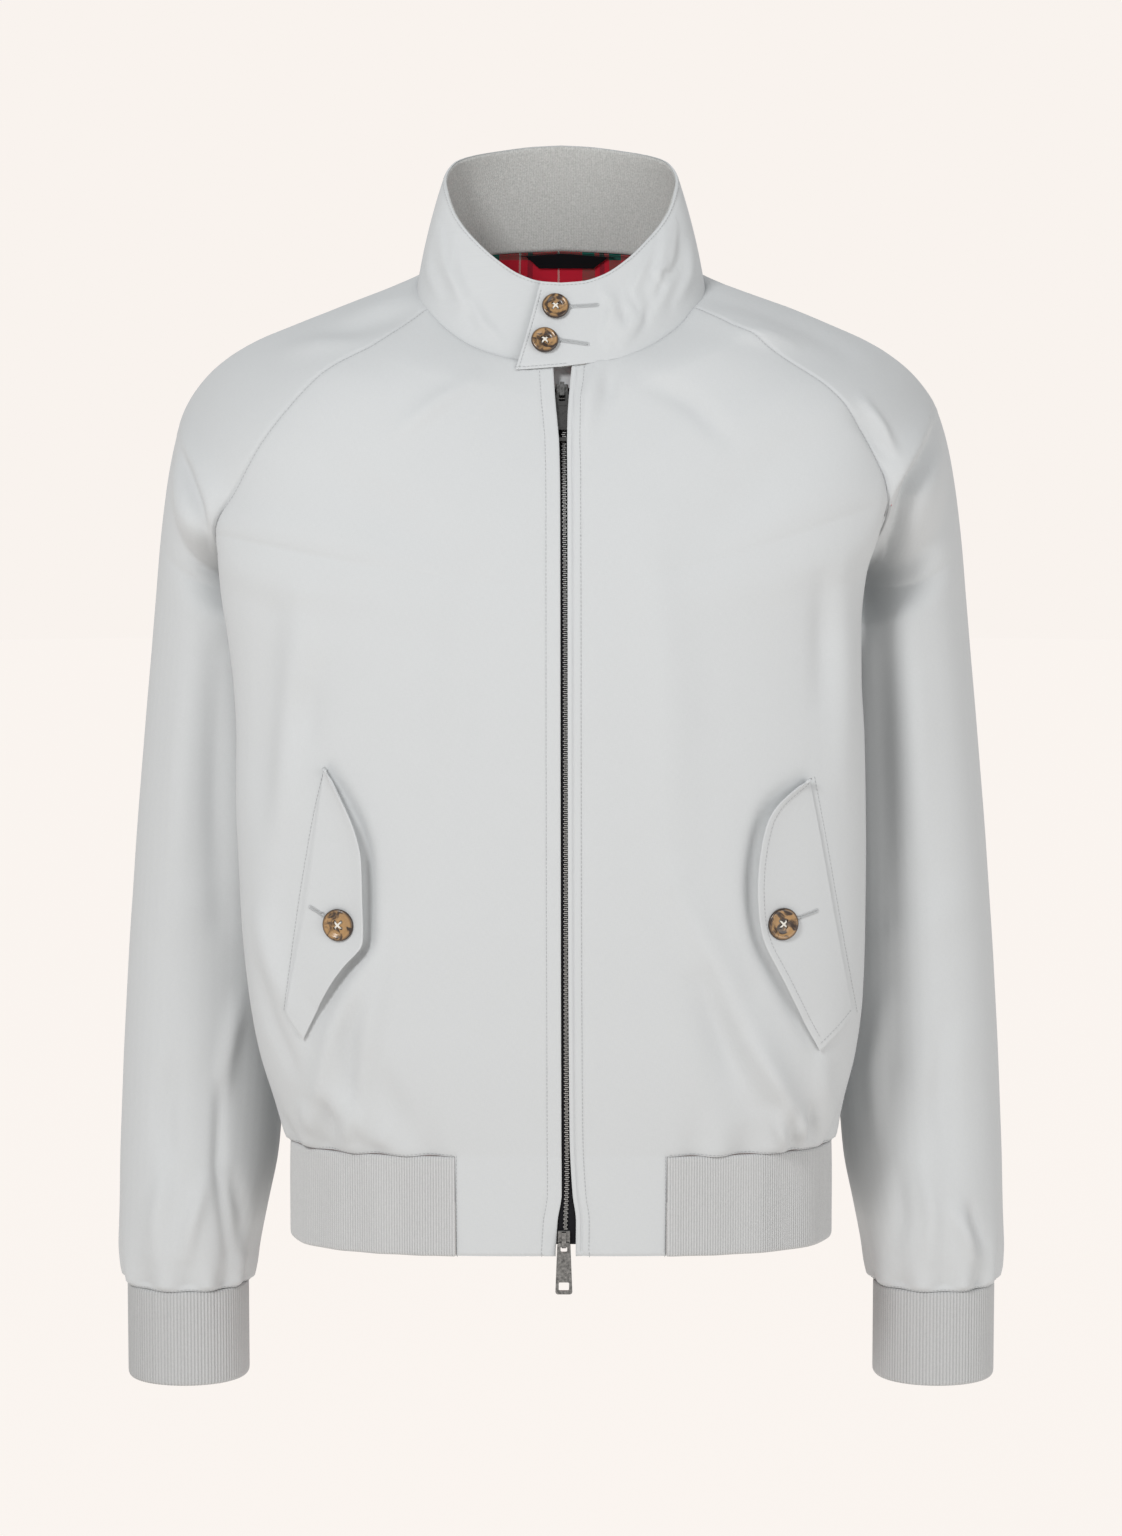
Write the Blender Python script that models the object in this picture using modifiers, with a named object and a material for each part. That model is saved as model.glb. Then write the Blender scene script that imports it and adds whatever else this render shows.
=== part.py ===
"""A harrington jacket, filled out as if worn, with its zip closed and its collar buttoned.

Every piece of cloth is a thin wall. Each panel is a sheet of points worked out from the tables of
sizes below, and neighbouring panels take their seam from the same function, so they meet along it.

Axes: X to the wearer's left, -Y to the front, Z up. The origin is the middle of the neck, at the
height of the shoulders. Tables and sizes are in millimetres, the mesh is in metres. "out" is the
distance from the middle of the body to either side.
"""

import math

import bmesh
import bpy
import numpy as np
from mathutils import Vector
from mathutils.bvhtree import BVHTree

MM = 0.001

# ---------------------------------------------------------------- driving dimensions

SHELL = 1.6  # the outer cloth with its lining
SEAM = 0.3  # space between two sewn pieces
LIFT = 0.4  # space between a panel and what lies on it

SIDES = {"right": -1.0, "left": 1.0}  # the wearer's right lies at -X

NECK_WIDTH = 187.0
NECK_MIDDLE_Y = -5.0
NECK_FRONT = 70.0  # from the middle of the neck to the seam of the collar
NECK_BACK = 73.0
COLLAR_TOP_WIDTH = 153.0
COLLAR_TOP_MIDDLE_Y = 8.0
COLLAR_TOP_FRONT = 58.0
COLLAR_TOP_BACK = 62.0
COLLAR_BULGE = 1.5
COLLAR_LAP = 1.9  # half the step between the two lapped ends
COLLAR_CLOTH = 1.3
COLLAR_RIB = 1.0  # knit facing without its ribs
COLLAR_RIB_RELIEF = 0.35
COLLAR_RIB_PITCH = 3.0

HEM_HEIGHT = 65.0
HEM_TURN = 2.5  # how far the plain cloth turns in towards its foot
HEM_KNIT = 1.9
HEM_RELIEF = 0.5
HEM_PITCH = 3.52
HEM_PANEL_HALF = 68.0  # the plain cloth between the two ends of the knit hem reaches this far out

CUFF_HEIGHT = 64.0
CUFF_KNIT = 1.9
CUFF_RELIEF = 0.6
CUFF_PITCH = 2.2
CUFF_MIDDLE = (252.5, 38.0)  # out and y
CUFF_SEAM_Z = -673.0

FLAP_CLOTH = 1.4
FLAP_PUFF = 0.7  # how far a flap stands off between its sewn edge and its button
BUTTON_COLLAR = 17.4
BUTTON_POCKET = 20.8
BUTTON_THICKNESS = 3.0

LINING = 0.8
LINING_ROWS = 5  # rows of the back that the lining inside the neck covers
LABEL_TOP = (-27.5, 37.0, 15.5)  # left and right end, and height, of the bare label inside the neck
LABEL_FOOT = (-14.8, 22.0, 6.5)
LABEL_CLOTH = 0.6

TAPE_CLOTH = 0.8
TAPE_GAP = 0.5  # from the middle line of the zip to either tape
TAPE_DEPTH = 2.1  # from the face of the cloth in to the tape
TAPE_SUNK = 5.9  # how much deeper it lies at the neck, where the upper pull hides under the edges
SLIDER_WIDTH = 7.8
SLIDER_LENGTH = 11.0
SLIDER_PLATE = 1.3
SLIDER_HALF_GAP = 1.7  # from the middle of the tape to either plate
SLIDER_BEVEL = 0.4
POST = (0.4, 2.5)  # width and height of the post that joins the plates between the two tapes
POST_DROP = 1.6  # from the slider's top end to the post's middle
BRIDGE_WIDTH = 2.8
BRIDGE_LENGTH = 10.0
BRIDGE_BAR = 1.2
BRIDGE_ROOM = 2.4  # between the front plate and the bridge
BRIDGE_ROOT = 0.3  # how far its feet go into the plate
PULL_LENGTH = 33.6
PULL_TOP_WIDTH = 8.4
PULL_FOOT_WIDTH = 11.0
PULL_PLATE = 1.6
PULL_CORNER = 1.6
PULL_BAR = 1.4  # the bar of the pull that lies under the bridge
PULL_PLAY = 0.5  # between that bar and the foot of the bridge
PULL_EYE = (4.2, 4.6)  # width and height of the hole below that bar
PULL_WINDOW = (6.6, 5.4)
PULL_RIM = 2.4  # the metal below the window, and all round the sunk field above it
PULL_FIELD = (6.0, 15.0)
PULL_FIELD_GAP = 1.6  # from the window up to the field
PULL_FIELD_DEPTH = 0.25
HOLE_BEVEL = 0.5
UPPER_SLIDER_Z = -69.0
LOWER_SLIDER_Z = -611.5


def table(names, *rows):
    """A small table: its columns by name."""
    return dict(zip(names.split(), np.array(rows, float).T))


# The angle runs from the middle of the front, 0, past the side, 90, to the middle of the back, 180.
NECK_SEAM = table(
    "angle z",
    (0, -55), (18, -51), (35, -44), (50, -33), (67, -18.5),
    (90, -5), (106, 4), (130, 13), (155, 19), (180, 21),
)
COLLAR_EDGE = table(
    "angle z",
    (0, -3), (10, -2), (20, 2), (32, 11), (46, 24), (64, 41), (78, 56),
    (90, 64), (101, 70), (114, 76.5), (128, 80.5), (148, 84.5), (166, 87.5), (180, 88.5),
)
FRONT_SEAM_ANGLE = 67.0  # where the raglan seams and the line over the arm leave the neck
OVERARM_ANGLE = 103.0
BACK_SEAM_ANGLE = 146.0

# Rows 0 to 8 run down the raglan seam to the underarm, and rows 8 to 18 down the side seam.
UNDERARM = 8
HEM_ROW = 18
UNDERARM_POINT = (175.0, 38.0, -195.0)
RAGLAN = {
    "right": table(
        "row out y z",
        (1, 120.6, -58, -42), (2, 150.5, -66, -58), (3, 176.7, -72, -84.5), (4, 193.5, -74, -107),
        (5, 208, -70, -134), (6, 221.5, -58, -163), (7, 206, -12, -187),
    ),
    "left": table(
        "row out y z",
        (1, 117, -57, -34.5), (2, 147, -65, -53), (3, 170, -71, -68), (4, 187, -74, -86),
        (5, 199, -73, -108), (6, 208, -62, -142), (7, 198, -14, -180),
    ),
}
BACK_RAGLAN = table(
    "row out y z",
    (1, 78, 74, -14), (2, 106, 92, -44), (3, 132, 104, -76), (4, 154, 108, -107),
    (5, 171, 105, -137), (6, 184, 92, -163), (7, 187, 66, -183),
)
# The fronts: the middle edge, then the side edge, where the front turns back under the sleeve.
FRONT_MIDDLE = table(
    "row y z",
    (0, -75, -55), (1, -88, -75), (2, -99, -98), (3, -109, -122), (4, -117, -147), (5, -123, -172),
    (6, -127, -194), (7, -130, -213), (8, -132, -232), (9, -134, -256), (10, -135, -286),
    (11, -135.5, -320), (12, -135, -358), (13, -134, -396), (14, -132, -434), (15, -129, -470),
    (16, -126, -504), (17, -122.5, -534), (18, -119.5, -558),
)
SIDE_EDGE = {
    "right": table(
        "row out y z",
        (7, 220.5, -57, -184), (8, 219, -55, -203), (9, 215, -55, -230), (10, 211.5, -55, -260),
        (11, 210, -55, -295), (12, 210.5, -55, -335), (13, 209, -55, -378), (14, 207, -55, -420),
        (15, 203, -54, -462), (16, 197, -50, -500), (17, 187, -40, -536), (18, 178.5, -25, -563),
    ),
    "left": table(
        "row out y z",
        (7, 203, -60, -166), (8, 196.5, -57, -190), (9, 193.5, -55, -222), (10, 193.8, -55, -256),
        (11, 196, -55, -293), (12, 197.3, -55, -335), (13, 197.8, -55, -378), (14, 197.6, -55, -420),
        (15, 196.5, -54, -462), (16, 192.5, -50, -500), (17, 184.5, -40, -536), (18, 178.5, -25, -563),
    ),
}
SIDE_SEAM = table(
    "row out y z",
    (8, *UNDERARM_POINT), (9, 168, 40, -226), (10, 163, 42, -258), (11, 160, 43, -294),
    (12, 158, 44, -335), (13, 157, 44, -378), (14, 158, 45, -420), (15, 160, 46, -462),
    (16, 163, 48, -500), (17, 166, 50, -537), (18, 169, 51, -566),
)
BACK_MIDDLE = table(
    "row y z",
    (0, 68, 21), (1, 86, -8), (2, 101, -40), (3, 112, -75), (4, 119, -110), (5, 123, -145),
    (6, 125, -178), (7, 125, -208), (8, 124, -235), (9, 122.5, -262), (10, 121, -290),
    (11, 119, -322), (12, 117, -358), (13, 115, -396), (14, 113.5, -434), (15, 112.5, -470),
    (16, 112, -504), (17, 111, -538), (18, 107, -569),
)
# How far each row runs on in the direction of its ends, and the direction in which it meets the
# raglan seam, towards the sleeve.
FRONT_REACH = table(
    "row middle edge out y z",
    (0, 40, 45, .30, .86, .42), (1, 45, 45, .55, .75, .35), (2, 55, 48, .65, .70, .28),
    (3, 62, 52, .72, .65, .22), (4, 72, 52, .74, .64, .18), (5, 82, 52, .62, .77, .10),
    (6, 95, 50, .22, .97, 0), (7, 100, 50, 0, 1, 0), (8, 104, 48, 0, 1, 0), (18, 100, 60, 0, 1, 0),
)
BACK_REACH = table(
    "row middle edge out y z",
    (0, 22, 18, .75, -.65, -.1), (1, 35, 25, .60, -.78, .1), (2, 50, 32, .78, -.62, .02),
    (3, 65, 40, .86, -.50, 0), (4, 78, 45, .88, -.47, 0), (5, 88, 48, .84, -.54, 0),
    (6, 95, 52, .65, -.76, 0), (7, 98, 60, .33, -.94, 0), (8, 98, 72, .1, -.99, 0),
    (9, 97, 73, 0, -1, 0), (12, 93, 60, 0, -1, 0), (18, 88, 40, 0, -1, 0),
)
TURN_ROW = 6  # from here down the front turns at its side edge
SIDE_TURN_FRONT = 20.0  # how the front turns from its side edge to the side seam
SIDE_TURN_BACK = 58.0

# The sleeves: rows 0 to 8 share the raglan seams, and row 23 is the seam of the cuff.
CUFF_ROW = 23
OVERARM = table(
    "row out y z",
    (1, 137, 10, -15), (2, 172, 11, -28.5), (3, 200, 14, -40), (4, 221, 20, -52.5),
    (5, 237, 30, -67), (6, 250, 38, -87), (7, 259, 45, -118), (8, 266, 49, -165),
    (9, 270.5, 51, -212), (10, 274, 52, -250), (11, 277.5, 52, -286), (12, 281, 51, -325),
    (13, 284.5, 50, -365), (14, 287.5, 49, -405), (15, 290.5, 48, -445), (16, 293, 47, -485),
    (17, 295, 46, -520), (18, 296.5, 45, -553), (19, 297.8, 43, -586), (20, 298.5, 42, -618),
    (21, 299, 41, -645), (22, 297.5, 40, -661), (23, 293.5, 38, -673),
)
INSEAM = table(
    "row out y z",
    (8, *UNDERARM_POINT), (9, 176, 42, -226), (10, 177, 45, -260), (11, 178.5, 46, -295),
    (12, 180, 47, -332), (13, 181, 47, -370), (14, 182, 47, -408), (15, 183, 47, -446),
    (16, 184, 46, -486), (17, 185.5, 45, -520), (18, 188, 44, -553), (19, 191, 43, -586),
    (20, 197.5, 42, -618), (21, 203.5, 41, -645), (22, 207, 40, -661), (23, 211.5, 38, -673),
)
# How far the rows run on from the line over the arm and from the seam, with their slopes.
SLEEVE_FRONT = table(
    "row over fall seam out y z",
    (0, 12, 0, 12, .2, .9, .3), (1, 22, -.25, 22, .55, .75, .35), (2, 26, -.3, 26, .65, .70, .28),
    (3, 32, -.35, 30, .72, .65, .22), (4, 38, -.4, 32, .76, .60, .20), (5, 44, -.45, 36, .86, .45, .20),
    (6, 52, -.45, 42, .98, -.15, .05), (7, 74, -.4, 50, .80, -.60, -.20), (8, 104, -.25, 78, .42, -.90, -.25),
    (9, 112, -.08, 94, 0, -1, -.08), (10, 112, 0, 92, 0, -1, 0), (12, 106, 0, 88, 0, -1, 0),
    (14, 98, 0, 82, 0, -1, 0), (16, 90, 0, 78, 0, -1, 0), (18, 83, 0, 74, 0, -1, 0),
    (20, 75, 0, 70, 0, -1, 0), (22, 62, 0, 62, 0, -1, 0), (23, 56, 0, 56, 0, -1, 0),
)
SLEEVE_BACK = table(
    "row over fall seam out y z",
    (0, 12, 0, 12, .3, -.9, -.2), (1, 22, -.25, 25, .60, -.78, .1), (2, 28, -.3, 30, .78, -.62, .02),
    (3, 34, -.35, 34, .86, -.50, 0), (4, 40, -.4, 38, .88, -.47, 0), (5, 48, -.4, 42, .92, -.38, 0),
    (6, 58, -.35, 48, .97, .2, 0), (7, 78, -.3, 52, .80, .60, -.2), (8, 92, -.2, 74, .38, .92, -.25),
    (9, 97, -.05, 89, 0, 1, -.05), (10, 97, 0, 90, 0, 1, 0), (12, 93, 0, 88, 0, 1, 0),
    (14, 87, 0, 82, 0, 1, 0), (16, 80, 0, 77, 0, 1, 0), (18, 74, 0, 70, 0, 1, 0),
    (20, 68, 0, 66, 0, 1, 0), (22, 60, 0, 60, 0, 1, 0), (23, 56, 0, 56, 0, 1, 0),
)
# The edge of each front along the zip, as a distance from the middle line of the body towards the
# wearer's left. The fronts part a little at the neck and at the hem.
ZIP_EDGE = table(
    "z right left",
    (-55, -5.0, 6.9), (-75, -3.7, 4.9), (-90, -2.3, 4.0), (-105, -1.1, 3.8), (-138, -.5, 4.0),
    (-300, -.3, 4.2), (-540, .2, 5.4), (-582, .4, 7.4), (-600, -2.2, 9.6), (-619.5, -3.4, 9.4),
)
ZIP_MIDDLE = table(
    "z x", (-55, .6), (-100, .9), (-200, 1.6), (-500, 2.4), (-570, 2.9), (-605, 1.9), (-640, 1.7)
)
# Main folds: from one point to another across the front or the back of a piece, with the width of
# the fold and how far it stands out (or, below zero, lies in).
FOLDS = {
    "body front": table(
        "x z x2 z2 width height",
        (-196, -330, -186, -480, 15, 4), (-168, -300, -160, -250, 14, -2),
        (-150, -520, -118, -545, 11, 3.5), (-128, -540, -112, -556, 9, 3.5),
        (92, -450, 118, -540, 16, -3), (124, -470, 150, -540, 14, 3.5),
        (146, -530, 152, -556, 8, 4), (168, -500, 172, -552, 9, 3),
        (-120, -500, -96, -552, 13, -2.5), (80, -170, 150, -110, 22, -2.5),
        (-80, -170, -150, -120, 22, -2.5),
    ),
    "body back": table(
        "x z x2 z2 width height",
        (-150, -200, -110, -330, 22, 4), (150, -200, 112, -340, 22, 4),
        (-60, -420, -70, -556, 16, 4), (-10, -450, -4, -556, 15, 4), (52, -430, 60, -556, 16, 4),
        (-120, -450, -124, -556, 14, 4), (116, -440, 122, -556, 14, 4),
    ),
    "sleeve front": table(
        "x z x2 z2 width height",
        (-238, -120, -214, -190, 15, -4), (238, -112, 206, -176, 15, -4),
        (-272, -430, -226, -400, 18, 3.5), (-276, -520, -226, -500, 18, 3),
        (272, -400, 220, -440, 18, 3.5), (278, -500, 226, -530, 18, 3),
    ),
    "sleeve back": table(
        "x z x2 z2 width height",
        (-210, -180, -262, -260, 18, 4), (210, -180, 262, -260, 18, 4),
        (-216, -400, -276, -430, 18, 3.5), (216, -410, 276, -440, 18, 3.5),
    ),
}
FOLD_SEAM_MARGIN = 22.0  # the folds of body and sleeve fade out within this distance of the raglan seams
CUFF_GATHERS = 10
CUFF_GATHER_HEIGHT = 3.2
CUFF_GATHER_LENGTH = 26.0
HEM_GATHER_PITCH = 31.0
HEM_GATHER_HEIGHT = 2.6
HEM_GATHER_LENGTH = 22.0
GATHER_START = 4.0  # above a seam, where a gather has its full height
GATHER_AT_SEAM = 0.2  # the share of its height that is left right at the seam
GATHER_ROUND = 150.0  # a mean radius, which turns an angle round the body into a length
FOLD_END = 0.35  # the share of its height that a fold keeps at its two ends

# The pocket flaps, as points on the front seen straight on: the sewn edge, then the free edge.
FLAP_SEWN = {
    "right": table("x z", (-149.5, -309), (-157, -339), (-163, -373), (-167, -396), (-177, -466)),
    "left": table("x z", (157, -317), (164, -352), (171, -390), (178, -428), (187, -472)),
}
FLAP_FREE = {
    "right": table(
        "x z",
        (-149, -309), (-132.5, -337), (-124.5, -365), (-124, -420), (-139, -437), (-151, -456),
        (-164.5, -485),
    ),
    "left": table(
        "x z",
        (156.5, -317), (142.5, -325), (131, -335.5), (125, -353), (122, -381), (123.5, -403),
        (128, -422), (137.5, -439), (151, -466), (165.5, -493),
    ),
}
POCKET_BUTTONS = {"right": (-141.0, -408.5), "left": (140.5, -408.0)}
COLLAR_BUTTONS = {"upper": (-3.6, -18.5), "lower": (-10.4, -40.0)}

# How closely the solids are sampled.
FRONT_COLUMNS = 13
HEM_PANEL_COLUMNS = 4  # of them
SIDE_COLUMNS = 4  # from the side edge of the front to the side seam
BACK_COLUMNS = 8  # to either side of the middle
SLEEVE_COLUMNS = 6
HEM_PANEL_ROWS = 3
FLAP_ROWS = 9
FLAP_COLUMNS = 4
LABEL_COLUMNS = 8
BUTTON_STEPS = 20

PARTS = None  # the collection that holds the jacket
CUTTERS = None


# ---------------------------------------------------------------- curves and tables


def smooth(xs, ys, x):
    """A curve through the points of a table that never swings past them."""
    step = np.diff(xs)
    slope = np.diff(ys) / step
    tangent = np.empty_like(ys)
    tangent[0], tangent[-1] = slope[0], slope[-1]
    before, after = slope[:-1], slope[1:]
    turning = before * after <= 0
    near, far = 2 * step[1:] + step[:-1], step[1:] + 2 * step[:-1]
    safe_before = np.where(turning, 1.0, before)
    safe_after = np.where(turning, 1.0, after)
    tangent[1:-1] = np.where(turning, 0.0, (near + far) / (near / safe_before + far / safe_after))
    x = np.clip(x, xs[0], xs[-1])
    i = np.clip(np.searchsorted(xs, x, "right") - 1, 0, len(xs) - 2)
    t = (x - xs[i]) / step[i]
    return (
        ys[i] * (1 + 2 * t) * (1 - t) ** 2
        + tangent[i] * step[i] * t * (1 - t) ** 2
        + ys[i + 1] * t * t * (3 - 2 * t)
        - tangent[i + 1] * step[i] * t * t * (1 - t)
    )


def read(source, key, at, *columns):
    """Values of a table's columns at a place along its first column."""
    return np.array([smooth(source[key], source[c], at) for c in columns])


def bezier(start, leave, arrive, end, count=24):
    t = np.linspace(0, 1, count + 1)[:, None]
    return start * (1 - t) ** 3 + 3 * leave * (1 - t) ** 2 * t + 3 * arrive * (1 - t) * t * t + end * t ** 3


def spread(line, shares):
    """Points on a line at the given shares of its length."""
    length = np.concatenate([[0], np.cumsum(np.linalg.norm(np.diff(line, axis=0), axis=1))])
    return np.stack([np.interp(np.asarray(shares) * length[-1], length, c) for c in line.T], 1)


def unit(v):
    return v / np.linalg.norm(v)


def neck_point(angle):
    """A point of the seam between collar and jacket, out at either side."""
    turn = math.radians(angle)
    depth = NECK_FRONT if math.cos(turn) > 0 else NECK_BACK
    height = smooth(NECK_SEAM["angle"], NECK_SEAM["z"], abs(angle))
    return np.array([NECK_WIDTH / 2 * math.sin(turn), NECK_MIDDLE_Y - depth * math.cos(turn), height])


def run_on(first, first_row, source, row):
    """Out, y and z at a row, from a first point on through the rows of a table."""
    rows = np.concatenate([[first_row], source["row"]])
    columns = zip(first, ("out", "y", "z"))
    return np.array([smooth(rows, np.concatenate([[start], source[c]]), row) for start, c in columns])


def seam_line(shared, corner, row):
    """A raglan seam: it leaves the neck at a corner and ends at the underarm."""
    rows = np.concatenate([[0], shared["row"], [UNDERARM]])
    point = []
    for first, column, last in zip(corner, ("out", "y", "z"), UNDERARM_POINT):
        point.append(smooth(rows, np.concatenate([[first], shared[column], [last]]), row))
    return np.array(point)


def front_raglan(side, row):
    return seam_line(RAGLAN[side], neck_point(FRONT_SEAM_ANGLE), row)


def back_raglan(row):
    return seam_line(BACK_RAGLAN, neck_point(BACK_SEAM_ANGLE), row)


def overarm(row):
    return run_on(neck_point(OVERARM_ANGLE), 0, OVERARM, row)


def zip_edge(side, z):
    """How far out the edge of a front lies from the middle line of the body."""
    return SIDES[side] * smooth(-ZIP_EDGE["z"], ZIP_EDGE[side], -z)


# ---------------------------------------------------------------- rows of the panels


def front_line(side, row):
    """One row of a front, from the zip to its side edge, as out, y and z."""
    y, z = read(FRONT_MIDDLE, "row", row, "y", "z")
    start = np.array([zip_edge(side, z), y, z])
    middle, edge_reach, *towards = read(FRONT_REACH, "row", row, "middle", "edge", "out", "y", "z")
    edge = front_edge(side, row)
    rise = (edge[2] - z) * 0.18
    return bezier(start, start + (middle, 0, rise), edge - unit(np.array(towards)) * edge_reach, edge)


def side_row(side, row, shares):
    """The row's way on from the side edge to the raglan or side seam."""
    edge = front_edge(side, row)
    if row <= TURN_ROW:
        return np.repeat(edge[None], len(shares), 0)
    seam = front_raglan(side, row) if row <= UNDERARM else read(SIDE_SEAM, "row", row, "out", "y", "z")
    share = min(1.0, np.linalg.norm(seam - edge) / 100)
    turn = np.array([0, share, 0])
    return spread(bezier(edge, edge + turn * SIDE_TURN_FRONT, seam - turn * SIDE_TURN_BACK, seam), shares)


def front_row(side, row, shares):
    """Points of a row of a front. The top row is the neck seam itself."""
    points = spread(front_line(side, row), shares)
    if row >= 1:
        return points
    edge = zip_edge(side, FRONT_MIDDLE["z"][0]) / (NECK_WIDTH / 2)
    angles = np.linspace(math.degrees(math.asin(edge)), FRONT_SEAM_ANGLE, 40)
    neck = spread(np.array([neck_point(a) for a in angles]), shares)
    return points * row + neck * (1 - row)


def front_edge(side, row):
    """The side edge of a front: first on the raglan seam, then where the front turns to the side."""
    if row <= TURN_ROW:
        return front_raglan(side, row)
    return run_on(front_raglan(side, TURN_ROW), TURN_ROW, SIDE_EDGE[side], row)


def back_row(row, shares):
    """Half a row of the back, from the raglan or side seam to the middle."""
    y, z = read(BACK_MIDDLE, "row", row, "y", "z")
    end = np.array([0.0, y, z])
    middle, edge_reach, *towards = read(BACK_REACH, "row", row, "middle", "edge", "out", "y", "z")
    start = back_raglan(row) if row <= UNDERARM else read(SIDE_SEAM, "row", row, "out", "y", "z")
    line = bezier(start, start - unit(np.array(towards)) * edge_reach, end + (middle, 0, 0), end)
    points = spread(line, shares)
    if row < 1:
        neck = np.array([neck_point(a) for a in np.linspace(BACK_SEAM_ANGLE, 180, 30)])
        top = spread(neck, shares)
        points = points * row + top * (1 - row)
    return points


def sleeve_row(side, face, row, shares):
    """A row of half a sleeve, from the raglan seam or the inseam to the line over the arm."""
    source = SLEEVE_FRONT if face == "front" else SLEEVE_BACK
    forward = -1.0 if face == "front" else 1.0
    if row > UNDERARM:
        seam = read(INSEAM, "row", row, "out", "y", "z")
    else:
        seam = front_raglan(side, row) if face == "front" else back_raglan(row)
    over_reach, fall, seam_reach, *towards = read(source, "row", row, "over", "fall", "seam", "out", "y", "z")
    top = overarm(row)
    line = bezier(
        seam,
        seam + unit(np.array(towards)) * seam_reach,
        top + np.array([0, forward, fall]) * over_reach,
        top,
    )
    points = spread(line, shares)
    if row < 1:
        from_angle = FRONT_SEAM_ANGLE if face == "front" else BACK_SEAM_ANGLE
        neck = np.array([neck_point(a) for a in np.linspace(from_angle, OVERARM_ANGLE, 30)])
        points = points * row + spread(neck, shares) * (1 - row)
    return points


# ---------------------------------------------------------------- folds


def fold_height(kind, points, normals):
    """How far each point of a panel stands out in its folds."""
    height = np.zeros(len(points))
    face = np.where(normals[:, 1] < 0, "front", "back")
    for name in ("front", "back"):
        folds = FOLDS[kind + " " + name]
        on = face == name
        facing = np.clip(np.abs(normals[:, 1]) * 2.0, 0, 1)
        flat = points[:, [0, 2]]
        for i in range(len(folds["x"])):
            a = np.array([folds["x"][i], folds["z"][i]])
            b = np.array([folds["x2"][i], folds["z2"][i]])
            along = np.clip((flat - a) @ (b - a) / ((b - a) @ (b - a)), 0, 1)
            away = np.linalg.norm(flat - a - along[:, None] * (b - a), axis=1) / folds["width"][i]
            taper = FOLD_END + (1 - FOLD_END) * np.sin(math.pi * along)
            height += on * facing * folds["height"][i] * taper * np.exp(-away * away)
    return height


def clear_of_raglan(points):
    """A share that falls to nothing at the raglan seams, so that both pieces stay together there."""
    rows = np.linspace(0, UNDERARM, 41)
    share = np.ones(len(points))
    for side in SIDES:
        for line in ([front_raglan(side, row) for row in rows], [back_raglan(row) for row in rows]):
            away = points[:, None] - to_body(side, line)[None]
            near = np.clip(np.linalg.norm(away, axis=2).min(1) / FOLD_SEAM_MARGIN - 0.1, 0, 1)
            share = np.minimum(share, near * near * (3 - 2 * near))
    return share


def cuff_gathers(points):
    """The fullness of a sleeve where the cuff draws it in."""
    dx = np.abs(points[:, 0]) - CUFF_MIDDLE[0]
    dy = points[:, 1] - CUFF_MIDDLE[1]
    angle = np.arctan2(dy, dx)
    above = points[:, 2] - CUFF_SEAM_Z
    fade = np.exp(-above / CUFF_GATHER_LENGTH) * np.clip(above / GATHER_START, GATHER_AT_SEAM, 1)
    wave = np.cos(CUFF_GATHERS * angle + 0.9 * np.sin(2 * angle + np.sign(points[:, 0])))
    return CUFF_GATHER_HEIGHT * wave * fade * (above < 90)


def hem_gathers(points):
    """The fullness of the body where the knit hem draws it in."""
    depth = -FRONT_MIDDLE["y"][-1] / SIDE_SEAM["out"][-1]
    around = np.arctan2(points[:, 0] * depth, -points[:, 1]) * GATHER_ROUND
    above = points[:, 2] - SIDE_SEAM["z"][-1]
    beside_panel = np.clip((np.abs(points[:, 0]) - HEM_PANEL_HALF) / 20, 0, 1)
    fade = np.exp(-np.abs(above) / HEM_GATHER_LENGTH) * np.where(points[:, 1] > 0, 1, beside_panel)
    wave = np.cos(2 * math.pi * around / HEM_GATHER_PITCH + 1.3 * np.sin(around / 47))
    return HEM_GATHER_HEIGHT * wave * fade * np.clip(above / GATHER_START, GATHER_AT_SEAM, 1)


# ---------------------------------------------------------------- sheets and walls


class Sheet:
    """Points of a panel in rows, joined into triangles whose fronts point outwards."""

    def __init__(self, name, kind, turned):
        self.name, self.kind, self.turned = name, kind, turned
        self.points, self.faces, self.index = [], [], {}

    def add(self, point):
        key = tuple(np.round(point, 4))
        if key not in self.index:
            self.index[key] = len(self.points)
            self.points.append(np.array(point, float))
        return self.index[key]

    def grid(self, rows, other_way=0):
        """Join rows of points, top row first; the first columns may be split the other way."""
        numbers = [[self.add(p) for p in row] for row in rows]
        for upper, lower in zip(numbers, numbers[1:]):
            for i in range(len(upper) - 1):
                a, b, c, d = upper[i], lower[i], lower[i + 1], upper[i + 1]
                split = ([a, b, d], [b, c, d]) if i < other_way else ([a, b, c], [a, c, d])
                for face in split:
                    if len(set(face)) == 3:
                        self.faces.append(face[::-1] if self.turned else face)

    def array(self):
        return np.array(self.points)


def shared_normals(sheets):
    """For each sheet the normals of its points, which sewn sheets have in common at their seams."""
    own = []
    for sheet in sheets:
        points = sheet.array()
        total = np.zeros_like(points)
        for face in sheet.faces:
            a, b, c = points[face]
            total[face] += np.cross(b - a, c - a)
        own.append(total / np.linalg.norm(total, axis=1)[:, None])
    shared = {}
    for sheet, normals in zip(sheets, own):
        for point, normal in zip(sheet.points, normals):
            key = tuple(np.round(point, 2))
            shared[key] = shared.get(key, 0) + normal
    return [np.array([unit(shared[tuple(np.round(p, 2))]) for p in sheet.points]) for sheet in sheets]


def rim(sheet):
    """The edges round a sheet, as pairs of points in the order of their faces."""
    sides = {}
    for face in sheet.faces:
        for a, b in zip(face, face[1:] + face[:1]):
            sides[(a, b)] = face
    return {pair: face for pair, face in sides.items() if pair[::-1] not in sides}


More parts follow.
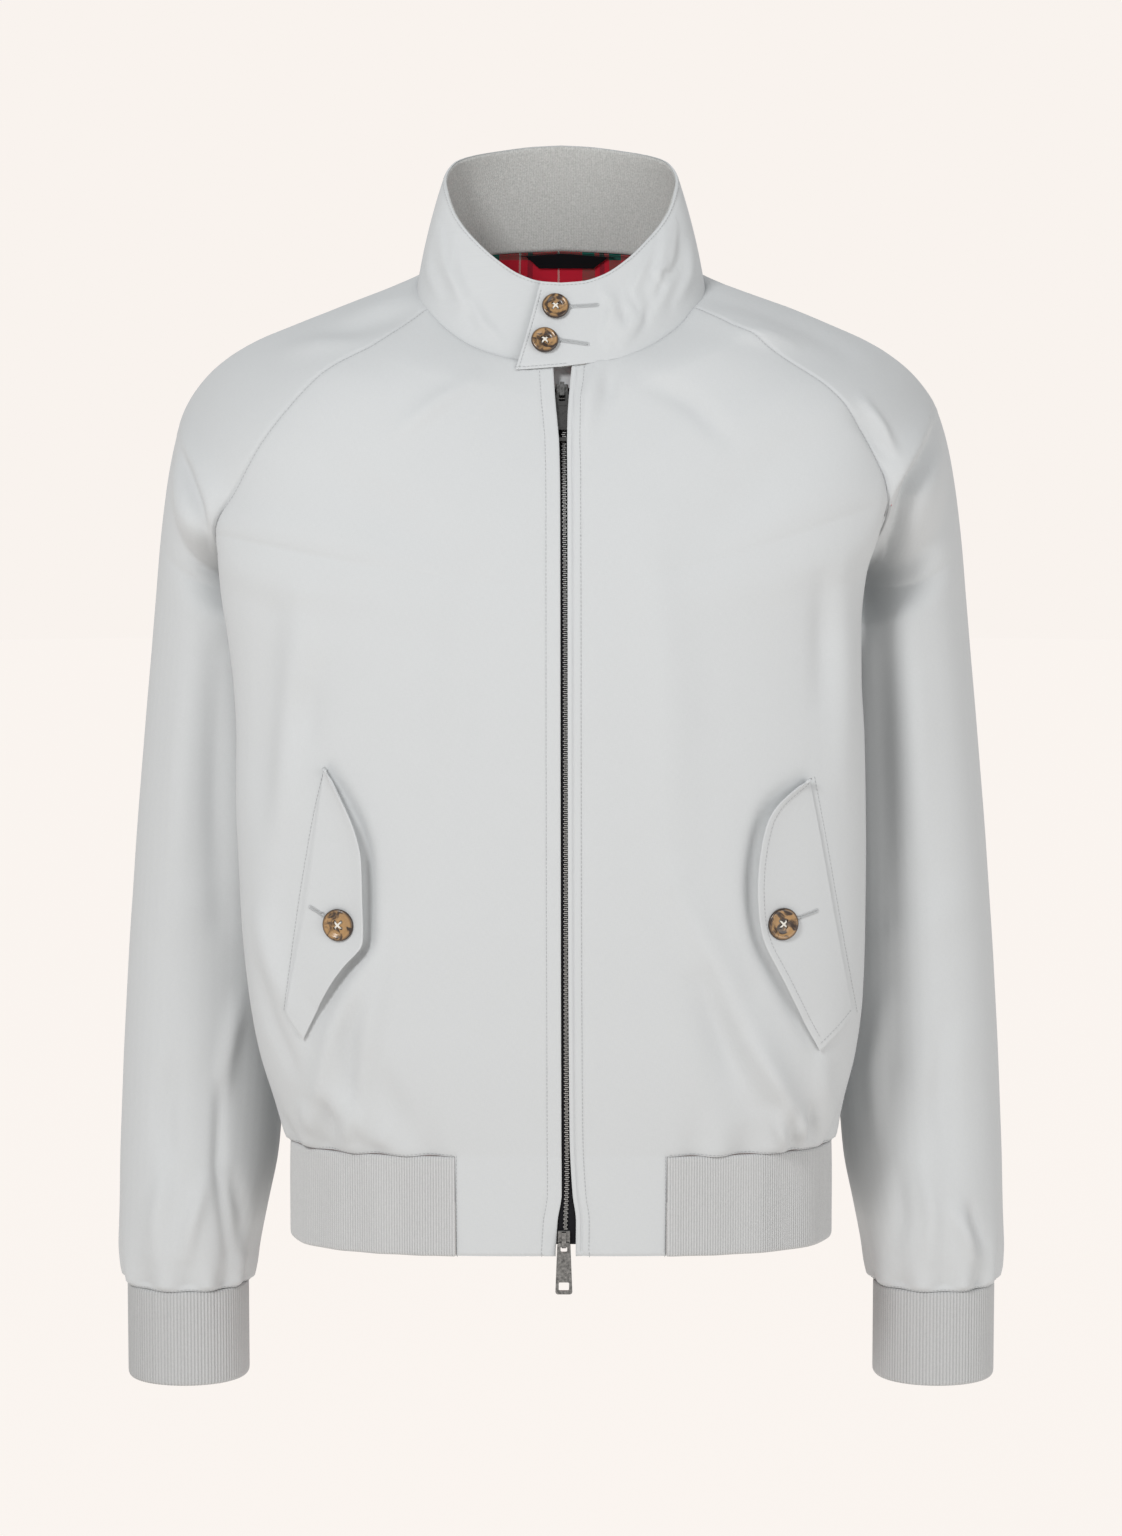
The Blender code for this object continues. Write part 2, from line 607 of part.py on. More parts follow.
def seam_allowance(sheet, normals):
    """Moves that pull the rim of a sheet back by half a seam."""
    points = sheet.array()
    pulls = {}
    for (a, b), face in rim(sheet).items():
        tangent = unit(points[b] - points[a])
        inside = points[face].mean(0) - (points[a] + points[b]) / 2
        for n in (a, b):
            across = np.cross(tangent, normals[n])
            if np.linalg.norm(across) < 0.6:
                across = inside - tangent * (tangent @ inside)
            across = unit(across if across @ inside > 0 else -across)
            pulls.setdefault(n, []).append(across)
    moves = np.zeros_like(points)
    for n, ways in pulls.items():
        total = sum(ways)
        share = max(0.35, (total @ total) / (len(ways) ** 2))
        moves[n] = total / len(ways) / share * SEAM / 2
    return moves


def closed_mesh(name, points, faces, material):
    """An object from points in millimetres and faces."""
    mesh = bpy.data.meshes.new(name)
    mesh.from_pydata([Vector(p) * MM for p in points], [], [list(f) for f in faces])
    mesh.validate()
    built = bpy.data.objects.new(name, mesh)
    PARTS.objects.link(built)
    mesh.materials.append(material)
    return built


def wall(sheet, normals, thickness, material, lift=0.0):
    """Close a sheet into a wall: the sheet is its outside, and the inside lies behind it."""
    points = sheet.array()
    base = points + seam_allowance(sheet, normals) + normals * lift
    outer_inner = np.concatenate([base, base - normals * thickness])
    count = len(points)
    faces = [list(f) for f in sheet.faces]
    faces += [[n + count for n in reversed(f)] for f in sheet.faces]
    faces += [[b, a, a + count, b + count] for a, b in rim(sheet)]
    return closed_mesh(sheet.name, outer_inner, faces, material)


def stitch(first, first_at, second, second_at):
    """Triangles between two lines of point numbers, each with its place along the seam."""
    faces, i, j = [], 0, 0
    while i < len(first) - 1 or j < len(second) - 1:
        ahead = j == len(second) - 1 or (i < len(first) - 1 and first_at[i + 1] <= second_at[j + 1])
        if ahead:
            faces.append([first[i], second[j], first[i + 1]])
            i += 1
        else:
            faces.append([first[i], second[j], second[j + 1]])
            j += 1
    return faces


def ribbed_wall(name, rows, outward, count, thickness, relief, material, turned, closed=False):
    """A knit band: ribs over a plain back, top row first. The ribs run straight from top to foot."""
    rows, outward = np.array(rows), np.array(outward)
    length = np.concatenate([[0], np.cumsum(np.linalg.norm(np.diff(rows[0], axis=0), axis=1))])
    place = length / length[-1]
    fine = np.linspace(0, 1, 2 * count + 1)
    raised = thickness + relief * (np.arange(len(fine)) % 2)
    points, back, front = [], [], []
    for row in rows:
        back.append([len(points) + i for i in range(len(row))])
        points += list(row)
    for row, out in ((rows[0], outward[0]), (rows[-1], outward[-1])):
        face = np.stack([np.interp(fine, place, c) for c in row.T], 1)
        direction = np.stack([np.interp(fine, place, c) for c in out.T], 1)
        front.append([len(points) + i for i in range(len(fine))])
        points += list(face + direction * raised[:, None])
    if closed:
        for line in back + front:
            line[-1] = line[0]
    faces = []
    for upper, lower in zip(back, back[1:]):
        faces += [[upper[i], upper[i + 1], lower[i + 1], lower[i]] for i in range(len(upper) - 1)]
    upper, lower = front
    faces += [[upper[i], lower[i], lower[i + 1], upper[i + 1]] for i in range(len(upper) - 1)]
    faces += stitch(back[0], place, front[0], fine)
    faces += [f[::-1] for f in stitch(back[-1], place, front[-1], fine)]
    if not closed:
        faces.append([line[0] for line in back] + [front[1][0], front[0][0]])
        faces.append([front[0][-1], front[1][-1]] + [line[-1] for line in reversed(back)])
    if turned:
        faces = [f[::-1] for f in faces]
    used = sorted({n for f in faces for n in f})
    renumber = {n: i for i, n in enumerate(used)}
    return closed_mesh(name, [points[n] for n in used], [[renumber[n] for n in f] for f in faces], material)


# ---------------------------------------------------------------- the panels


def to_body(side, points):
    """Points given as out, y and z, moved to their side of the body."""
    return np.array(points) * (SIDES[side], 1, 1)


def front_shares(side, columns, panel_columns):
    """Column places: the first ones end where the knit hem begins, on the hem seam."""
    line = front_row(side, HEM_ROW, np.linspace(0, 1, 400))
    panel = np.interp(HEM_PANEL_HALF, line[:200, 0], np.linspace(0, 1, 400)[:200])
    inner = np.linspace(0, panel, panel_columns + 1)
    return np.concatenate([inner, np.linspace(panel, 1, columns - panel_columns + 1)[1:]])


def hem_panel_rows(side, hem, count):
    """The rows of plain cloth below the hem seam, between the zip and the knit hem."""
    rows = []
    for step in np.linspace(0, 1, count + 1)[1:]:
        row = hem + np.array([0, HEM_TURN, -HEM_HEIGHT]) * step
        edge = zip_edge(side, row[0][2])
        shift = edge - hem[0][0]
        inward = (HEM_PANEL_HALF - hem[:, 0]) / (HEM_PANEL_HALF - hem[0][0])
        row[:, 0] = hem[:, 0] + shift * inward
        rows.append(row)
    return rows


def front_sheet(side, finer=1):
    """A front: the main grid, the plain cloth below it, and the turn to the side seam."""
    sheet = Sheet("front_" + side, "body", turned=side == "right")
    rows = np.linspace(0, HEM_ROW, HEM_ROW * finer + 1)
    panel = HEM_PANEL_COLUMNS * finer
    shares = front_shares(side, FRONT_COLUMNS * finer, panel)
    grid = [front_row(side, row, shares) for row in rows]
    sheet.grid([to_body(side, r) for r in grid])
    hem = grid[-1][: panel + 1]
    sheet.grid([to_body(side, r) for r in [hem] + hem_panel_rows(side, hem, HEM_PANEL_ROWS * finer)])
    shares = np.linspace(0, 1, SIDE_COLUMNS * finer + 1)
    sheet.grid([to_body(side, side_row(side, row, shares)) for row in rows if row >= TURN_ROW])
    return sheet


def whole_back_row(row, columns):
    half = back_row(row, np.linspace(0, 1, columns + 1))
    return np.concatenate([to_body("right", half), to_body("left", half[-2::-1])])


def back_sheet(name="back", rows=range(HEM_ROW + 1), columns=BACK_COLUMNS):
    sheet = Sheet(name, "body", turned=True)
    sheet.grid([whole_back_row(row, columns) for row in rows], other_way=columns)
    return sheet


def sleeve_sheet(side, face, rows=range(CUFF_ROW + 1), columns=SLEEVE_COLUMNS):
    name = "sleeve_%s_%s" % (side, face)
    sheet = Sheet(name, "sleeve", turned=(side == "right") == (face == "front"))
    shares = np.linspace(0, 1, columns + 1)
    sheet.grid([to_body(side, sleeve_row(side, face, row, shares)) for row in rows])
    return sheet


def neckline():
    """The neck seam from the left front edge round the back to the right front edge."""
    line = []
    for side in ("left", "right"):
        shares = np.linspace(0, 1, SLEEVE_COLUMNS + 1)
        half = list(front_row(side, 0, front_shares(side, FRONT_COLUMNS, HEM_PANEL_COLUMNS)))
        half += list(sleeve_row(side, "front", 0, shares)[1:])
        half += list(sleeve_row(side, "back", 0, shares)[::-1][1:])
        half += list(back_row(0, np.linspace(0, 1, BACK_COLUMNS + 1))[1:])
        half = list(to_body(side, half))
        line += half if side == "left" else half[-2::-1]
    return np.array(line)


# ---------------------------------------------------------------- the collar


def collar_angle(point):
    """The angle round the neck of a point on its seam, from 0 at the front through the left side."""
    depth = NECK_FRONT if point[1] < NECK_MIDDLE_Y else NECK_BACK
    turn = math.atan2(point[0] / (NECK_WIDTH / 2), (NECK_MIDDLE_Y - point[1]) / depth)
    return math.degrees(turn) % 360


TAB_ANGLE = -16.8  # where the left end's tab stops at its foot, past the middle of the front
TAB_SLANT = 7.0  # and how much sooner its top stops
UNDERLAP_ANGLE = 371.0
TAB_STAND = 5.6  # how far the foot of the tab stands off the front beneath it
TAB_DROP = 5.5  # and how far it reaches below the neck seam


def lap(angle):
    """How far the collar stands off its middle ring: out at the left end, in at the right end."""
    left = np.clip((50 - angle) / 30, 0, 1)
    right = np.clip((angle - 310) / 30, 0, 1)
    return COLLAR_LAP * (left * left * (3 - 2 * left) - right * right * (3 - 2 * right))


def collar_point(angle, height, depth=0.0):
    """A point of the collar at a share of its height, depth below its outer face."""
    past = max(0.0, -angle) / -TAB_ANGLE
    at = angle + TAB_SLANT * past * height
    half = at % 360 if at % 360 < 180 else 360 - at % 360
    turn = math.radians(at)
    foot = neck_point(half)
    foot[0] = NECK_WIDTH / 2 * math.sin(turn)
    back = math.cos(turn) < 0
    top = np.array([
        COLLAR_TOP_WIDTH / 2 * math.sin(turn),
        COLLAR_TOP_MIDDLE_Y - (COLLAR_TOP_BACK if back else COLLAR_TOP_FRONT) * math.cos(turn),
        smooth(COLLAR_EDGE["angle"], COLLAR_EDGE["z"], half),
    ])
    out = unit(np.array([math.sin(turn) / NECK_WIDTH, -math.cos(turn) / (NECK_FRONT * 2), 0]))
    bulge = COLLAR_BULGE * 4 * height * (1 - height) * (1 - abs(lap(at)) / COLLAR_LAP)
    stand = lap(at) + TAB_STAND * past * (1 - height)
    foot[2] -= TAB_DROP * past
    return foot * (1 - height) + top * height + out * (bulge + stand - depth), out


def collar_angles():
    ring = [collar_angle(p) for p in neckline()]
    before = list(np.linspace(TAB_ANGLE, ring[0], 5)[:-1])
    after = list(np.linspace(ring[-1], UNDERLAP_ANGLE, 4)[1:])
    return before + ring + after


def collar_outer(material):
    sheet = Sheet("collar_outer", "collar", turned=False)
    angles = collar_angles()
    heights = (1.0, 0.66, 0.33, SEAM / 60)
    pairs = [[collar_point(a, h) for a in angles] for h in heights]
    sheet.grid([[point for point, out in row] for row in pairs])
    level = np.array([out for row in pairs for point, out in row])
    return wall(sheet, level, COLLAR_CLOTH, material)


def collar_rib(material):
    """The knit facing inside the collar. It stops where the tab begins."""
    angles = [a for a in collar_angles() if 6 < a < UNDERLAP_ANGLE - 4]
    depth = COLLAR_CLOTH + SEAM + 0.2
    rows, outward = [], []
    for height in (0.995, 0.66, 0.33, 0.01):
        pairs = [collar_point(a, height, depth) for a in angles]
        rows.append([p for p, out in pairs])
        outward.append([-out for p, out in pairs])
    around = np.linalg.norm(np.diff(np.array(rows[0]), axis=0), axis=1).sum()
    count = round(around / COLLAR_RIB_PITCH)
    return ribbed_wall(
        "collar_rib", rows, outward, count, COLLAR_RIB, COLLAR_RIB_RELIEF, material, turned=True
    )


# ---------------------------------------------------------------- hem and cuffs


def level_normals(line, closed=False):
    """Level directions square to a line, to its left as it runs."""
    before, after = np.roll(line, 1, 0), np.roll(line, -1, 0)
    if not closed:
        before[0], after[-1] = line[0], line[-1]
    along = after - before
    out = np.stack([along[:, 1], -along[:, 0], np.zeros(len(line))], 1)
    return out / np.linalg.norm(out, axis=1)[:, None]


def hem_line():
    """The hem seam from the left end of the knit round the back to its right end."""
    shares = {s: front_shares(s, FRONT_COLUMNS, HEM_PANEL_COLUMNS) for s in SIDES}
    turn = np.linspace(0, 1, SIDE_COLUMNS + 1)
    left, right = (
        to_body(s, np.concatenate([
            front_row(s, HEM_ROW, shares[s])[HEM_PANEL_COLUMNS:],
            side_row(s, HEM_ROW, turn)[1:],
        ]))
        for s in ("left", "right")
    )
    back = whole_back_row(HEM_ROW, BACK_COLUMNS)
    return np.concatenate([left, back[::-1][1:-1], right[::-1]])


def hem_rib(material):
    line = hem_line()
    out = level_normals(line)
    out[0] = out[-1] = (0, -1, 0)
    line[0][0] += SEAM / 2
    line[-1][0] -= SEAM / 2
    inside = line - out * (HEM_KNIT + HEM_RELIEF)
    rows = [inside + (0, 0, -SEAM / 2), inside + (0, 0, -HEM_HEIGHT)]
    around = np.linalg.norm(np.diff(line, axis=0), axis=1).sum()
    count = round(around / HEM_PITCH)
    return ribbed_wall("hem_rib", rows, [out, out], count, HEM_KNIT, HEM_RELIEF, material, turned=False)


def cuff(side, material):
    shares = np.linspace(0, 1, SLEEVE_COLUMNS + 1)
    front = to_body(side, sleeve_row(side, "front", CUFF_ROW, shares))
    back = to_body(side, sleeve_row(side, "back", CUFF_ROW, shares))
    ring = np.concatenate([front, back[::-1][1:]])
    ring = ring if side == "right" else ring[::-1]
    ring = ring[::-1]
    out = level_normals(ring[:-1], closed=True)
    out = np.concatenate([out, out[:1]])
    inside = ring - out * (CUFF_KNIT + CUFF_RELIEF)
    rows = [inside + (0, 0, -SEAM / 2), inside + (0, 0, -CUFF_HEIGHT)]
    around = np.linalg.norm(np.diff(ring, axis=0), axis=1).sum()
    count = round(around / CUFF_PITCH)
    return ribbed_wall(
        "cuff_" + side, rows, [out, out], count, CUFF_KNIT, CUFF_RELIEF, material, turned=False, closed=True
    )


# ---------------------------------------------------------------- what lies on a panel


class Surface:
    """A sheet sampled finely, on which other pieces are laid."""

    def __init__(self, sheet, normals):
        self.tree = BVHTree.FromPolygons([Vector(p) for p in sheet.points], sheet.faces)
        self.points, self.normals = sheet.array(), normals
        self.faces = sheet.faces

    def at(self, x, z):
        """The point behind x and z, seen from the front, with the normal there."""
        spot, _, face, _ = self.tree.ray_cast(Vector((x, -400, z)), Vector((0, 1, 0)))
        corners = self.points[self.faces[face]]
        weight = 1 / (np.linalg.norm(corners - np.array(spot), axis=1) + 0.5)
        return np.array(spot), unit(weight @ self.normals[self.faces[face]])


def fine_front(side):
    sheet = front_sheet(side, finer=5)
    normals = shared_normals([sheet])[0]
    folded(sheet, normals)
    return Surface(sheet, normals)


def flap(side, surface, material):
    """A slanting pocket's flap, sewn along its outer edge and buttoned at the free one."""
    sewn = np.stack([FLAP_SEWN[side]["x"], FLAP_SEWN[side]["z"]], 1)
    free = np.stack([FLAP_FREE[side]["x"], FLAP_FREE[side]["z"]], 1)
    shares = np.linspace(0, 1, FLAP_ROWS + 1)
    sewn, free = spread(sewn, shares), spread(free, shares)
    free[0] = sewn[0]
    sheet = Sheet("flap_" + side, "flap", turned=side == "left")
    rows = []
    for a, b in zip(sewn, free):
        row = []
        for share in np.linspace(0, 1, FLAP_COLUMNS + 1):
            spot, normal = surface.at(*(a + (b - a) * share))
            row.append(spot + normal * FLAP_PUFF * math.sin(math.pi * share))
        rows.append(row)
    sheet.grid(rows)
    wall(sheet, shared_normals([sheet])[0], FLAP_CLOTH, material, lift=LIFT + FLAP_CLOTH)


def turned_object(name, profile, steps, material):
    """A round solid about its own Z axis from a profile of radius and height, outside down."""
    mesh = bpy.data.meshes.new(name)
    points = [(r * MM, 0, z * MM) for r, z in profile]
    mesh.from_pydata(points, [(i, i + 1) for i in range(len(points) - 1)], [])
    built = bpy.data.objects.new(name, mesh)
    PARTS.objects.link(built)
    screw = built.modifiers.new("turn", "SCREW")
    screw.steps = screw.render_steps = steps
    screw.use_merge_vertices = True
    screw.merge_threshold = 0.00001
    screw.use_normal_calculate = False
    mesh.materials.append(material)
    return built


def button(name, diameter, spot, normal, material):
    """A button with a raised rim, its back just off the cloth."""
    r = diameter / 2
    t = BUTTON_THICKNESS
    profile = [
        (0, t * 0.62), (r * 0.5, t * 0.62), (r * 0.78, t * 0.95), (r * 0.9, t), (r, t * 0.6),
        (r * 0.92, t * 0.12), (r * 0.7, 0), (0, 0),
    ]
    built = turned_object(name, profile, BUTTON_STEPS, material)
    built.location = Vector(spot + normal * LIFT) * MM
    built.rotation_euler = Vector(normal).to_track_quat("Z", "Y").to_euler()
    return built


def back_lining(back, normals, material):
    """The lining that shows inside the neck: the upper back's points, moved in."""
    sheet = Sheet("back_lining", "body", turned=True)
    points = back.array() - normals * (SHELL + LIFT)
    across = 2 * BACK_COLUMNS + 1
    rows = [points[r * across:(r + 1) * across] for r in range(LINING_ROWS + 1)]
    sheet.grid(rows, other_way=BACK_COLUMNS)
    own = normals[: len(sheet.points)]
    wall(sheet, own, LINING, material)
    return Surface(sheet, own)


def label(lining, material):
    """The bare label, sewn under the collar at the middle of the back."""
    sheet = Sheet("label", "label", turned=False)
    rows = []
    for share in (0.0, 0.5, 1.0):
        left, right, z = (1 - share) * np.array(LABEL_TOP) + share * np.array(LABEL_FOOT)
        row = []
        for x in np.linspace(left, right, LABEL_COLUMNS + 1):
            spot, normal = lining.at(x, z)
            row.append(spot - normal * (LINING + LIFT))
        rows.append(row)
    sheet.grid(rows)
    wall(sheet, shared_normals([sheet])[0], LABEL_CLOTH, material, lift=LABEL_CLOTH)


# ---------------------------------------------------------------- the zip


def zip_point(z, depth):
    """A point on the middle line of the zip, depth behind the fronts, and the fronts' normal there."""
    foot = FRONT_MIDDLE["z"][-1]
    y = smooth(-FRONT_MIDDLE["z"], FRONT_MIDDLE["y"], -z) + HEM_TURN * np.clip((foot - z) / HEM_HEIGHT, 0, 1)
    above, below = (smooth(-FRONT_MIDDLE["z"], FRONT_MIDDLE["y"], -z + step) for step in (-4, 4))
    normal = unit(np.array([0, -8, above - below]))
    return np.array([smooth(-ZIP_MIDDLE["z"], ZIP_MIDDLE["x"], -z), y, z]) - normal * depth, normal


def tape_depth(z):
    sunk = np.clip((z + 150) / 40, 0, 1)
    return TAPE_DEPTH + TAPE_SUNK * sunk * sunk * (3 - 2 * sunk)


def zip_tape(side, front, normals, material):
    """One woven tape of the zip, without its teeth, behind the first points of the front's rows."""
    points = front.array()
    across, across_low = FRONT_COLUMNS + 1, HEM_PANEL_COLUMNS + 1
    below = across * (HEM_ROW + 1)
    firsts = list(range(0, below, across)) + list(range(below, below + HEM_PANEL_ROWS * across_low, across_low))
    grid = []
    for n in firsts:
        z = points[n][2]
        row = points[[n, n + 1]] - normals[[n, n + 1]] * tape_depth(z)
        row[0][0] = zip_point(z, 0)[0][0] + SIDES[side] * TAPE_GAP
        grid.append(row)
    grid[0] = grid[0] * 0.6 + grid[1] * 0.4
    grid[-1] = grid[-1] * 0.9 + grid[-2] * 0.1
    sheet = Sheet("zip_tape_" + side, "tape", turned=side == "right")
    sheet.grid(grid)
    wall(sheet, shared_normals([sheet])[0], TAPE_CLOTH, material)


def block(name, size, middle, material=None, bevel=0.0):
    """A box in millimetres; a cutter, or part of a union, where it has no material."""
    mesh = bpy.data.meshes.new(name)
    shape = bmesh.new()
    bmesh.ops.create_cube(shape, size=1.0)
    bmesh.ops.scale(shape, vec=Vector(size) * MM, verts=shape.verts)
    bmesh.ops.translate(shape, vec=Vector(middle) * MM, verts=shape.verts)
    shape.to_mesh(mesh)
    shape.free()
    built = bpy.data.objects.new(name, mesh)
    if material is None:
        CUTTERS.objects.link(built)
        built.hide_render = True
        built.display_type = "WIRE"
    else:
        PARTS.objects.link(built)
        mesh.materials.append(material)
    if bevel:
        soft = built.modifiers.new("soft edges", "BEVEL")
        soft.width = bevel * MM
        soft.segments = 1
    return built


def combine(base, other, operation):
    step = base.modifiers.new(other.name, "BOOLEAN")
    step.operation = operation
    step.object = other
    step.solver = "EXACT"
    other.parent = base


def slider(name, material):
    """A zip slider about the middle of its tape: two plates, the post between them and a bridge."""
    plate_y = SLIDER_HALF_GAP + SLIDER_PLATE / 2
    face = -(SLIDER_HALF_GAP + SLIDER_PLATE)
    size = (SLIDER_WIDTH, SLIDER_PLATE, SLIDER_LENGTH)
    base = block(name, size, (0, -plate_y, 0), material, bevel=SLIDER_BEVEL)
    rear = block(name + "_rear", size, (0, plate_y, 0))
    post = block(name + "_post", (POST[0], 2 * plate_y, POST[1]), (0, 0, SLIDER_LENGTH / 2 - POST_DROP))
    depth = BRIDGE_ROOM + BRIDGE_BAR + BRIDGE_ROOT
    size = (BRIDGE_WIDTH, depth, BRIDGE_LENGTH)
    bridge = block(name + "_bridge", size, (0, face + BRIDGE_ROOT - depth / 2, 0))
    size = (BRIDGE_WIDTH * 2, BRIDGE_ROOM, BRIDGE_LENGTH - 2 * BRIDGE_BAR)
    room = block(name + "_room", size, (0, face - BRIDGE_ROOM / 2, 0))
    for piece in (rear, post, bridge):
        combine(base, piece, "UNION")
    combine(base, room, "DIFFERENCE")
    return base


def pull(name, material):
    """A pull tab that hangs from the bar across its top, which is the origin."""
    top = PULL_BAR / 2
    foot = top - PULL_LENGTH
    mesh = bpy.data.meshes.new(name)
    shape = bmesh.new()
    bmesh.ops.create_cube(shape, size=1.0)
    for corner in shape.verts:
        upper = corner.co.z > 0
        corner.co.x *= PULL_TOP_WIDTH if upper else PULL_FOOT_WIDTH
        corner.co.y *= PULL_PLATE
        corner.co.z = top if upper else foot
        corner.co *= MM
    through = [e for e in shape.edges if abs(e.verts[0].co.y - e.verts[1].co.y) > PULL_PLATE * MM / 2]
    bmesh.ops.bevel(shape, geom=through, offset=PULL_CORNER * MM, segments=2, affect="EDGES", profile=0.5)
    shape.to_mesh(mesh)
    shape.free()
    base = bpy.data.objects.new(name, mesh)
    PARTS.objects.link(base)
    mesh.materials.append(material)
    deep = PULL_PLATE * 3
    eye_middle = (0, 0, -top - PULL_EYE[1] / 2)
    eye = block(name + "_eye", (PULL_EYE[0], deep, PULL_EYE[1]), eye_middle, bevel=HOLE_BEVEL)
    window_middle = (0, 0, foot + PULL_RIM + PULL_WINDOW[1] / 2)
    window = block(name + "_window", (PULL_WINDOW[0], deep, PULL_WINDOW[1]), window_middle, bevel=HOLE_BEVEL)
    field_z = foot + PULL_RIM + PULL_WINDOW[1] + PULL_FIELD_GAP + PULL_FIELD[1] / 2
    size = (PULL_FIELD[0], PULL_FIELD_DEPTH * 2, PULL_FIELD[1])
    field = block(name + "_field", size, (0, -PULL_PLATE / 2, field_z))
    for piece in (eye, window, field):
        combine(base, piece, "DIFFERENCE")
    return base


def stand(piece, top, foot):
    """Put a piece's origin at a point, with its own foot towards another point straight below it."""
    piece.location = Vector(top) * MM
    piece.rotation_euler = (math.atan2(foot[1] - top[1], top[2] - foot[2]), 0, 0)


def build_zip(metal):
    """The sliders at both ends of the zip, each with its pull hooked under the bridge."""
    for which, z in (("upper", UPPER_SLIDER_Z), ("lower", LOWER_SLIDER_Z)):
        name = "slider_" + which
        body = slider(name, metal(name))
        middle = tape_depth(z) + TAPE_CLOTH / 2
        forward = SLIDER_HALF_GAP + SLIDER_PLATE + BRIDGE_ROOM / 2
        top, foot = (zip_point(z + step, middle)[0] for step in (SLIDER_LENGTH / 2, -SLIDER_LENGTH / 2))
        stand(body, (top + foot) / 2, foot)
        low = BRIDGE_LENGTH / 2 - BRIDGE_BAR - PULL_PLAY - PULL_BAR / 2
        down, out = unit(foot - top), unit(np.cross(foot - top, (1, 0, 0)))
        hook = (top + foot) / 2 + down * low + out * forward
        name = "pull_" + which
        tab = pull(name, metal(name))
        if which == "upper":
            stand(tab, hook, zip_point(hook[2] - PULL_LENGTH, middle - forward)[0])
        else:
            stand(tab, hook, hook - (0, 0, PULL_LENGTH))


# ---------------------------------------------------------------- assembly


def new_material(name, colour, roughness, metallic=0.0):
    made = bpy.data.materials.new(name)
    made.use_nodes = True
    shader = made.node_tree.nodes["Principled BSDF"]
    shader.inputs["Base Color"].default_value = (*colour, 1)
    shader.inputs["Roughness"].default_value = roughness
    shader.inputs["Metallic"].default_value = metallic
    return made


def folded(sheet, normals):
    """Move a panel's points into its folds."""
    points = sheet.array()
    height = fold_height(sheet.kind, points, normals) * clear_of_raglan(points)
    height += cuff_gathers(points) if sheet.kind == "sleeve" else hem_gathers(points)
    sheet.points = list(points + normals * height[:, None])


def build_panels(cloth, lining, black):
    sheets = [front_sheet("right"), front_sheet("left"), back_sheet()]
    sheets += [sleeve_sheet(s, f) for s in SIDES for f in ("front", "back")]
    for sheet, normals in zip(sheets, shared_normals(sheets)):
        folded(sheet, normals)
        wall(sheet, normals, SHELL, cloth(sheet.name))
        if sheet.name == "back":
            label(back_lining(sheet, normals, lining("back_lining")), black("label"))
        elif sheet.kind == "body":
            side = sheet.name.split("_")[1]
            zip_tape(side, sheet, normals, black("zip_tape_" + side))


def build_pockets(cloth, horn):
    for side in SIDES:
        surface = fine_front(side)
        flap(side, surface, cloth("flap_" + side))
        x, z = POCKET_BUTTONS[side]
        spot, normal = surface.at(x, z)
        raised = LIFT + FLAP_CLOTH + FLAP_PUFF
        name = "button_pocket_" + side
        button(name, BUTTON_POCKET, spot + normal * raised, normal, horn(name))


def build_collar_buttons(horn):
    """The two buttons that hold the tab, seated on the collar's outer face."""
    for which, (x, z) in COLLAR_BUTTONS.items():
        best = min(
            ((a, h) for a in np.linspace(TAB_ANGLE, 8, 60) for h in np.linspace(0, 1, 60)),
            key=lambda at: np.hypot(*(collar_point(*at)[0][[0, 2]] - (x, z))),
        )
        spot, _ = collar_point(*best)
        across = collar_point(best[0] + 4, best[1])[0] - collar_point(best[0] - 4, best[1])[0]
        upward = collar_point(best[0], best[1] + 0.08)[0] - collar_point(best[0], best[1] - 0.08)[0]
        normal = unit(np.cross(across, upward))
        name = "button_collar_" + which
        button(name, BUTTON_COLLAR, spot, normal, horn(name))


def main():
    global PARTS, CUTTERS
    for old in list(bpy.data.objects):
        bpy.data.objects.remove(old)
    PARTS = bpy.data.collections.new("harrington_jacket")
    CUTTERS = bpy.data.collections.new("cutters")
    bpy.context.scene.collection.children.link(PARTS)
    bpy.context.scene.collection.children.link(CUTTERS)

    def cloth(name):
        return new_material(name, (0.64, 0.65, 0.66), 0.8)

    def knit(name):
        return new_material(name, (0.52, 0.52, 0.51), 0.9)

    def lining(name):
        return new_material(name, (0.45, 0.01, 0.03), 0.8)

    def black(name):
        return new_material(name, (0.01, 0.01, 0.012), 0.8)

    def horn(name):
        return new_material(name, (0.28, 0.13, 0.04), 0.25)

    def metal(name):
        return new_material(name, (0.45, 0.44, 0.42), 0.35, 1.0)

    build_panels(cloth, lining, black)
    collar_outer(cloth("collar_outer"))
    collar_rib(knit("collar_rib"))
    hem_rib(knit("hem_rib"))
    for side in SIDES:
        cuff(side, knit("cuff_" + side))
    build_pockets(cloth, horn)
    build_collar_buttons(horn)
    build_zip(metal)


main()
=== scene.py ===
"""A harrington jacket, filled out as if worn: shell, knit, lining, pockets, zip, buttons and sewing.

Every piece of cloth is a thin sheet worked out from the tables of sizes below. Neighbouring panels
take their seam from the same function. Tables are in millimetres, finished meshes in metres. X runs
to the wearer's left, -Y to the front and Z up; "out" is the distance from the middle to either side.
"""

import copy
import math

import bmesh
import bpy
import numpy as np
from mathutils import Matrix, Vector
from mathutils.bvhtree import BVHTree
from mathutils.kdtree import KDTree


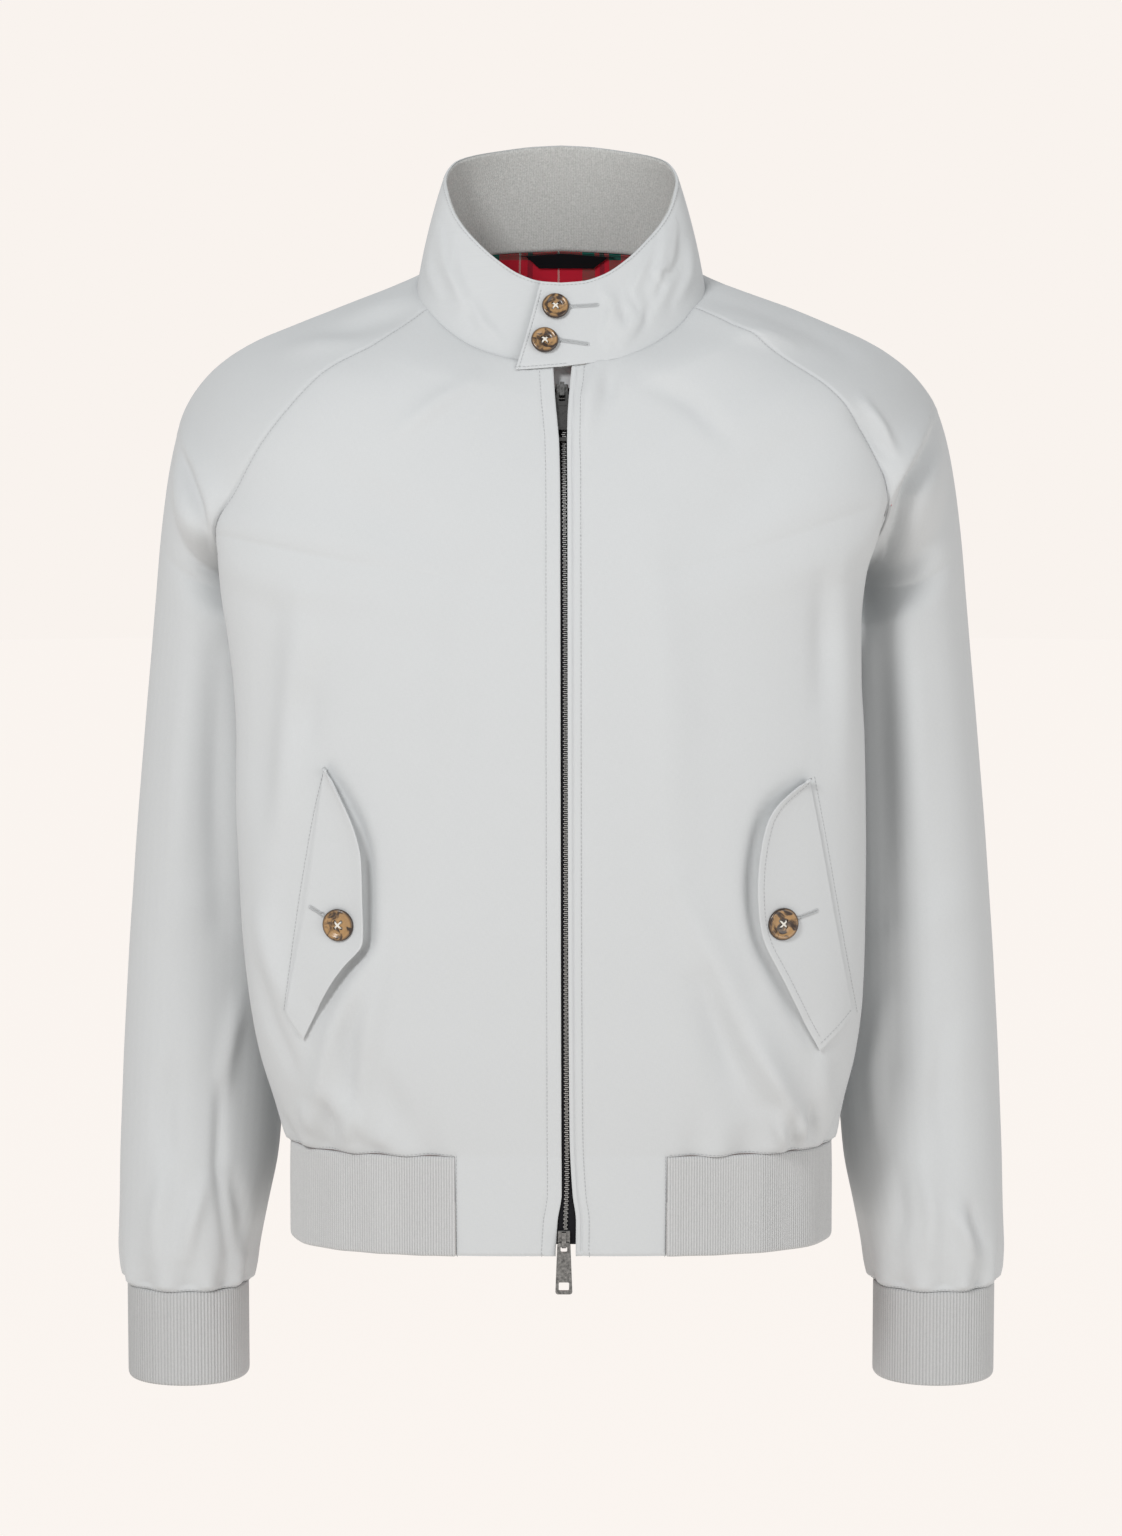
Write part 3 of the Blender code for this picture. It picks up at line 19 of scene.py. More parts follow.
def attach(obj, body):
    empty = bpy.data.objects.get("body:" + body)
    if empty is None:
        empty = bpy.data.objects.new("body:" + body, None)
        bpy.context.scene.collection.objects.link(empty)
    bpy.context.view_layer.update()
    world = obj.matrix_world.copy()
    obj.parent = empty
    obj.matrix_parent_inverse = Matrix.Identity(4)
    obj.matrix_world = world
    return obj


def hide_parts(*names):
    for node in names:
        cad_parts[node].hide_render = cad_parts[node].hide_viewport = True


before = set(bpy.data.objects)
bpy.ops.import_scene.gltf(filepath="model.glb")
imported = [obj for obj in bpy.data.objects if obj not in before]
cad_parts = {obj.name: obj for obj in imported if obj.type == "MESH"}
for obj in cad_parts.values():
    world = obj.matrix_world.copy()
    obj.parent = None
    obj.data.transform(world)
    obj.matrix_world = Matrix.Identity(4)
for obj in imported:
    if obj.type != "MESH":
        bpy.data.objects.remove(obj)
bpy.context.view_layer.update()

bl_info = {
    "name": "Harrington jacket",
    "version": (1, 0, 0),
    "blender": (4, 5, 0),
    "location": "3D View > Sidebar > Jacket",
    "description": "Builds a zipped jacket with rib-knit collar facing, cuffs and hem",
    "category": "Add Mesh",
}

MM = 0.001
BODY = "jacket"

# ---------------------------------------------------------------- sizes of the pattern

SIDES = {"right": -1.0, "left": 1.0}  # the wearer's right lies at -X
SHELL = 1.6  # the outer cloth with its lining
LIFT = 0.4  # space between a panel and what lies on it
NECK_WIDTH = 187.0
NECK_MIDDLE_Y = -5.0
NECK_FRONT = 70.0  # from the middle of the neck to the seam of the collar
NECK_BACK = 73.0
COLLAR_TOP_WIDTH = 153.0
COLLAR_TOP_MIDDLE_Y = 8.0
COLLAR_TOP_FRONT = 58.0
COLLAR_TOP_BACK = 62.0
COLLAR_HEIGHT = 62.0  # along its cloth at the front
COLLAR_BULGE = 1.5
COLLAR_DEGREE = 1.4  # about one degree round the collar, along its cloth
COLLAR_LAP = 1.9  # half the step between the two lapped ends
COLLAR_CLOTH = 1.3
COLLAR_FACING = 1.2  # the knit inside the collar
COLLAR_FACING_GAP = 0.15
COLLAR_RELIEF = 0.16
BUTTON_COLLAR = 17.4
BUTTON_POCKET = 20.8
BUTTON_THICKNESS = 3.0
BUTTON_LATHE = 56  # steps round a button
HEM_HEIGHT = 65.0
HEM_TURN = 2.5  # how far the plain cloth turns in towards its foot
HEM_KNIT = 1.9
HEM_RELIEF = 0.6
HEM_SWAY = 0.5  # how far the knit hem waves in and out below its seam
HEM_SWAY_START = 20.0  # below the seam, where it has its full sway
HEM_SWAY_PITCH = 34.0
HEM_SWAY_SEED = 0.6
HEM_PANEL_HALF = 68.0  # the plain cloth between the two ends of the knit hem reaches this far out
CUFF_HEIGHT = 64.0
CUFF_KNIT = 1.9
CUFF_RELIEF = 0.6
CUFF_MIDDLE = (252.5, 38.0)  # out and y
CUFF_SEAM_Z = -673.0
RIB_FULLNESS = 0.7  # the power of the wave that rounds a rib: the smaller, the broader its top
COLLAR_RIB_FULLNESS = 0.75
FLAP_LENGTH = 190.0  # about, as it is sampled
FLAP_WIDTH = 40.0
FLAP_CLOTH = 1.4
FLAP_PUFF = 0.7  # how far a flap stands off between its sewn edge and its button
LINING = 0.8
LINING_ROWS = 5  # rows of the back that the lining inside the neck covers
LABEL_TOP = (-27.5, 37.0, 19.5)  # left and right end, and height, of the bare label inside the neck
LABEL_FOOT = (-14.8, 22.0, 8.2)
LABEL_CLOTH = 0.6
TAPE_CLOTH = 0.8
TAPE_GAP = 0.02  # from the middle line of the zip to either tape
TAPE_DEPTH = 2.1  # from the face of the cloth in to the tape
TAPE_SUNK = 5.9  # how much deeper it lies at the neck, where the upper pull hides under the edges
TAPE_REACH = 13.0  # how far a tape lies behind its front, along the cloth
TAPE_TOP = -63.0
TAPE_FOOT = -617.0
TEETH_TOP = -83.0
TEETH_FOOT = -605.0
TEETH_DEPTH = 0.7  # how far the chain stands off the tapes
TEETH_SHIFT = 0.9  # how far it has slipped to the left front
FACING_TOP = -46.0
FACING_FOOT = -74.0
FACING_ENDS = (-9, 10)  # how far the scrap of inner facing reaches to either side


def table(names, *rows):
    """A small table: its columns by name."""
    return dict(zip(names.split(), np.array(rows, float).T))


# The angle runs from the middle of the front, 0, past the side, 90, to the middle of the back, 180.
NECK_SEAM = table(
    "angle z",
    (0, -55), (18, -51), (35, -44), (50, -33), (67, -18.5),
    (90, -5), (106, 4), (130, 13), (155, 19), (180, 21),
)
COLLAR_EDGE = table(
    "angle z",
    (0, -3), (10, -2), (20, 2), (32, 11), (46, 24), (64, 41), (78, 56),
    (90, 64), (101, 70), (114, 76.5), (128, 80.5), (148, 84.5), (166, 87.5), (180, 88.5),
)
FRONT_SEAM_ANGLE = 67.0  # where the raglan seams and the line over the arm leave the neck
OVERARM_ANGLE = 103.0
BACK_SEAM_ANGLE = 146.0

# Rows 0 to 8 run down the raglan seam to the underarm, and rows 8 to 18 down the side seam.
UNDERARM = 8
HEM_ROW = 18
TURN_ROW = 6  # from here down the front turns at its side edge
UNDERARM_POINT = (175.0, 38.0, -195.0)
RAGLAN = {
    "right": table(
        "row out y z",
        (1, 120.6, -58, -42), (2, 150.5, -66, -58), (3, 176.7, -72, -84.5), (4, 193.5, -74, -107),
        (5, 208, -70, -134), (6, 221.5, -58, -163), (7, 206, -12, -187),
    ),
    "left": table(
        "row out y z",
        (1, 117, -57, -34.5), (2, 147, -65, -53), (3, 170, -71, -68), (4, 187, -74, -86),
        (5, 199, -73, -108), (6, 208, -62, -142), (7, 198, -14, -180),
    ),
}
BACK_RAGLAN = table(
    "row out y z",
    (1, 78, 74, -14), (2, 106, 92, -44), (3, 132, 104, -76), (4, 154, 108, -107),
    (5, 171, 105, -137), (6, 184, 92, -163), (7, 187, 66, -183),
)
FRONT_MIDDLE = table(
    "row y z",
    (0, -75, -55), (1, -88, -75), (2, -99, -98), (3, -109, -122), (4, -117, -147), (5, -123, -172),
    (6, -127, -194), (7, -130, -213), (8, -132, -232), (9, -134, -256), (10, -135, -286),
    (11, -135.5, -320), (12, -135, -358), (13, -134, -396), (14, -132, -434), (15, -129, -470),
    (16, -126, -504), (17, -122.5, -534), (18, -119.5, -558),
)
SIDE_EDGE = {
    "right": table(
        "row out y z",
        (7, 220.5, -57, -184), (8, 219, -55, -203), (9, 215, -55, -230), (10, 211.5, -55, -260),
        (11, 210, -55, -295), (12, 210.5, -55, -335), (13, 209, -55, -378), (14, 207, -55, -420),
        (15, 203, -54, -462), (16, 197, -50, -500), (17, 187, -40, -536), (18, 178.5, -25, -563),
    ),
    "left": table(
        "row out y z",
        (7, 203, -60, -166), (8, 196.5, -57, -190), (9, 193.5, -55, -222), (10, 193.8, -55, -256),
        (11, 196, -55, -293), (12, 197.3, -55, -335), (13, 197.8, -55, -378), (14, 197.6, -55, -420),
        (15, 196.5, -54, -462), (16, 192.5, -50, -500), (17, 184.5, -40, -536), (18, 178.5, -25, -563),
    ),
}
SIDE_SEAM = table(
    "row out y z",
    (8, *UNDERARM_POINT), (9, 168, 40, -226), (10, 163, 42, -258), (11, 160, 43, -294),
    (12, 158, 44, -335), (13, 157, 44, -378), (14, 158, 45, -420), (15, 160, 46, -462),
    (16, 163, 48, -500), (17, 166, 50, -537), (18, 169, 51, -566),
)
BACK_MIDDLE = table(
    "row y z",
    (0, 68, 21), (1, 86, -8), (2, 101, -40), (3, 112, -75), (4, 119, -110), (5, 123, -145),
    (6, 125, -178), (7, 125, -208), (8, 124, -235), (9, 122.5, -262), (10, 121, -290),
    (11, 119, -322), (12, 117, -358), (13, 115, -396), (14, 113.5, -434), (15, 112.5, -470),
    (16, 112, -504), (17, 111, -538), (18, 107, -569),
)
# How far the curve of a row reaches from its two ends, and the direction in which it arrives at the edge.
FRONT_REACH = table(
    "row middle edge out y z",
    (0, 40, 45, .30, .86, .42), (1, 45, 45, .55, .75, .35), (2, 55, 48, .65, .70, .28),
    (3, 62, 52, .72, .65, .22), (4, 72, 52, .74, .64, .18), (5, 82, 52, .62, .77, .10),
    (6, 95, 50, .22, .97, 0), (7, 100, 50, 0, 1, 0), (8, 104, 48, 0, 1, 0), (18, 100, 60, 0, 1, 0),
)
BACK_REACH = table(
    "row middle edge out y z",
    (0, 22, 18, .75, -.65, -.1), (1, 35, 25, .60, -.78, .1), (2, 50, 32, .78, -.62, .02),
    (3, 65, 40, .86, -.50, 0), (4, 78, 45, .88, -.47, 0), (5, 88, 48, .84, -.54, 0),
    (6, 95, 52, .65, -.76, 0), (7, 98, 60, .33, -.94, 0), (8, 98, 72, .1, -.99, 0),
    (9, 97, 73, 0, -1, 0), (12, 93, 60, 0, -1, 0), (18, 88, 40, 0, -1, 0),
)
SIDE_TURN_FRONT = 20.0  # how the front turns from its side edge to the side seam
SIDE_TURN_BACK = 58.0

# The sleeves: rows 0 to 8 share the raglan seams, and row 23 is the seam of the cuff.
CUFF_ROW = 23
OVERARM = table(
    "row out y z",
    (1, 137, 10, -15), (2, 172, 11, -28.5), (3, 200, 14, -40), (4, 221, 20, -52.5),
    (5, 237, 30, -67), (6, 250, 38, -87), (7, 259, 45, -118), (8, 266, 49, -165),
    (9, 270.5, 51, -212), (10, 274, 52, -250), (11, 277.5, 52, -286), (12, 281, 51, -325),
    (13, 284.5, 50, -365), (14, 287.5, 49, -405), (15, 290.5, 48, -445), (16, 293, 47, -485),
    (17, 295, 46, -520), (18, 296.5, 45, -553), (19, 297.8, 43, -586), (20, 298.5, 42, -618),
    (21, 299, 41, -645), (22, 297.5, 40, -661), (23, 293.5, 38, -673),
)
INSEAM = table(
    "row out y z",
    (8, *UNDERARM_POINT), (9, 176, 42, -226), (10, 177, 45, -260), (11, 178.5, 46, -295),
    (12, 180, 47, -332), (13, 181, 47, -370), (14, 182, 47, -408), (15, 183, 47, -446),
    (16, 184, 46, -486), (17, 185.5, 45, -520), (18, 188, 44, -553), (19, 191, 43, -586),
    (20, 197.5, 42, -618), (21, 203.5, 41, -645), (22, 207, 40, -661), (23, 211.5, 38, -673),
)
# The same for the sleeves: "over" and "fall" at the line over the arm, the others at the inner seam.
SLEEVE_REACH = {
    "front": table(
        "row over fall seam out y z",
        (0, 12, 0, 12, .2, .9, .3), (1, 22, -.25, 22, .55, .75, .35), (2, 26, -.3, 26, .65, .70, .28),
        (3, 32, -.35, 30, .72, .65, .22), (4, 38, -.4, 32, .76, .60, .20),
        (5, 44, -.45, 36, .86, .45, .20), (6, 52, -.45, 42, .98, -.15, .05),
        (7, 74, -.4, 50, .80, -.60, -.20), (8, 104, -.25, 78, .42, -.90, -.25),
        (9, 112, -.08, 94, 0, -1, -.08), (10, 112, 0, 92, 0, -1, 0), (12, 106, 0, 88, 0, -1, 0),
        (14, 98, 0, 82, 0, -1, 0), (16, 90, 0, 78, 0, -1, 0), (18, 83, 0, 74, 0, -1, 0),
        (20, 75, 0, 70, 0, -1, 0), (22, 62, 0, 62, 0, -1, 0), (23, 56, 0, 56, 0, -1, 0),
    ),
    "back": table(
        "row over fall seam out y z",
        (0, 12, 0, 12, .3, -.9, -.2), (1, 22, -.25, 25, .60, -.78, .1), (2, 28, -.3, 30, .78, -.62, .02),
        (3, 34, -.35, 34, .86, -.50, 0), (4, 40, -.4, 38, .88, -.47, 0), (5, 48, -.4, 42, .92, -.38, 0),
        (6, 58, -.35, 48, .97, .2, 0), (7, 78, -.3, 52, .80, .60, -.2), (8, 92, -.2, 74, .38, .92, -.25),
        (9, 97, -.05, 89, 0, 1, -.05), (10, 97, 0, 90, 0, 1, 0), (12, 93, 0, 88, 0, 1, 0),
        (14, 87, 0, 82, 0, 1, 0), (16, 80, 0, 77, 0, 1, 0), (18, 74, 0, 70, 0, 1, 0),
        (20, 68, 0, 66, 0, 1, 0), (22, 60, 0, 60, 0, 1, 0), (23, 56, 0, 56, 0, 1, 0),
    ),
}
# The edge of each front along the zip, as a distance towards the wearer's left.
ZIP_EDGE = table(
    "z right left",
    (-55, -5.0, 6.9), (-75, -3.7, 4.9), (-90, -2.3, 4.0), (-105, -1.1, 3.8), (-138, -.5, 4.0),
    (-300, -.3, 4.2), (-540, .2, 5.4), (-582, .4, 7.4), (-600, -2.2, 9.6), (-619.5, -3.4, 9.4),
)
ZIP_MIDDLE = table(
    "z x", (-55, .6), (-100, .9), (-200, 1.6), (-500, 2.4), (-570, 2.9), (-605, 1.9), (-640, 1.7)
)
# The pocket flaps, as points on the front seen straight on: the sewn edge, then the free edge.
FLAP_SEWN = {
    "right": table("x z", (-149.5, -309), (-157, -339), (-163, -373), (-167, -396), (-177, -466)),
    "left": table("x z", (157, -317), (164, -352), (171, -390), (178, -428), (187, -472)),
}
FLAP_FREE = {
    "right": table(
        "x z",
        (-149, -309), (-132.5, -337), (-126, -356), (-124.2, -368), (-124, -415), (-124.4, -419.5),
        (-126.5, -424), (-139, -437), (-151, -456), (-164.5, -485),
    ),
    "left": table(
        "x z",
        (156.5, -317), (142.5, -325), (131, -335.5), (125, -353), (122, -381), (123.5, -403),
        (128, -422), (137.5, -439), (151, -466), (165.5, -493),
    ),
}
POCKET_BUTTONS = {"right": (-141.0, -408.5), "left": (140.5, -408.0)}
COLLAR_BUTTONS = {"upper": (-3.6, -18.5), "lower": (-10.4, -40.0)}
# The buttonholes, by the piece that carries them: the eye beside the button, then the far end.
BUTTONHOLES = {
    "collar_outer": (((6.0, -18.3), (23.3, -17.3)), ((-0.8, -39.5), (17.1, -42.1))),
    "flap_right": (((-151.5, -402.5), (-159.5, -398)),),
    "flap_left": (((151.5, -404.5), (163.1, -401)),),
}
TAB_ANGLE = -16.8  # where the left end's tab stops at its foot, past the middle of the front
TAB_SLANT = 7.0  # and how much sooner its top stops
TAB_STAND = 5.6  # how far the foot of the tab stands off the front beneath it
TAB_DROP = 5.5  # and how far it reaches below the neck seam
UNDERLAP_ANGLE = 371.0
RIB_ANGLES = (7.0, 366.0)  # the two ends of the knit inside the collar

# Folds: a line through points across the front or the back of a piece, seen straight on, with the
# width of the fold on either side of the line and how far it stands out or, below zero, lies in.
FOLDS = {
    "body front": [
        (15, 15, 4, (-196, -330), (-186, -480)), (14, 14, -2, (-168, -300), (-160, -250)),
        (11, 11, 3.5, (-150, -520), (-118, -545)), (9, 9, 3.5, (-128, -540), (-112, -556)),
        (16, 16, -3, (92, -450), (118, -540)), (14, 14, 3.5, (124, -470), (150, -540)),
        (8, 8, 4, (146, -530), (152, -556)), (9, 9, 3, (168, -500), (172, -552)),
        (13, 13, -2.5, (-120, -500), (-96, -552)), (22, 22, -2.5, (80, -170), (150, -110)),
        (22, 22, -2.5, (-80, -170), (-150, -120)),
        (14, 14, 1.8, (-164, -200), (-169, -265), (-185, -366)),
        (12, 16, -1.6, (-183, -215), (-189, -302), (-194, -392)),
        (16, 12, 1.8, (178, -190), (179, -233), (181, -315)),
        (10, 10, -1.2, (167, -190), (167, -265)),
        (8, 8, 1.6, (-189, -411), (-181, -443), (-175, -462)),
        (6, 6, -1.4, (-192, -443), (-185, -475), (-172, -507)),
        (7, 7, 1.8, (-121, -427), (-147, -481), (-160, -533)),
        (9, 6, -1.8, (-134, -465), (-137, -504), (-137, -539)),
        (10, 12, 1.6, (-112, -411), (-117, -449), (-130, -520)),
        (6, 6, 1.8, (-166, -532), (-160, -551)), (5, 5, -1.6, (-152, -528), (-147, -551)),
        (5, 5, 1.6, (-137, -533), (-136, -552)), (6, 6, -1.4, (-122, -536), (-120, -553)),
        (14, 10, 1.8, (72, -382), (104, -443), (126, -507), (142, -530)),
        (12, 12, -1.4, (88, -446), (111, -494), (127, -526)),
        (9, 7, 1.6, (121, -484), (136, -510), (147, -530)),
        (4.5, 4.5, 2, (136, -533), (143, -559)), (4.5, 3.5, -1.8, (146, -532), (150, -559)),
        (4.5, 4.5, 1.8, (154, -534), (156, -557)), (4, 4, -1.4, (162, -533), (162, -556)),
        (18, 18, -1.2, (-57, -176), (-67, -302), (-83, -392)),
        (20, 20, 1.2, (56, -151), (69, -265), (70, -366)),
        (9, 9, 1.6, (24, -56), (18, -76), (15, -101)), (7, 7, -1.2, (32, -60), (28, -78)),
    ],
    "body back": [
        (22, 22, 4, (-150, -200), (-110, -330)), (22, 22, 4, (150, -200), (112, -340)),
        (16, 16, 4, (-60, -420), (-70, -556)), (15, 15, 4, (-10, -450), (-4, -556)),
        (16, 16, 4, (52, -430), (60, -556)), (14, 14, 4, (-120, -450), (-124, -556)),
        (14, 14, 4, (116, -440), (122, -556)),
        (12, 9, 2, (-128, -230), (-84, -330), (-60, -380)), (10, 12, -1.8, (132, -250), (96, -360)),
        (16, 14, -1.6, (-22, -150), (-34, -290), (-30, -380)), (15, 18, 1.4, (40, -120), (48, -260)),
        (7, 6, 1.8, (-92, -500), (-96, -560)), (6, 6, -1.6, (-42, -512), (-38, -560)),
        (6, 7, 1.8, (24, -505), (28, -562)), (7, 6, -1.6, (88, -510), (92, -560)),
    ],
    "sleeve front": [
        (17, 17, 5.5, (-212, -252), (-210, -300), (-208, -380), (-203, -480)),
        (15, 15, -0.5, (-238, -120), (-214, -190)), (15, 15, -3, (238, -112), (206, -176)),
        (18, 18, 0.6, (-272, -430), (-226, -400)), (18, 18, 0.5, (-276, -520), (-226, -500)),
        (18, 18, 0.6, (272, -400), (220, -440)), (18, 18, 0.5, (278, -500), (226, -530)),
        (14, 14, 1.6, (221, -200), (229, -271), (236, -375)),
        (12, 16, -1.8, (206, -219), (209, -310), (214, -414)),
        (14, 14, 1.4, (-239, -219), (-248, -310), (-253, -401)),
        (10, 10, -1.2, (-223, -245), (-226, -336), (-225, -421)),
        (7, 7, 1.6, (-214, -474), (-221, -513), (-223, -533)),
        (5, 5, -1.6, (-226, -533), (-228, -586), (-222, -649)),
        (7, 7, 1.8, (-237, -596), (-246, -626), (-250, -647)),
        (6, 6, -1.6, (-219, -593), (-213, -619), (-212, -647)),
        (8, 8, 1.4, (-262, -586), (-269, -619), (-271, -647)),
        (9, 9, -1.4, (-255, -507), (-262, -553), (-259, -593)),
        (7, 7, 1.8, (262, -616), (271, -636), (275, -647)),
        (5, 5, -1.7, (273, -614), (278, -633), (281, -647)),
        (8, 8, 1.5, (241, -586), (247, -619), (246, -647)),
        (7, 7, -1.4, (225, -593), (227, -623), (223, -647)),
        (10, 8, 1.5, (214, -474), (208, -520), (211, -573)),
        (10, 10, -1.3, (253, -487), (250, -540), (258, -586)),
    ],
    "sleeve back": [
        (18, 18, 4, (-210, -180), (-262, -260)), (18, 18, 4, (210, -180), (262, -260)),
        (18, 18, 3.5, (-216, -400), (-276, -430)), (18, 18, 3.5, (216, -410), (276, -440)),
        (12, 9, 1.8, (-212, -320), (-262, -350)), (9, 10, -1.8, (-218, -350), (-268, -372)),
        (12, 9, 1.8, (214, -330), (268, -356)), (9, 10, -1.8, (218, -362), (270, -384)),
        (8, 8, 1.6, (-230, -560), (-242, -610), (-240, -650)), (7, 8, -1.5, (-262, -570), (-258, -640)),
        (8, 7, 1.6, (236, -570), (246, -650)), (7, 7, -1.5, (262, -580), (264, -645)),
    ],
    "shell front": [
        (7, 7, 1.4, (-177, -46), (-154, -42), (-134, -41)),
        (8, 8, -1.3, (-148, -34), (-122, -28), (-100, -23)),
        (8, 8, 1.3, (-141, -26), (-116, -18), (-104, -14)),
        (10, 10, 1.4, (89, -23), (111, -26), (143, -36), (169, -47)),
        (7, 7, -1.4, (104, -16), (121, -19), (153, -31), (185, -47)),
        (9, 9, 1.5, (108, -10), (146, -22), (204, -52)),
        (5, 5, 1.4, (111, -36), (127, -38), (147, -43)),
        (6, 6, -1.3, (185, -85), (196, -97), (207, -113)),
        (5, 4, 1.5, (193, -78), (205, -96), (212, -111)),
        (4, 15, 4.5, (239, -94), (228, -113), (217, -128), (211, -146), (207, -168)),
        (14, 4, -4.6, (244, -97), (233, -116), (222, -131), (216, -149), (212, -170)),
        (15, 4, 3, (-247, -104), (-236, -121), (-227, -142), (-222, -166)),
        (4, 14, -2.6, (-252, -107), (-241, -124), (-232, -145), (-227, -169)),
        (8, 8, 1.4, (-57, -66), (-76, -77), (-102, -96)),
        (9, 9, -1.2, (50, -64), (81, -77), (107, -102)),
    ],
    "shell back": [
        (9, 7, 1.6, (-96, -22), (-124, -52), (-150, -96)), (7, 9, -1.4, (-104, -16), (-140, -50)),
        (9, 7, 1.6, (92, -20), (122, -50), (146, -92)), (7, 9, -1.4, (110, -18), (146, -52)),
        (9, 6, 2.4, (214, -96), (196, -130), (184, -168)),
        (6, 9, 2.4, (-212, -98), (-196, -132), (-184, -170)),
    ],
    "collar front": [
        (3, 9, 1.5, (-78, 32), (-74, 12), (-66, -6), (-62, -20)),
        (3, 6, 1.2, (-70, 26), (-68, 8), (-60, -14)),
        (4, 6, 1.05, (-57, -14), (-50, -28), (-40, -38)), (5, 5, 0.9, (-86, 20), (-84, 2), (-78, -12)),
        (7, 3, 1.35, (26, -8), (32, -17), (30, -27), (27, -36)),
        (3, 6, 0.98, (36, -22), (38, -32), (33, -42)),
        (6, 3, 1.27, (41, -12), (45, -24), (38, -40)), (3, 6, 0.9, (52, -16), (50, -28), (44, -38)),
        (7, 3, 1.5, (60, 22), (52, 8), (46, -6), (48, -14)), (3, 7, 1.12, (56, 0), (62, 6), (58, -16)),
        (6, 3, 1.42, (67, 31), (64, 17), (61, 4), (64, -2)), (3, 7, 1.2, (74, 34), (71, 14), (66, 0)),
        (8, 3, 1.35, (74, 4), (66, -8), (58, -24)), (6, 4, 1.12, (84, 22), (82, 2), (74, -16)),
        (1.2, 0.7, -0.34, (-50, 13), (-36, 5), (-16, -7)),
    ],
    "collar back": [
        (6, 6, 0.5, (-40, 20), (-36, 60)), (6, 6, 0.5, (30, 22), (26, 64)), (7, 7, 0.4, (-4, 22), (0, 60)),
    ],
}
# Where the shoulders lap over the arms: depth, width, how the ends ease in and out, and the crease.
ARMPITS = {
    "left": (10, 15, 0.3, 0.3, (246, -88), (236, -100), (225, -116), (214, -134), (208, -150), (204, -168),
             (198, -192), (195, -222), (195, -250)),
    "right": (3.5, 9, 0.3, 0.5, (-251, -100), (-242, -112), (-233, -130), (-227, -148), (-223, -166),
              (-221, -176)),
}
MAIN_FOLD = 2.0  # folds higher than this are those of the solids
FOLD_GAIN = (2.4, 1.2)  # of the finer folds and of the main ones
FOLD_SHARPNESS = 0.8  # how much narrower they all are
FOLD_END = 0.35  # the share of its height that a fold keeps at its two ends
FOLD_SEAM_MARGIN = 22.0  # they fade out within this distance of the raglan seams
ARMPIT_SEAM_MARGIN = 10.0  # and so do the hollows at the armpits
CUFF_GATHERS = 10
CUFF_GATHER_HEIGHT = 3.8
CUFF_GATHER_LENGTH = 20.0
CUFF_GATHER_REACH = 90.0
HEM_GATHER_PITCH = 31.0
HEM_GATHER_HEIGHT = 3.4
HEM_GATHER_LENGTH = 17.0
HEM_SEAM_Z = -563.0  # at the sides
GATHER_START = 4.0  # above a seam, where a gather has its full height
GATHER_ROUND = 150.0  # a mean radius, which turns an angle round the body into a length

# How closely the cloth is sampled, and the closer places beside its edges in millimetres.
ROW_STEPS = 8
FINE_ROWS = (4.5, 9.0)  # the rows at the armpits, sampled twice as closely
FRONT_COLUMNS = 96
SIDE_COLUMNS = 24
BACK_COLUMNS = 48
SLEEVE_COLUMNS = {"front": 84, "back": 34}
COLLAR_COLUMNS = 330
COLLAR_ROWS = 26
FLAP_ROWS = 84
FLAP_COLUMNS = 24
LABEL_ROWS = 9
LABEL_COLUMNS = 41
RIB_COLUMNS = 4  # columns of points for each rib
EDGE_PLACES = (0.5, 1.1, 1.7, 2.3, 3.2, 4.5)
PLACKET_PLACES = (0.5, 1.1, 1.8, 2.6, 3.0, 3.4, 3.8, 4.4, 5.5, 7.0, 8.0, 8.6, 9.2, 9.8, 10.6, 12.0)
SEAM_DIP = 0.95  # how far a panel sinks into its seams
SEAM_DIP_WIDTH = 1.25
EDGE_DIP_WIDTH = 0.5  # how far in a free edge is rounded off
STITCH_DIP = 0.42  # how far the cloth is drawn in along a row of stitches
STITCH_DIP_WIDTH = 0.7
PLACKET_STITCH = 9.2  # from the zip edge to the row of stitches beside it
PLACKET_LIP = 3.4  # and, on the left front, to the crease of its narrow lip
SEAM_STITCH = 1.3  # from a seam to the stitches beside it
RAGLAN_STITCH = 1.4
STITCH_LIFT = 0.12  # how proud of the cloth a stitch lies
COLLAR_TUCK = 0.022  # how far the collar reaches past the neck seam, as a share of its height
COLLAR_STITCH = 2.0  # from the collar's edges to their stitches
FLAP_STITCH = 4.6  # from a flap's free edge in
HINGE_STITCH = {"right": 0.5, "left": 4.4}  # from a flap's sewn edge out
HINGE_SINK = {"right": 1.7, "left": 0.0}  # how deep that edge is let in
FLAP_HOLLOW = 4.5  # how deep a front gives way under a flap's free edge
FLAP_HOLLOW_WIDTH = 4.2
FLAP_HOLLOW_AT = 1.5  # how far inward of that edge it is deepest
FLAP_STAND = 6.0  # how far the free edge of a flap stands off
FLAP_HELD = 12.0  # how far round its button a flap is held down

# What is built and is needed again later on.
PANELS = {}
UNDER_FLAPS = {}  # the fronts before they give way under the flaps
STITCH_LINES = []
HOLE_LINES = []


# ---------------------------------------------------------------- curves and tables


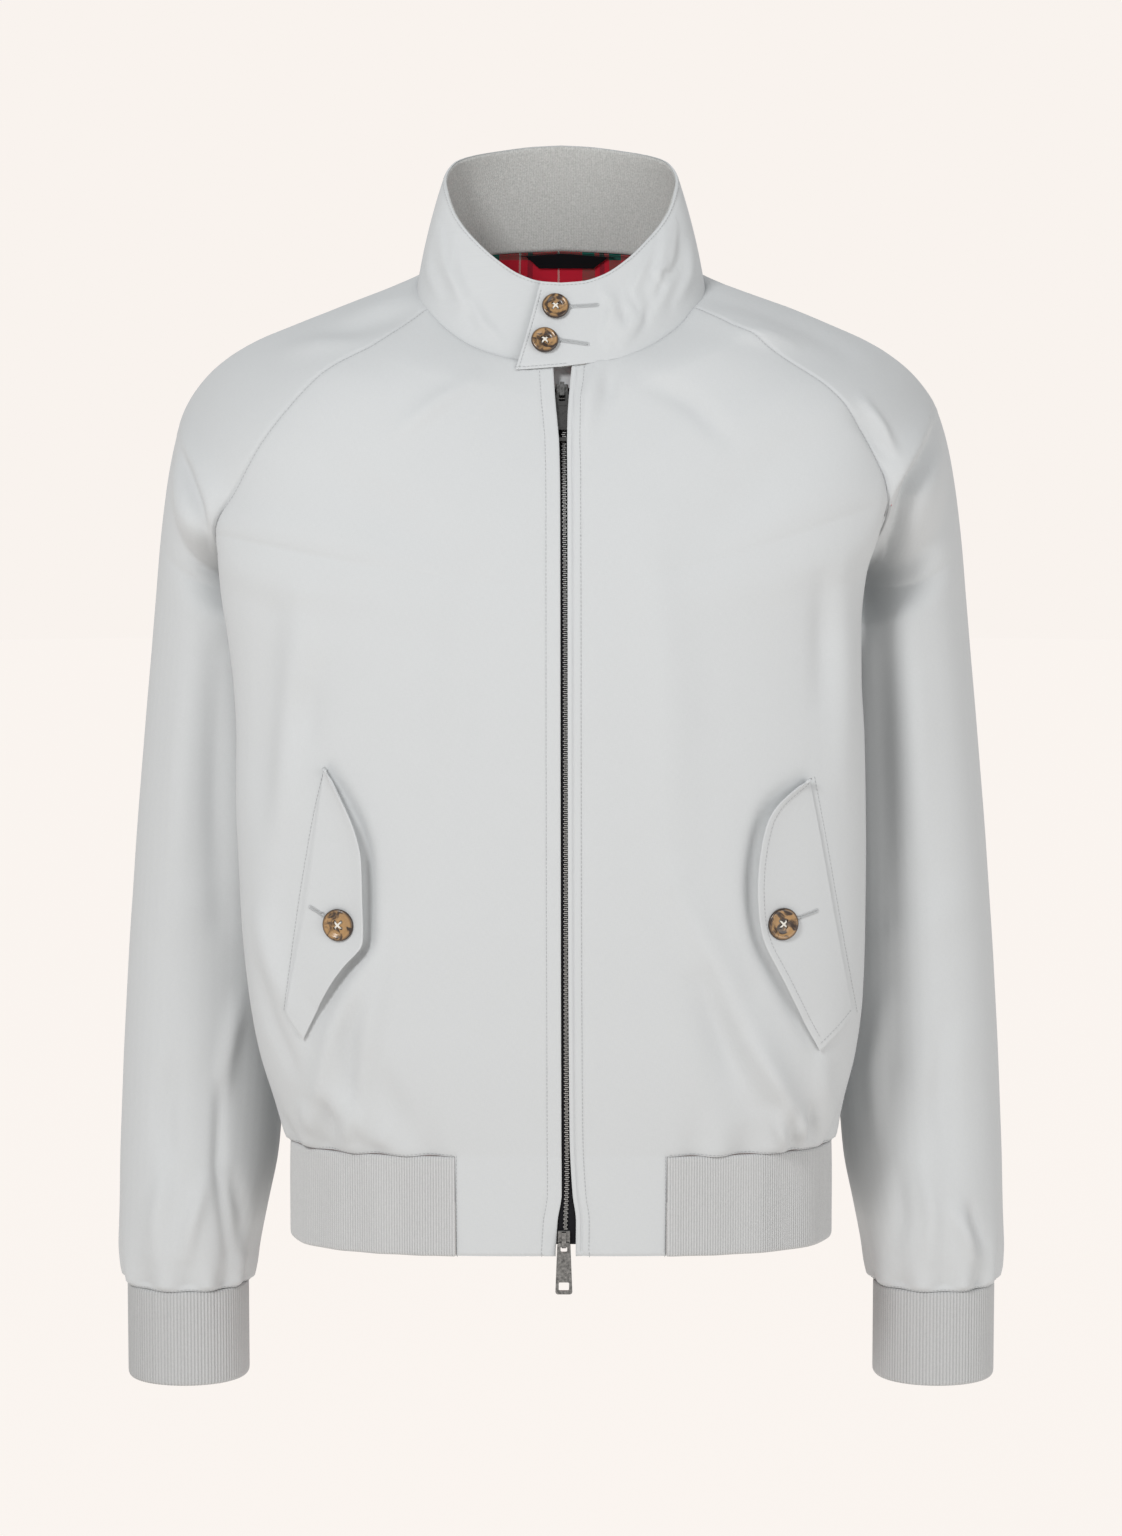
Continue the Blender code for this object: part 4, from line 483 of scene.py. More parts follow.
def smooth(xs, ys, x):
    """A curve through the points of a table that never swings past them."""
    step = np.diff(xs)
    slope = np.diff(ys) / step
    tangent = np.empty_like(ys)
    tangent[0], tangent[-1] = slope[0], slope[-1]
    before, after = slope[:-1], slope[1:]
    turning = before * after <= 0
    near, far = 2 * step[1:] + step[:-1], step[1:] + 2 * step[:-1]
    safe_before = np.where(turning, 1.0, before)
    safe_after = np.where(turning, 1.0, after)
    tangent[1:-1] = np.where(turning, 0.0, (near + far) / (near / safe_before + far / safe_after))
    x = np.clip(x, xs[0], xs[-1])
    i = np.clip(np.searchsorted(xs, x, "right") - 1, 0, len(xs) - 2)
    t = (x - xs[i]) / step[i]
    return (
        ys[i] * (1 + 2 * t) * (1 - t) ** 2
        + tangent[i] * step[i] * t * (1 - t) ** 2
        + ys[i + 1] * t * t * (3 - 2 * t)
        - tangent[i + 1] * step[i] * t * t * (1 - t)
    )


def read(source, key, at, *columns):
    return np.array([smooth(source[key], source[c], at) for c in columns])


def bezier(start, leave, arrive, end):
    t = np.linspace(0, 1, 25)[:, None]
    return start * (1 - t) ** 3 + 3 * leave * (1 - t) ** 2 * t + 3 * arrive * (1 - t) * t * t + end * t ** 3


def lengths(line):
    """How far along a line each of its points lies."""
    return np.concatenate([[0], np.cumsum(np.linalg.norm(np.diff(line, axis=0), axis=1))])


def spread(line, shares):
    """Points on a line at the given shares of its length."""
    length = lengths(line)
    return np.stack([np.interp(np.asarray(shares) * length[-1], length, c) for c in line.T], 1)


def longest(lines):
    return max(lengths(line)[-1] for line in lines)


def unit(v):
    return v / np.linalg.norm(v)


def units(v):
    return v / np.maximum(np.linalg.norm(v, axis=-1, keepdims=True), 1e-9)


def ease(t):
    t = np.clip(t, 0, 1)
    return t * t * (3 - 2 * t)


def nearest(points, spots):
    """How far each point lies from the nearest of some spots."""
    tree = KDTree(len(spots))
    for i, spot in enumerate(spots):
        tree.insert(spot, i)
    tree.balance()
    return np.array([tree.find(p)[2] for p in points])


def neck_point(angle):
    """A point of the neck seam."""
    turn = math.radians(angle)
    depth = NECK_FRONT if math.cos(turn) > 0 else NECK_BACK
    height = smooth(NECK_SEAM["angle"], NECK_SEAM["z"], abs(angle))
    return np.array([NECK_WIDTH / 2 * math.sin(turn), NECK_MIDDLE_Y - depth * math.cos(turn), height])


def run_on(first, first_row, source, row):
    """A point of a line that starts at a given point and runs on through the rows of a table."""
    rows = np.concatenate([[first_row], source["row"]])
    columns = zip(first, ("out", "y", "z"))
    return np.array([smooth(rows, np.concatenate([[start], source[c]]), row) for start, c in columns])


def seam_line(shared, corner, row):
    """A point of a raglan seam, which runs from its corner at the neck to the underarm."""
    rows = np.concatenate([[0], shared["row"], [UNDERARM]])
    found = []
    for first, c, last in zip(corner, ("out", "y", "z"), UNDERARM_POINT):
        found.append(smooth(rows, np.concatenate([[first], shared[c], [last]]), row))
    return np.array(found)


def front_raglan(side, row):
    return seam_line(RAGLAN[side], neck_point(FRONT_SEAM_ANGLE), row)


def back_raglan(row):
    return seam_line(BACK_RAGLAN, neck_point(BACK_SEAM_ANGLE), row)


def overarm(row):
    return run_on(neck_point(OVERARM_ANGLE), 0, OVERARM, row)


def zip_edge(side, z):
    return SIDES[side] * smooth(-ZIP_EDGE["z"], ZIP_EDGE[side], -z)


# ---------------------------------------------------------------- rows of the panels


def front_edge(side, row):
    """Where a row of the front turns: at the raglan seam, and further down at the side."""
    if row <= TURN_ROW:
        return front_raglan(side, row)
    return run_on(front_raglan(side, TURN_ROW), TURN_ROW, SIDE_EDGE[side], row)


def front_line(side, row):
    """A row of the front, from the zip to the edge where it turns."""
    y, z = read(FRONT_MIDDLE, "row", row, "y", "z")
    start = np.array([zip_edge(side, z), y, z])
    middle, edge_reach, *towards = read(FRONT_REACH, "row", row, "middle", "edge", "out", "y", "z")
    edge = front_edge(side, row)
    rise = (edge[2] - z) * 0.18
    return bezier(start, start + (middle, 0, rise), edge - unit(np.array(towards)) * edge_reach, edge)


def front_row(side, row, shares):
    points = spread(front_line(side, row), shares)
    if row >= 1:
        return points
    edge = zip_edge(side, FRONT_MIDDLE["z"][0]) / (NECK_WIDTH / 2)
    angles = np.linspace(math.degrees(math.asin(edge)), FRONT_SEAM_ANGLE, 40)
    neck = spread(np.array([neck_point(a) for a in angles]), shares)
    return points * row + neck * (1 - row)


def side_row(side, row, shares):
    """A row of the front from that edge back to the side seam."""
    edge = front_edge(side, row)
    if row <= TURN_ROW:
        return np.repeat(edge[None], len(shares), 0)
    seam = front_raglan(side, row) if row <= UNDERARM else read(SIDE_SEAM, "row", row, "out", "y", "z")
    share = min(1.0, np.linalg.norm(seam - edge) / 100)
    turn = np.array([0, share, 0])
    return spread(bezier(edge, edge + turn * SIDE_TURN_FRONT, seam - turn * SIDE_TURN_BACK, seam), shares)


def back_row(row, shares):
    """Half a row of the back, from its seam to the middle."""
    y, z = read(BACK_MIDDLE, "row", row, "y", "z")
    end = np.array([0.0, y, z])
    middle, edge_reach, *towards = read(BACK_REACH, "row", row, "middle", "edge", "out", "y", "z")
    start = back_raglan(row) if row <= UNDERARM else read(SIDE_SEAM, "row", row, "out", "y", "z")
    line = bezier(start, start - unit(np.array(towards)) * edge_reach, end + (middle, 0, 0), end)
    points = spread(line, shares)
    if row < 1:
        neck = np.array([neck_point(a) for a in np.linspace(BACK_SEAM_ANGLE, 180, 30)])
        points = points * row + spread(neck, shares) * (1 - row)
    return points


def whole_back_row(row, shares):
    half = back_row(row, shares)
    return np.concatenate([to_body("right", half), to_body("left", half[-2::-1])])


def sleeve_row(side, face, row, shares):
    """A row of half a sleeve, from its inner or raglan seam to the line over the arm."""
    forward = -1.0 if face == "front" else 1.0
    if row > UNDERARM:
        seam = read(INSEAM, "row", row, "out", "y", "z")
    else:
        seam = front_raglan(side, row) if face == "front" else back_raglan(row)
    names = ("over", "fall", "seam", "out", "y", "z")
    over_reach, fall, seam_reach, *towards = read(SLEEVE_REACH[face], "row", row, *names)
    top = overarm(row)
    line = bezier(
        seam,
        seam + unit(np.array(towards)) * seam_reach,
        top + np.array([0, forward, fall]) * over_reach,
        top,
    )
    points = spread(line, shares)
    if row < 1:
        from_angle = FRONT_SEAM_ANGLE if face == "front" else BACK_SEAM_ANGLE
        neck = np.array([neck_point(a) for a in np.linspace(from_angle, OVERARM_ANGLE, 30)])
        points = points * row + spread(neck, shares) * (1 - row)
    return points


def to_body(side, points):
    """Turn distances out from the middle into X."""
    return np.array(points) * (SIDES[side], 1, 1)


def places(length, near_start, near_end, count):
    """Shares of a length: even ones, with closer ones beside either end."""
    near_start, near_end = np.array(near_start) / length, 1 - np.array(near_end) / length
    first = near_start.max() if len(near_start) else 0.0
    last = near_end.min() if len(near_end) else 1.0
    even = np.linspace(first, last, count)
    return np.unique(np.round(np.concatenate([[0], near_start, even, near_end, [1]]), 6))


# ---------------------------------------------------------------- sheets of cloth


def crossings(points, faces):
    """Each point's normal, from the faces round it, as long as their area."""
    total = np.zeros_like(points)
    a, b, c, d = (points[faces[:, i]] for i in range(4))
    across = np.cross(c - a, d - b)
    for i in range(4):
        np.add.at(total, faces[:, i], across)
    return total


class Cloth:
    """A sheet of cloth: its points in grids that share their edges, and their places on the flat cloth."""

    def __init__(self, name, kind, turned):
        self.name, self.kind, self.turned = name, kind, turned
        self.grids, self.flats = [], []

    def add(self, grid, flat):
        self.grids.append(np.array(grid))
        self.flats.append(np.array(flat))

    def close(self):
        """Join the grids: points that lie together become one."""
        points = np.concatenate([g.reshape(-1, 3) for g in self.grids])
        flat = np.concatenate([f.reshape(-1, 2) for f in self.flats])
        keys = np.round(points * 500).astype(np.int64)
        _, first, number = np.unique(keys, axis=0, return_index=True, return_inverse=True)
        number = number.reshape(-1)
        self.points, self.flat, self.index, faces, at = points[first], flat[first], [], [], 0
        for grid in self.grids:
            rows, columns = grid.shape[:2]
            index = number[at:at + rows * columns].reshape(rows, columns)
            at += rows * columns
            self.index.append(index)
            quads = [index[:-1, :-1], index[1:, :-1], index[1:, 1:], index[:-1, 1:]]
            faces.append(np.stack([q.ravel() for q in quads], 1))
        faces = np.concatenate(faces)
        faces = faces[:, ::-1] if self.turned else faces
        same = [faces[:, i] == faces[:, (i + 1) % 4] for i in range(4)]
        self.faces = faces[sum(s.astype(int) for s in same) < 2]
        self.find_normals()
        a, b, c, d = (self.points[self.faces[:, i]] for i in range(4))
        self.area = np.linalg.norm(np.cross(c - a, d - b), axis=1).sum() / 2
        return self

    def find_normals(self):
        self.normals = units(crossings(self.points, self.faces))

    def cut(self):
        """The width and length of the flat cloth, from the longest row and the longest column."""
        wide, long = longest(self.grids[0]), longest(self.grids[0].transpose(1, 0, 2))
        if len(self.grids) == 3:
            wide += longest(self.grids[2])
            long += longest(self.grids[1].transpose(1, 0, 2))
        return wide, long

    def shape(self, number=0):
        """One grid's points and normals, in rows."""
        return self.points[self.index[number]], self.normals[self.index[number]]

    def rim(self):
        """The edges that have a face on one side only, in the order of their faces."""
        pairs = np.concatenate([self.faces[:, [i, (i + 1) % 4]] for i in range(4)])
        pairs = pairs[pairs[:, 0] != pairs[:, 1]]
        code = pairs[:, 0] * len(self.points) + pairs[:, 1]
        back = pairs[:, 1] * len(self.points) + pairs[:, 0]
        return pairs[~np.isin(code, back)]

    def from_rim(self, keep=None):
        """How far each point lies from the rim, or from those parts of it that are kept."""
        rim = self.rim()
        middle = (self.points[rim[:, 0]] + self.points[rim[:, 1]]) / 2
        if keep is not None:
            chosen = keep(middle)
            rim, middle = rim[chosen], middle[chosen]
        return nearest(self.points, np.concatenate([self.points[np.unique(rim)], middle]))


def share_normals(cloths):
    """Give sewn sheets the same normals at their seams."""
    points = np.concatenate([c.points for c in cloths])
    keys = np.round(points * 50).astype(np.int64)
    _, number = np.unique(keys, axis=0, return_inverse=True)
    number = number.reshape(-1)
    total = np.zeros((number.max() + 1, 3))
    np.add.at(total, number, np.concatenate([c.normals for c in cloths]))
    shared, at = units(total)[number], 0
    for cloth in cloths:
        cloth.normals = shared[at:at + len(cloth.points)]
        at += len(cloth.points)


def linked(name, data):
    """A new object in the scene."""
    made = bpy.data.objects.new(name, data)
    bpy.context.scene.collection.objects.link(made)
    return made


def plain_object(name, points, faces):
    """An object from points in millimetres and faces, some of which may name a point twice."""
    mesh = bpy.data.meshes.new(name)
    cleaned = [[int(n) for n in dict.fromkeys(f)] for f in faces]
    mesh.from_pydata((np.asarray(points) * MM).tolist(), [], cleaned)
    set_smooth(mesh, True)
    return linked(name, mesh)


def set_smooth(mesh, smoothly):
    mesh.polygons.foreach_set("use_smooth", [smoothly] * len(mesh.polygons))


def set_attribute(mesh, name, values):
    """Store a number or a vector for each point of a mesh."""
    kind, key = ("FLOAT", "value") if values.ndim == 1 else ("FLOAT_VECTOR", "vector")
    mesh.attributes.new(name, kind, "POINT").data.foreach_set(key, values.ravel())


def wall(cloth, thickness, materials, rim_material=None, edge=None):
    """Close a sheet into cloth of some thickness: the sheet is its outside.

    The materials are those of the outside and the inside. Those rim faces whose middle edge() picks
    take the rim's own material.
    """
    count = len(cloth.points)
    inner = cloth.points - cloth.normals * np.asarray(thickness).reshape(-1, 1)
    rim = cloth.rim()
    sides = np.stack([rim[:, 1], rim[:, 0], rim[:, 0] + count, rim[:, 1] + count], 1)
    faces = np.concatenate([cloth.faces, cloth.faces[:, ::-1] + count, sides])
    made = plain_object(cloth.name, np.concatenate([cloth.points, inner]), faces)
    mesh = made.data
    for material in materials + ([rim_material] if rim_material else []):
        mesh.materials.append(material)
    slot = np.zeros(len(faces), int)
    slot[len(cloth.faces):2 * len(cloth.faces)] = len(materials) - 1
    if rim_material:
        middle = (cloth.points[rim[:, 0]] + cloth.points[rim[:, 1]]) / 2
        slot[2 * len(cloth.faces):] = np.where(edge(middle), len(materials), 0)
    mesh.polygons.foreach_set("material_index", slot)
    lay_flat(mesh, np.concatenate([cloth.flat, cloth.flat]))
    sharpen(mesh, rim, count)
    return made


def lay_flat(mesh, flat, scale=MM):
    """The mesh's UV map, from each point's place on the flat cloth in millimetres."""
    corner = np.empty(len(mesh.loops), int)
    mesh.loops.foreach_get("vertex_index", corner)
    mesh.uv_layers.new(name="flat").data.foreach_set("uv", (flat * scale)[corner].ravel())


def sharpen(mesh, rim, count):
    """Keep the two edges of a rim sharp."""
    ends = np.empty(len(mesh.edges) * 2, int)
    mesh.edges.foreach_get("vertices", ends)
    ends = np.sort(ends.reshape(-1, 2), 1)
    rim = np.sort(rim, 1)
    size = count * 2
    sharp = np.concatenate([rim[:, 0] * size + rim[:, 1], (rim[:, 0] + count) * size + rim[:, 1] + count])
    marks = mesh.attributes.new("sharp_edge", "BOOLEAN", "EDGE")
    marks.data.foreach_set("value", np.isin(ends[:, 0] * size + ends[:, 1], sharp))


# ---------------------------------------------------------------- folds


def fold_height(kind, points, normals):
    """How far each point stands out in the folds of its kind of piece."""
    height = np.zeros(len(points))
    flat = points[:, [0, 2]]
    facing = np.clip(np.abs(normals[:, 1]) * 2.0, 0, 1)
    for face, on in (("front", normals[:, 1] < 0), ("back", normals[:, 1] >= 0)):
        for width, other_width, out, *line in FOLDS[kind + " " + face]:
            line = np.array(line, float)
            reach = 3 * max(width, other_width)
            low, high = line.min(0) - reach, line.max(0) + reach
            near = on & np.all((flat > low) & (flat < high), axis=1)
            if not near.any():
                continue
            off, along = off_line(flat[near], line)
            size = np.where(off > 0, width, other_width) * FOLD_SHARPNESS
            taper = FOLD_END + (1 - FOLD_END) * np.sin(math.pi * np.clip(along, 0.02, 0.98))
            gain = FOLD_GAIN[abs(out) > MAIN_FOLD]
            height[near] += facing[near] * out * gain * taper * np.exp(-((off / size) ** 2))
    return height


def off_line(flat, line):
    """How far points lie off a line, signed by side, and how far along it, as a share."""
    place = lengths(line)
    best = np.full(len(flat), 1e9)
    across, along = np.zeros_like(best), np.zeros_like(best)
    for i in range(len(line) - 1):
        way = line[i + 1] - line[i]
        t = np.clip((flat - line[i]) @ way / (way @ way), 0, 1)
        off = flat - line[i] - t[:, None] * way
        away = np.linalg.norm(off, axis=1)
        closer = away < best
        best = np.where(closer, away, best)
        across = np.where(closer, np.sign(way[0] * off[:, 1] - way[1] * off[:, 0]), across)
        along = np.where(closer, (place[i] + t * (place[i + 1] - place[i])) / place[-1], along)
    return best * across, along


def armpit_hollow(points, normals):
    """How far a sleeve is pushed back beyond the crease where the shoulder laps over the arm."""
    depth = np.zeros(len(points))
    for side, (deep, width, ease_in, ease_out, *line) in ARMPITS.items():
        off, along = off_line(points[:, [0, 2]], np.array(line, float))
        off *= SIDES[side]
        ends = ease(along / ease_in) * ease((1 - along) / ease_out)
        here = deep * ease((off + 0.5) / 3) * np.exp(-(np.maximum(off, 0) / width) ** 2) * ends
        depth += np.where((normals[:, 1] < 0) & (points[:, 0] * SIDES[side] > 0), here, 0)
    return depth


def from_raglan(points):
    """How far points lie from the raglan seams."""
    rows = np.linspace(0, UNDERARM, 161)
    return nearest(points, np.concatenate([
        to_body(side, line)
        for side in SIDES
        for line in ([front_raglan(side, row) for row in rows], [back_raglan(row) for row in rows])
    ]))


def cuff_gathers(points):
    """How far the sleeves stand out in their gathers above the cuffs."""
    dx = np.abs(points[:, 0]) - CUFF_MIDDLE[0]
    dy = points[:, 1] - CUFF_MIDDLE[1]
    angle = np.arctan2(dy, dx)
    above = points[:, 2] - CUFF_SEAM_Z
    fade = np.exp(-above / CUFF_GATHER_LENGTH) * np.clip(above / GATHER_START, 0.25, 1)
    wave = np.cos(CUFF_GATHERS * angle + 0.9 * np.sin(2 * angle + np.sign(points[:, 0])))
    return CUFF_GATHER_HEIGHT * wave * fade * (above < CUFF_GATHER_REACH)


def hem_gathers(points):
    """The same of the body above the knit hem."""
    around = np.arctan2(points[:, 0] * 0.7, -points[:, 1]) * GATHER_ROUND
    above = points[:, 2] - HEM_SEAM_Z
    beside_panel = np.clip((np.abs(points[:, 0]) - HEM_PANEL_HALF) / 20, 0, 1)
    fade = np.exp(-np.abs(above) / HEM_GATHER_LENGTH) * np.where(points[:, 1] > 0, 1, beside_panel)
    wave = np.cos(2 * math.pi * around / HEM_GATHER_PITCH + 1.3 * np.sin(around / 47))
    return HEM_GATHER_HEIGHT * wave * fade * np.clip(above / GATHER_START, 0.2, 1)


def fold(cloth):
    """Move a panel's points into its folds and gathers."""
    height = fold_height(cloth.kind, cloth.points, cloth.normals)
    if cloth.kind in ("body", "sleeve"):
        seam = from_raglan(cloth.points)
        height *= ease(seam / FOLD_SEAM_MARGIN - 0.1)
        height += fold_height("shell", cloth.points, cloth.normals)
        height += (cuff_gathers if cloth.kind == "sleeve" else hem_gathers)(cloth.points)
    moved = cloth.points + cloth.normals * height[:, None]
    if cloth.kind == "sleeve":
        moved[:, 1] += armpit_hollow(cloth.points, cloth.normals) * ease(seam / ARMPIT_SEAM_MARGIN)
    cloth.points = moved


def dip(cloth, away, depth, width, at=0.0):
    """Sink the cloth in a channel some way off a line."""
    cloth.points = cloth.points - cloth.normals * (depth * np.exp(-(((away - at) / width) ** 2)))[:, None]


# ---------------------------------------------------------------- lines of sewing


def beside(grid, normals, away, from_end=False):
    """The line that crosses the rows of a grid at a distance from their first or last point."""
    line, outs = [], []
    for row, out in zip(grid, normals):
        if from_end:
            row, out = row[::-1], out[::-1]
        length = lengths(row)
        if length[-1] < away * 1.5:
            continue
        line.append([np.interp(away, length, c) for c in row.T])
        outs.append([np.interp(away, length, c) for c in out.T])
    return np.array(line), units(np.array(outs))


def along(grid, normals, away, from_end=False):
    """The same across the columns of a grid."""
    return beside(grid.transpose(1, 0, 2), normals.transpose(1, 0, 2), away, from_end)


def sew(line, outs):
    """Keep a line of running stitches, just proud of the cloth."""
    if len(line) > 1:
        STITCH_LINES.append((line + outs * STITCH_LIFT, outs, units(np.gradient(line, axis=0))))


def stitch_mesh(name, lines):
    """Lines of sewing as one mesh of edges, with the directions of their stitches."""
    points = np.concatenate([line for line, _, _ in lines]) * MM
    edges, at = [], 0
    for line, _, _ in lines:
        edges += [(at + i, at + i + 1) for i in range(len(line) - 1)]
        at += len(line)
    mesh = bpy.data.meshes.new(name)
    mesh.from_pydata(points.tolist(), edges, [])
    for label, column in (("out", 1), ("along", 2)):
        set_attribute(mesh, label, np.concatenate([line[column] for line in lines]))
    return linked(name, mesh)


# ---------------------------------------------------------------- node trees


def node(tree, kind, inputs=None, **settings):
    """A node with its settings, and its inputs given as values or as sockets to link."""
    made = tree.nodes.new(kind)
    for key, value in settings.items():
        setattr(made, key, value)
    for key, value in (inputs or {}).items():
        if isinstance(value, bpy.types.NodeSocket):
            tree.links.new(value, made.inputs[key])
        else:
            made.inputs[key].default_value = value
    return made


def result(tree, kind, inputs=None, **settings):
    """The first output of a new node."""
    return node(tree, kind, inputs, **settings).outputs[0]


def maths(tree, operation, *values):
    return result(tree, "ShaderNodeMath", dict(enumerate(values)), operation=operation)


def scaled(tree, vector, size):
    return result(tree, "ShaderNodeVectorMath", {0: vector, "Scale": size}, operation="SCALE")


def stretched(tree, vector, sizes):
    return result(tree, "ShaderNodeVectorMath", {0: vector, 1: sizes}, operation="MULTIPLY")


def noise(tree, place, scale, detail, **more):
    return result(tree, "ShaderNodeTexNoise", {"Vector": place, "Scale": scale, "Detail": detail, **more})


def widened(tree, value, low, high, **settings):
    """A value whose range from low to high is spread over 0 to 1."""
    inputs = {"Value": value, "From Min": low, "From Max": high}
    return result(tree, "ShaderNodeMapRange", inputs, **settings)


def new_tree(name, kind, inputs, outputs):
    """A node group and the sockets that it is given. A socket has a label, a kind and a default."""
    tree = bpy.data.node_groups.new(name, kind)
    for way, sockets in (("INPUT", inputs), ("OUTPUT", outputs)):
        for label, socket, value in sockets:
            made = tree.interface.new_socket(label, in_out=way, socket_type="NodeSocket" + socket)
            if value is not None:
                made.default_value = value
    return tree, node(tree, "NodeGroupInput").outputs


def geometry_tree(name, *inputs):
    """A tree from geometry to geometry, with a material as its last setting."""
    through = ("Geometry", "Geometry", None)
    return new_tree(name, "GeometryNodeTree", [through, *inputs, ("Material", "Material", None)], [through])


def surface_group(name, outputs, **settings):
    """A shader group from a place on the surface and some numbers to other numbers."""
    numbers = [(label, "Float", value) for label, value in settings.items()]
    given = [("Vector", "Vector", None), *numbers]
    return new_tree(name, "ShaderNodeTree", given, [(label, "Float", None) for label in outputs])


def attribute(tree, name, kind="FLOAT_VECTOR"):
    return result(tree, "GeometryNodeInputNamedAttribute", {"Name": name}, data_type=kind)


def finish_tree(tree, geometry, material):
    """Every tree ends in real geometry with its material set."""
    real = result(tree, "GeometryNodeRealizeInstances", {"Geometry": geometry})
    coated = result(tree, "GeometryNodeSetMaterial", {"Geometry": real, "Material": material})
    node(tree, "NodeGroupOutput", {0: coated})
    return tree


def laid_along(tree, given, piece, along_it):
    """A piece laid at even steps along lines of edges, turned as their attributes say."""
    curve = result(tree, "GeometryNodeMeshToCurve", {"Mesh": given["Geometry"]})
    steps = {"Curve": curve, "Length": given["Pitch"]}
    spaced = result(tree, "GeometryNodeResampleCurve", steps, mode="LENGTH")
    axes = {"Primary Axis": along_it, "Secondary Axis": attribute(tree, "out")}
    turn = result(tree, "FunctionNodeAxesToRotation", axes, primary_axis="X", secondary_axis="Z")
    laid = {"Points": spaced, "Instance": piece, "Rotation": turn}
    return finish_tree(tree, result(tree, "GeometryNodeInstanceOnPoints", laid), given["Material"])


def stitch_tree():
    """Threads laid at even steps along lines of sewing."""
    tree, given = geometry_tree(
        "Sewn stitches",
        ("Pitch", "Float", 0.0026), ("Length", "Float", 0.0021), ("Thickness", "Float", 0.0004),
    )
    ball = result(tree, "GeometryNodeMeshUVSphere", {"Segments": 5, "Rings": 4, "Radius": 0.5})
    soft = result(tree, "GeometryNodeSetShadeSmooth", {"Geometry": ball})
    sizes = {"X": given["Length"], "Y": given["Thickness"], "Z": given["Thickness"]}
    size = result(tree, "ShaderNodeCombineXYZ", sizes)
    thread = result(tree, "GeometryNodeTransform", {"Geometry": soft, "Scale": size})
    return laid_along(tree, given, thread, attribute(tree, "along"))


def teeth_tree():
    """Zip teeth along a line, in turn from one tape and the other."""
    tree, given = geometry_tree("Zip teeth", ("Pitch", "Float", 0.0013), ("Tooth", "Object", None))
    number = result(tree, "GeometryNodeInputIndex")
    odd = maths(tree, "SUBTRACT", maths(tree, "MULTIPLY", maths(tree, "MODULO", number, 2.0), 2.0), 1.0)
    sideways = scaled(tree, attribute(tree, "along"), odd)
    tooth = node(tree, "GeometryNodeObjectInfo", {"Object": given["Tooth"]}).outputs["Geometry"]
    return laid_along(tree, given, tooth, sideways)


def rib_tree():
    """Raises rounded ribs on a knit band, from how far round it each point lies."""
    tree, given = geometry_tree(
        "Knit ribs",
        ("Pitch", "Float", 0.002), ("Relief", "Float", 0.0006), ("Fullness", "Float", 0.7),
    )
    phase = maths(tree, "DIVIDE", attribute(tree, "around", "FLOAT"), given["Pitch"])
    wave = maths(tree, "ABSOLUTE", maths(tree, "SINE", maths(tree, "MULTIPLY", phase, math.pi)))
    height = maths(tree, "MULTIPLY", maths(tree, "POWER", wave, given["Fullness"]), given["Relief"])
    move = scaled(tree, attribute(tree, "out"), height)
    raised = result(tree, "GeometryNodeSetPosition", {"Geometry": given["Geometry"], "Offset": move})
    return finish_tree(tree, raised, given["Material"])


def as_evaluated(made):
    """A plain mesh of what an object's modifiers give."""
    bpy.context.view_layer.update()
    ready = made.evaluated_get(bpy.context.evaluated_depsgraph_get())
    return bpy.data.meshes.new_from_object(ready)


def grow(source, name, tree_name, build_tree, **values):
    """Run a node tree on an object and keep the outcome as a plain mesh of its own."""
    tree = bpy.data.node_groups.get(tree_name) or build_tree()
    step = source.modifiers.new("pattern", "NODES")
    step.node_group = tree
    sockets = {s.name: s.identifier for s in tree.interface.items_tree if s.in_out == "INPUT"}
    for label, value in values.items():
        step[sockets[label]] = value
    mesh = as_evaluated(source)
    bpy.data.objects.remove(source)
    mesh.name = name
    return linked(name, mesh)


# ---------------------------------------------------------------- surface effects


def weave_group():
    """Crossed threads of uneven strength, and the slight shade they give."""
    group, given = surface_group("Woven cloth", ("Height", "Shade"), Threads=2600.0, Slub=0.14)
    crossed = [
        noise(group, stretched(group, given["Vector"], stretch), given["Threads"], 1.0)
        for stretch in ((1.0, 0.12, 1.0), (0.12, 1.0, 1.0))
    ]
    both = maths(group, "MULTIPLY", maths(group, "ADD", *crossed), 0.5)
    slow = noise(group, given["Vector"], 55.0, 4.0)
    shade = maths(group, "ADD", both, maths(group, "MULTIPLY", slow, given["Slub"]))
    node(group, "NodeGroupOutput", {"Height": both, "Shade": shade})


def knit_group():
    """Loops of yarn: small slanting stitches that change sides along every rib, and painted shade between
    the ribs.
    """
    group, given = surface_group("Knit loops", ("Height", "Shade"), Rib=0.002, Loop=0.0014)
    split = node(group, "ShaderNodeSeparateXYZ", {0: given["Vector"]}).outputs
    across = maths(group, "FRACT", maths(group, "DIVIDE", split["X"], given["Rib"]))
    slant = maths(group, "MULTIPLY", maths(group, "ABSOLUTE", maths(group, "SUBTRACT", across, 0.5)), 1.2)
    down = maths(group, "ADD", maths(group, "DIVIDE", split["Y"], given["Loop"]), slant)
    loop = maths(group, "SINE", maths(group, "MULTIPLY", down, 2 * math.pi))
    # painted shade: the colour darkens in the grooves between the ribs
    groove_shade = maths(group, "SINE", maths(group, "MULTIPLY", across, math.pi))
    fuzz = noise(group, given["Vector"], 2200.0, 2.0)
    height = maths(group, "ADD", maths(group, "MULTIPLY", loop, 0.25), fuzz)
    node(group, "NodeGroupOutput", {"Height": height, "Shade": groove_shade})


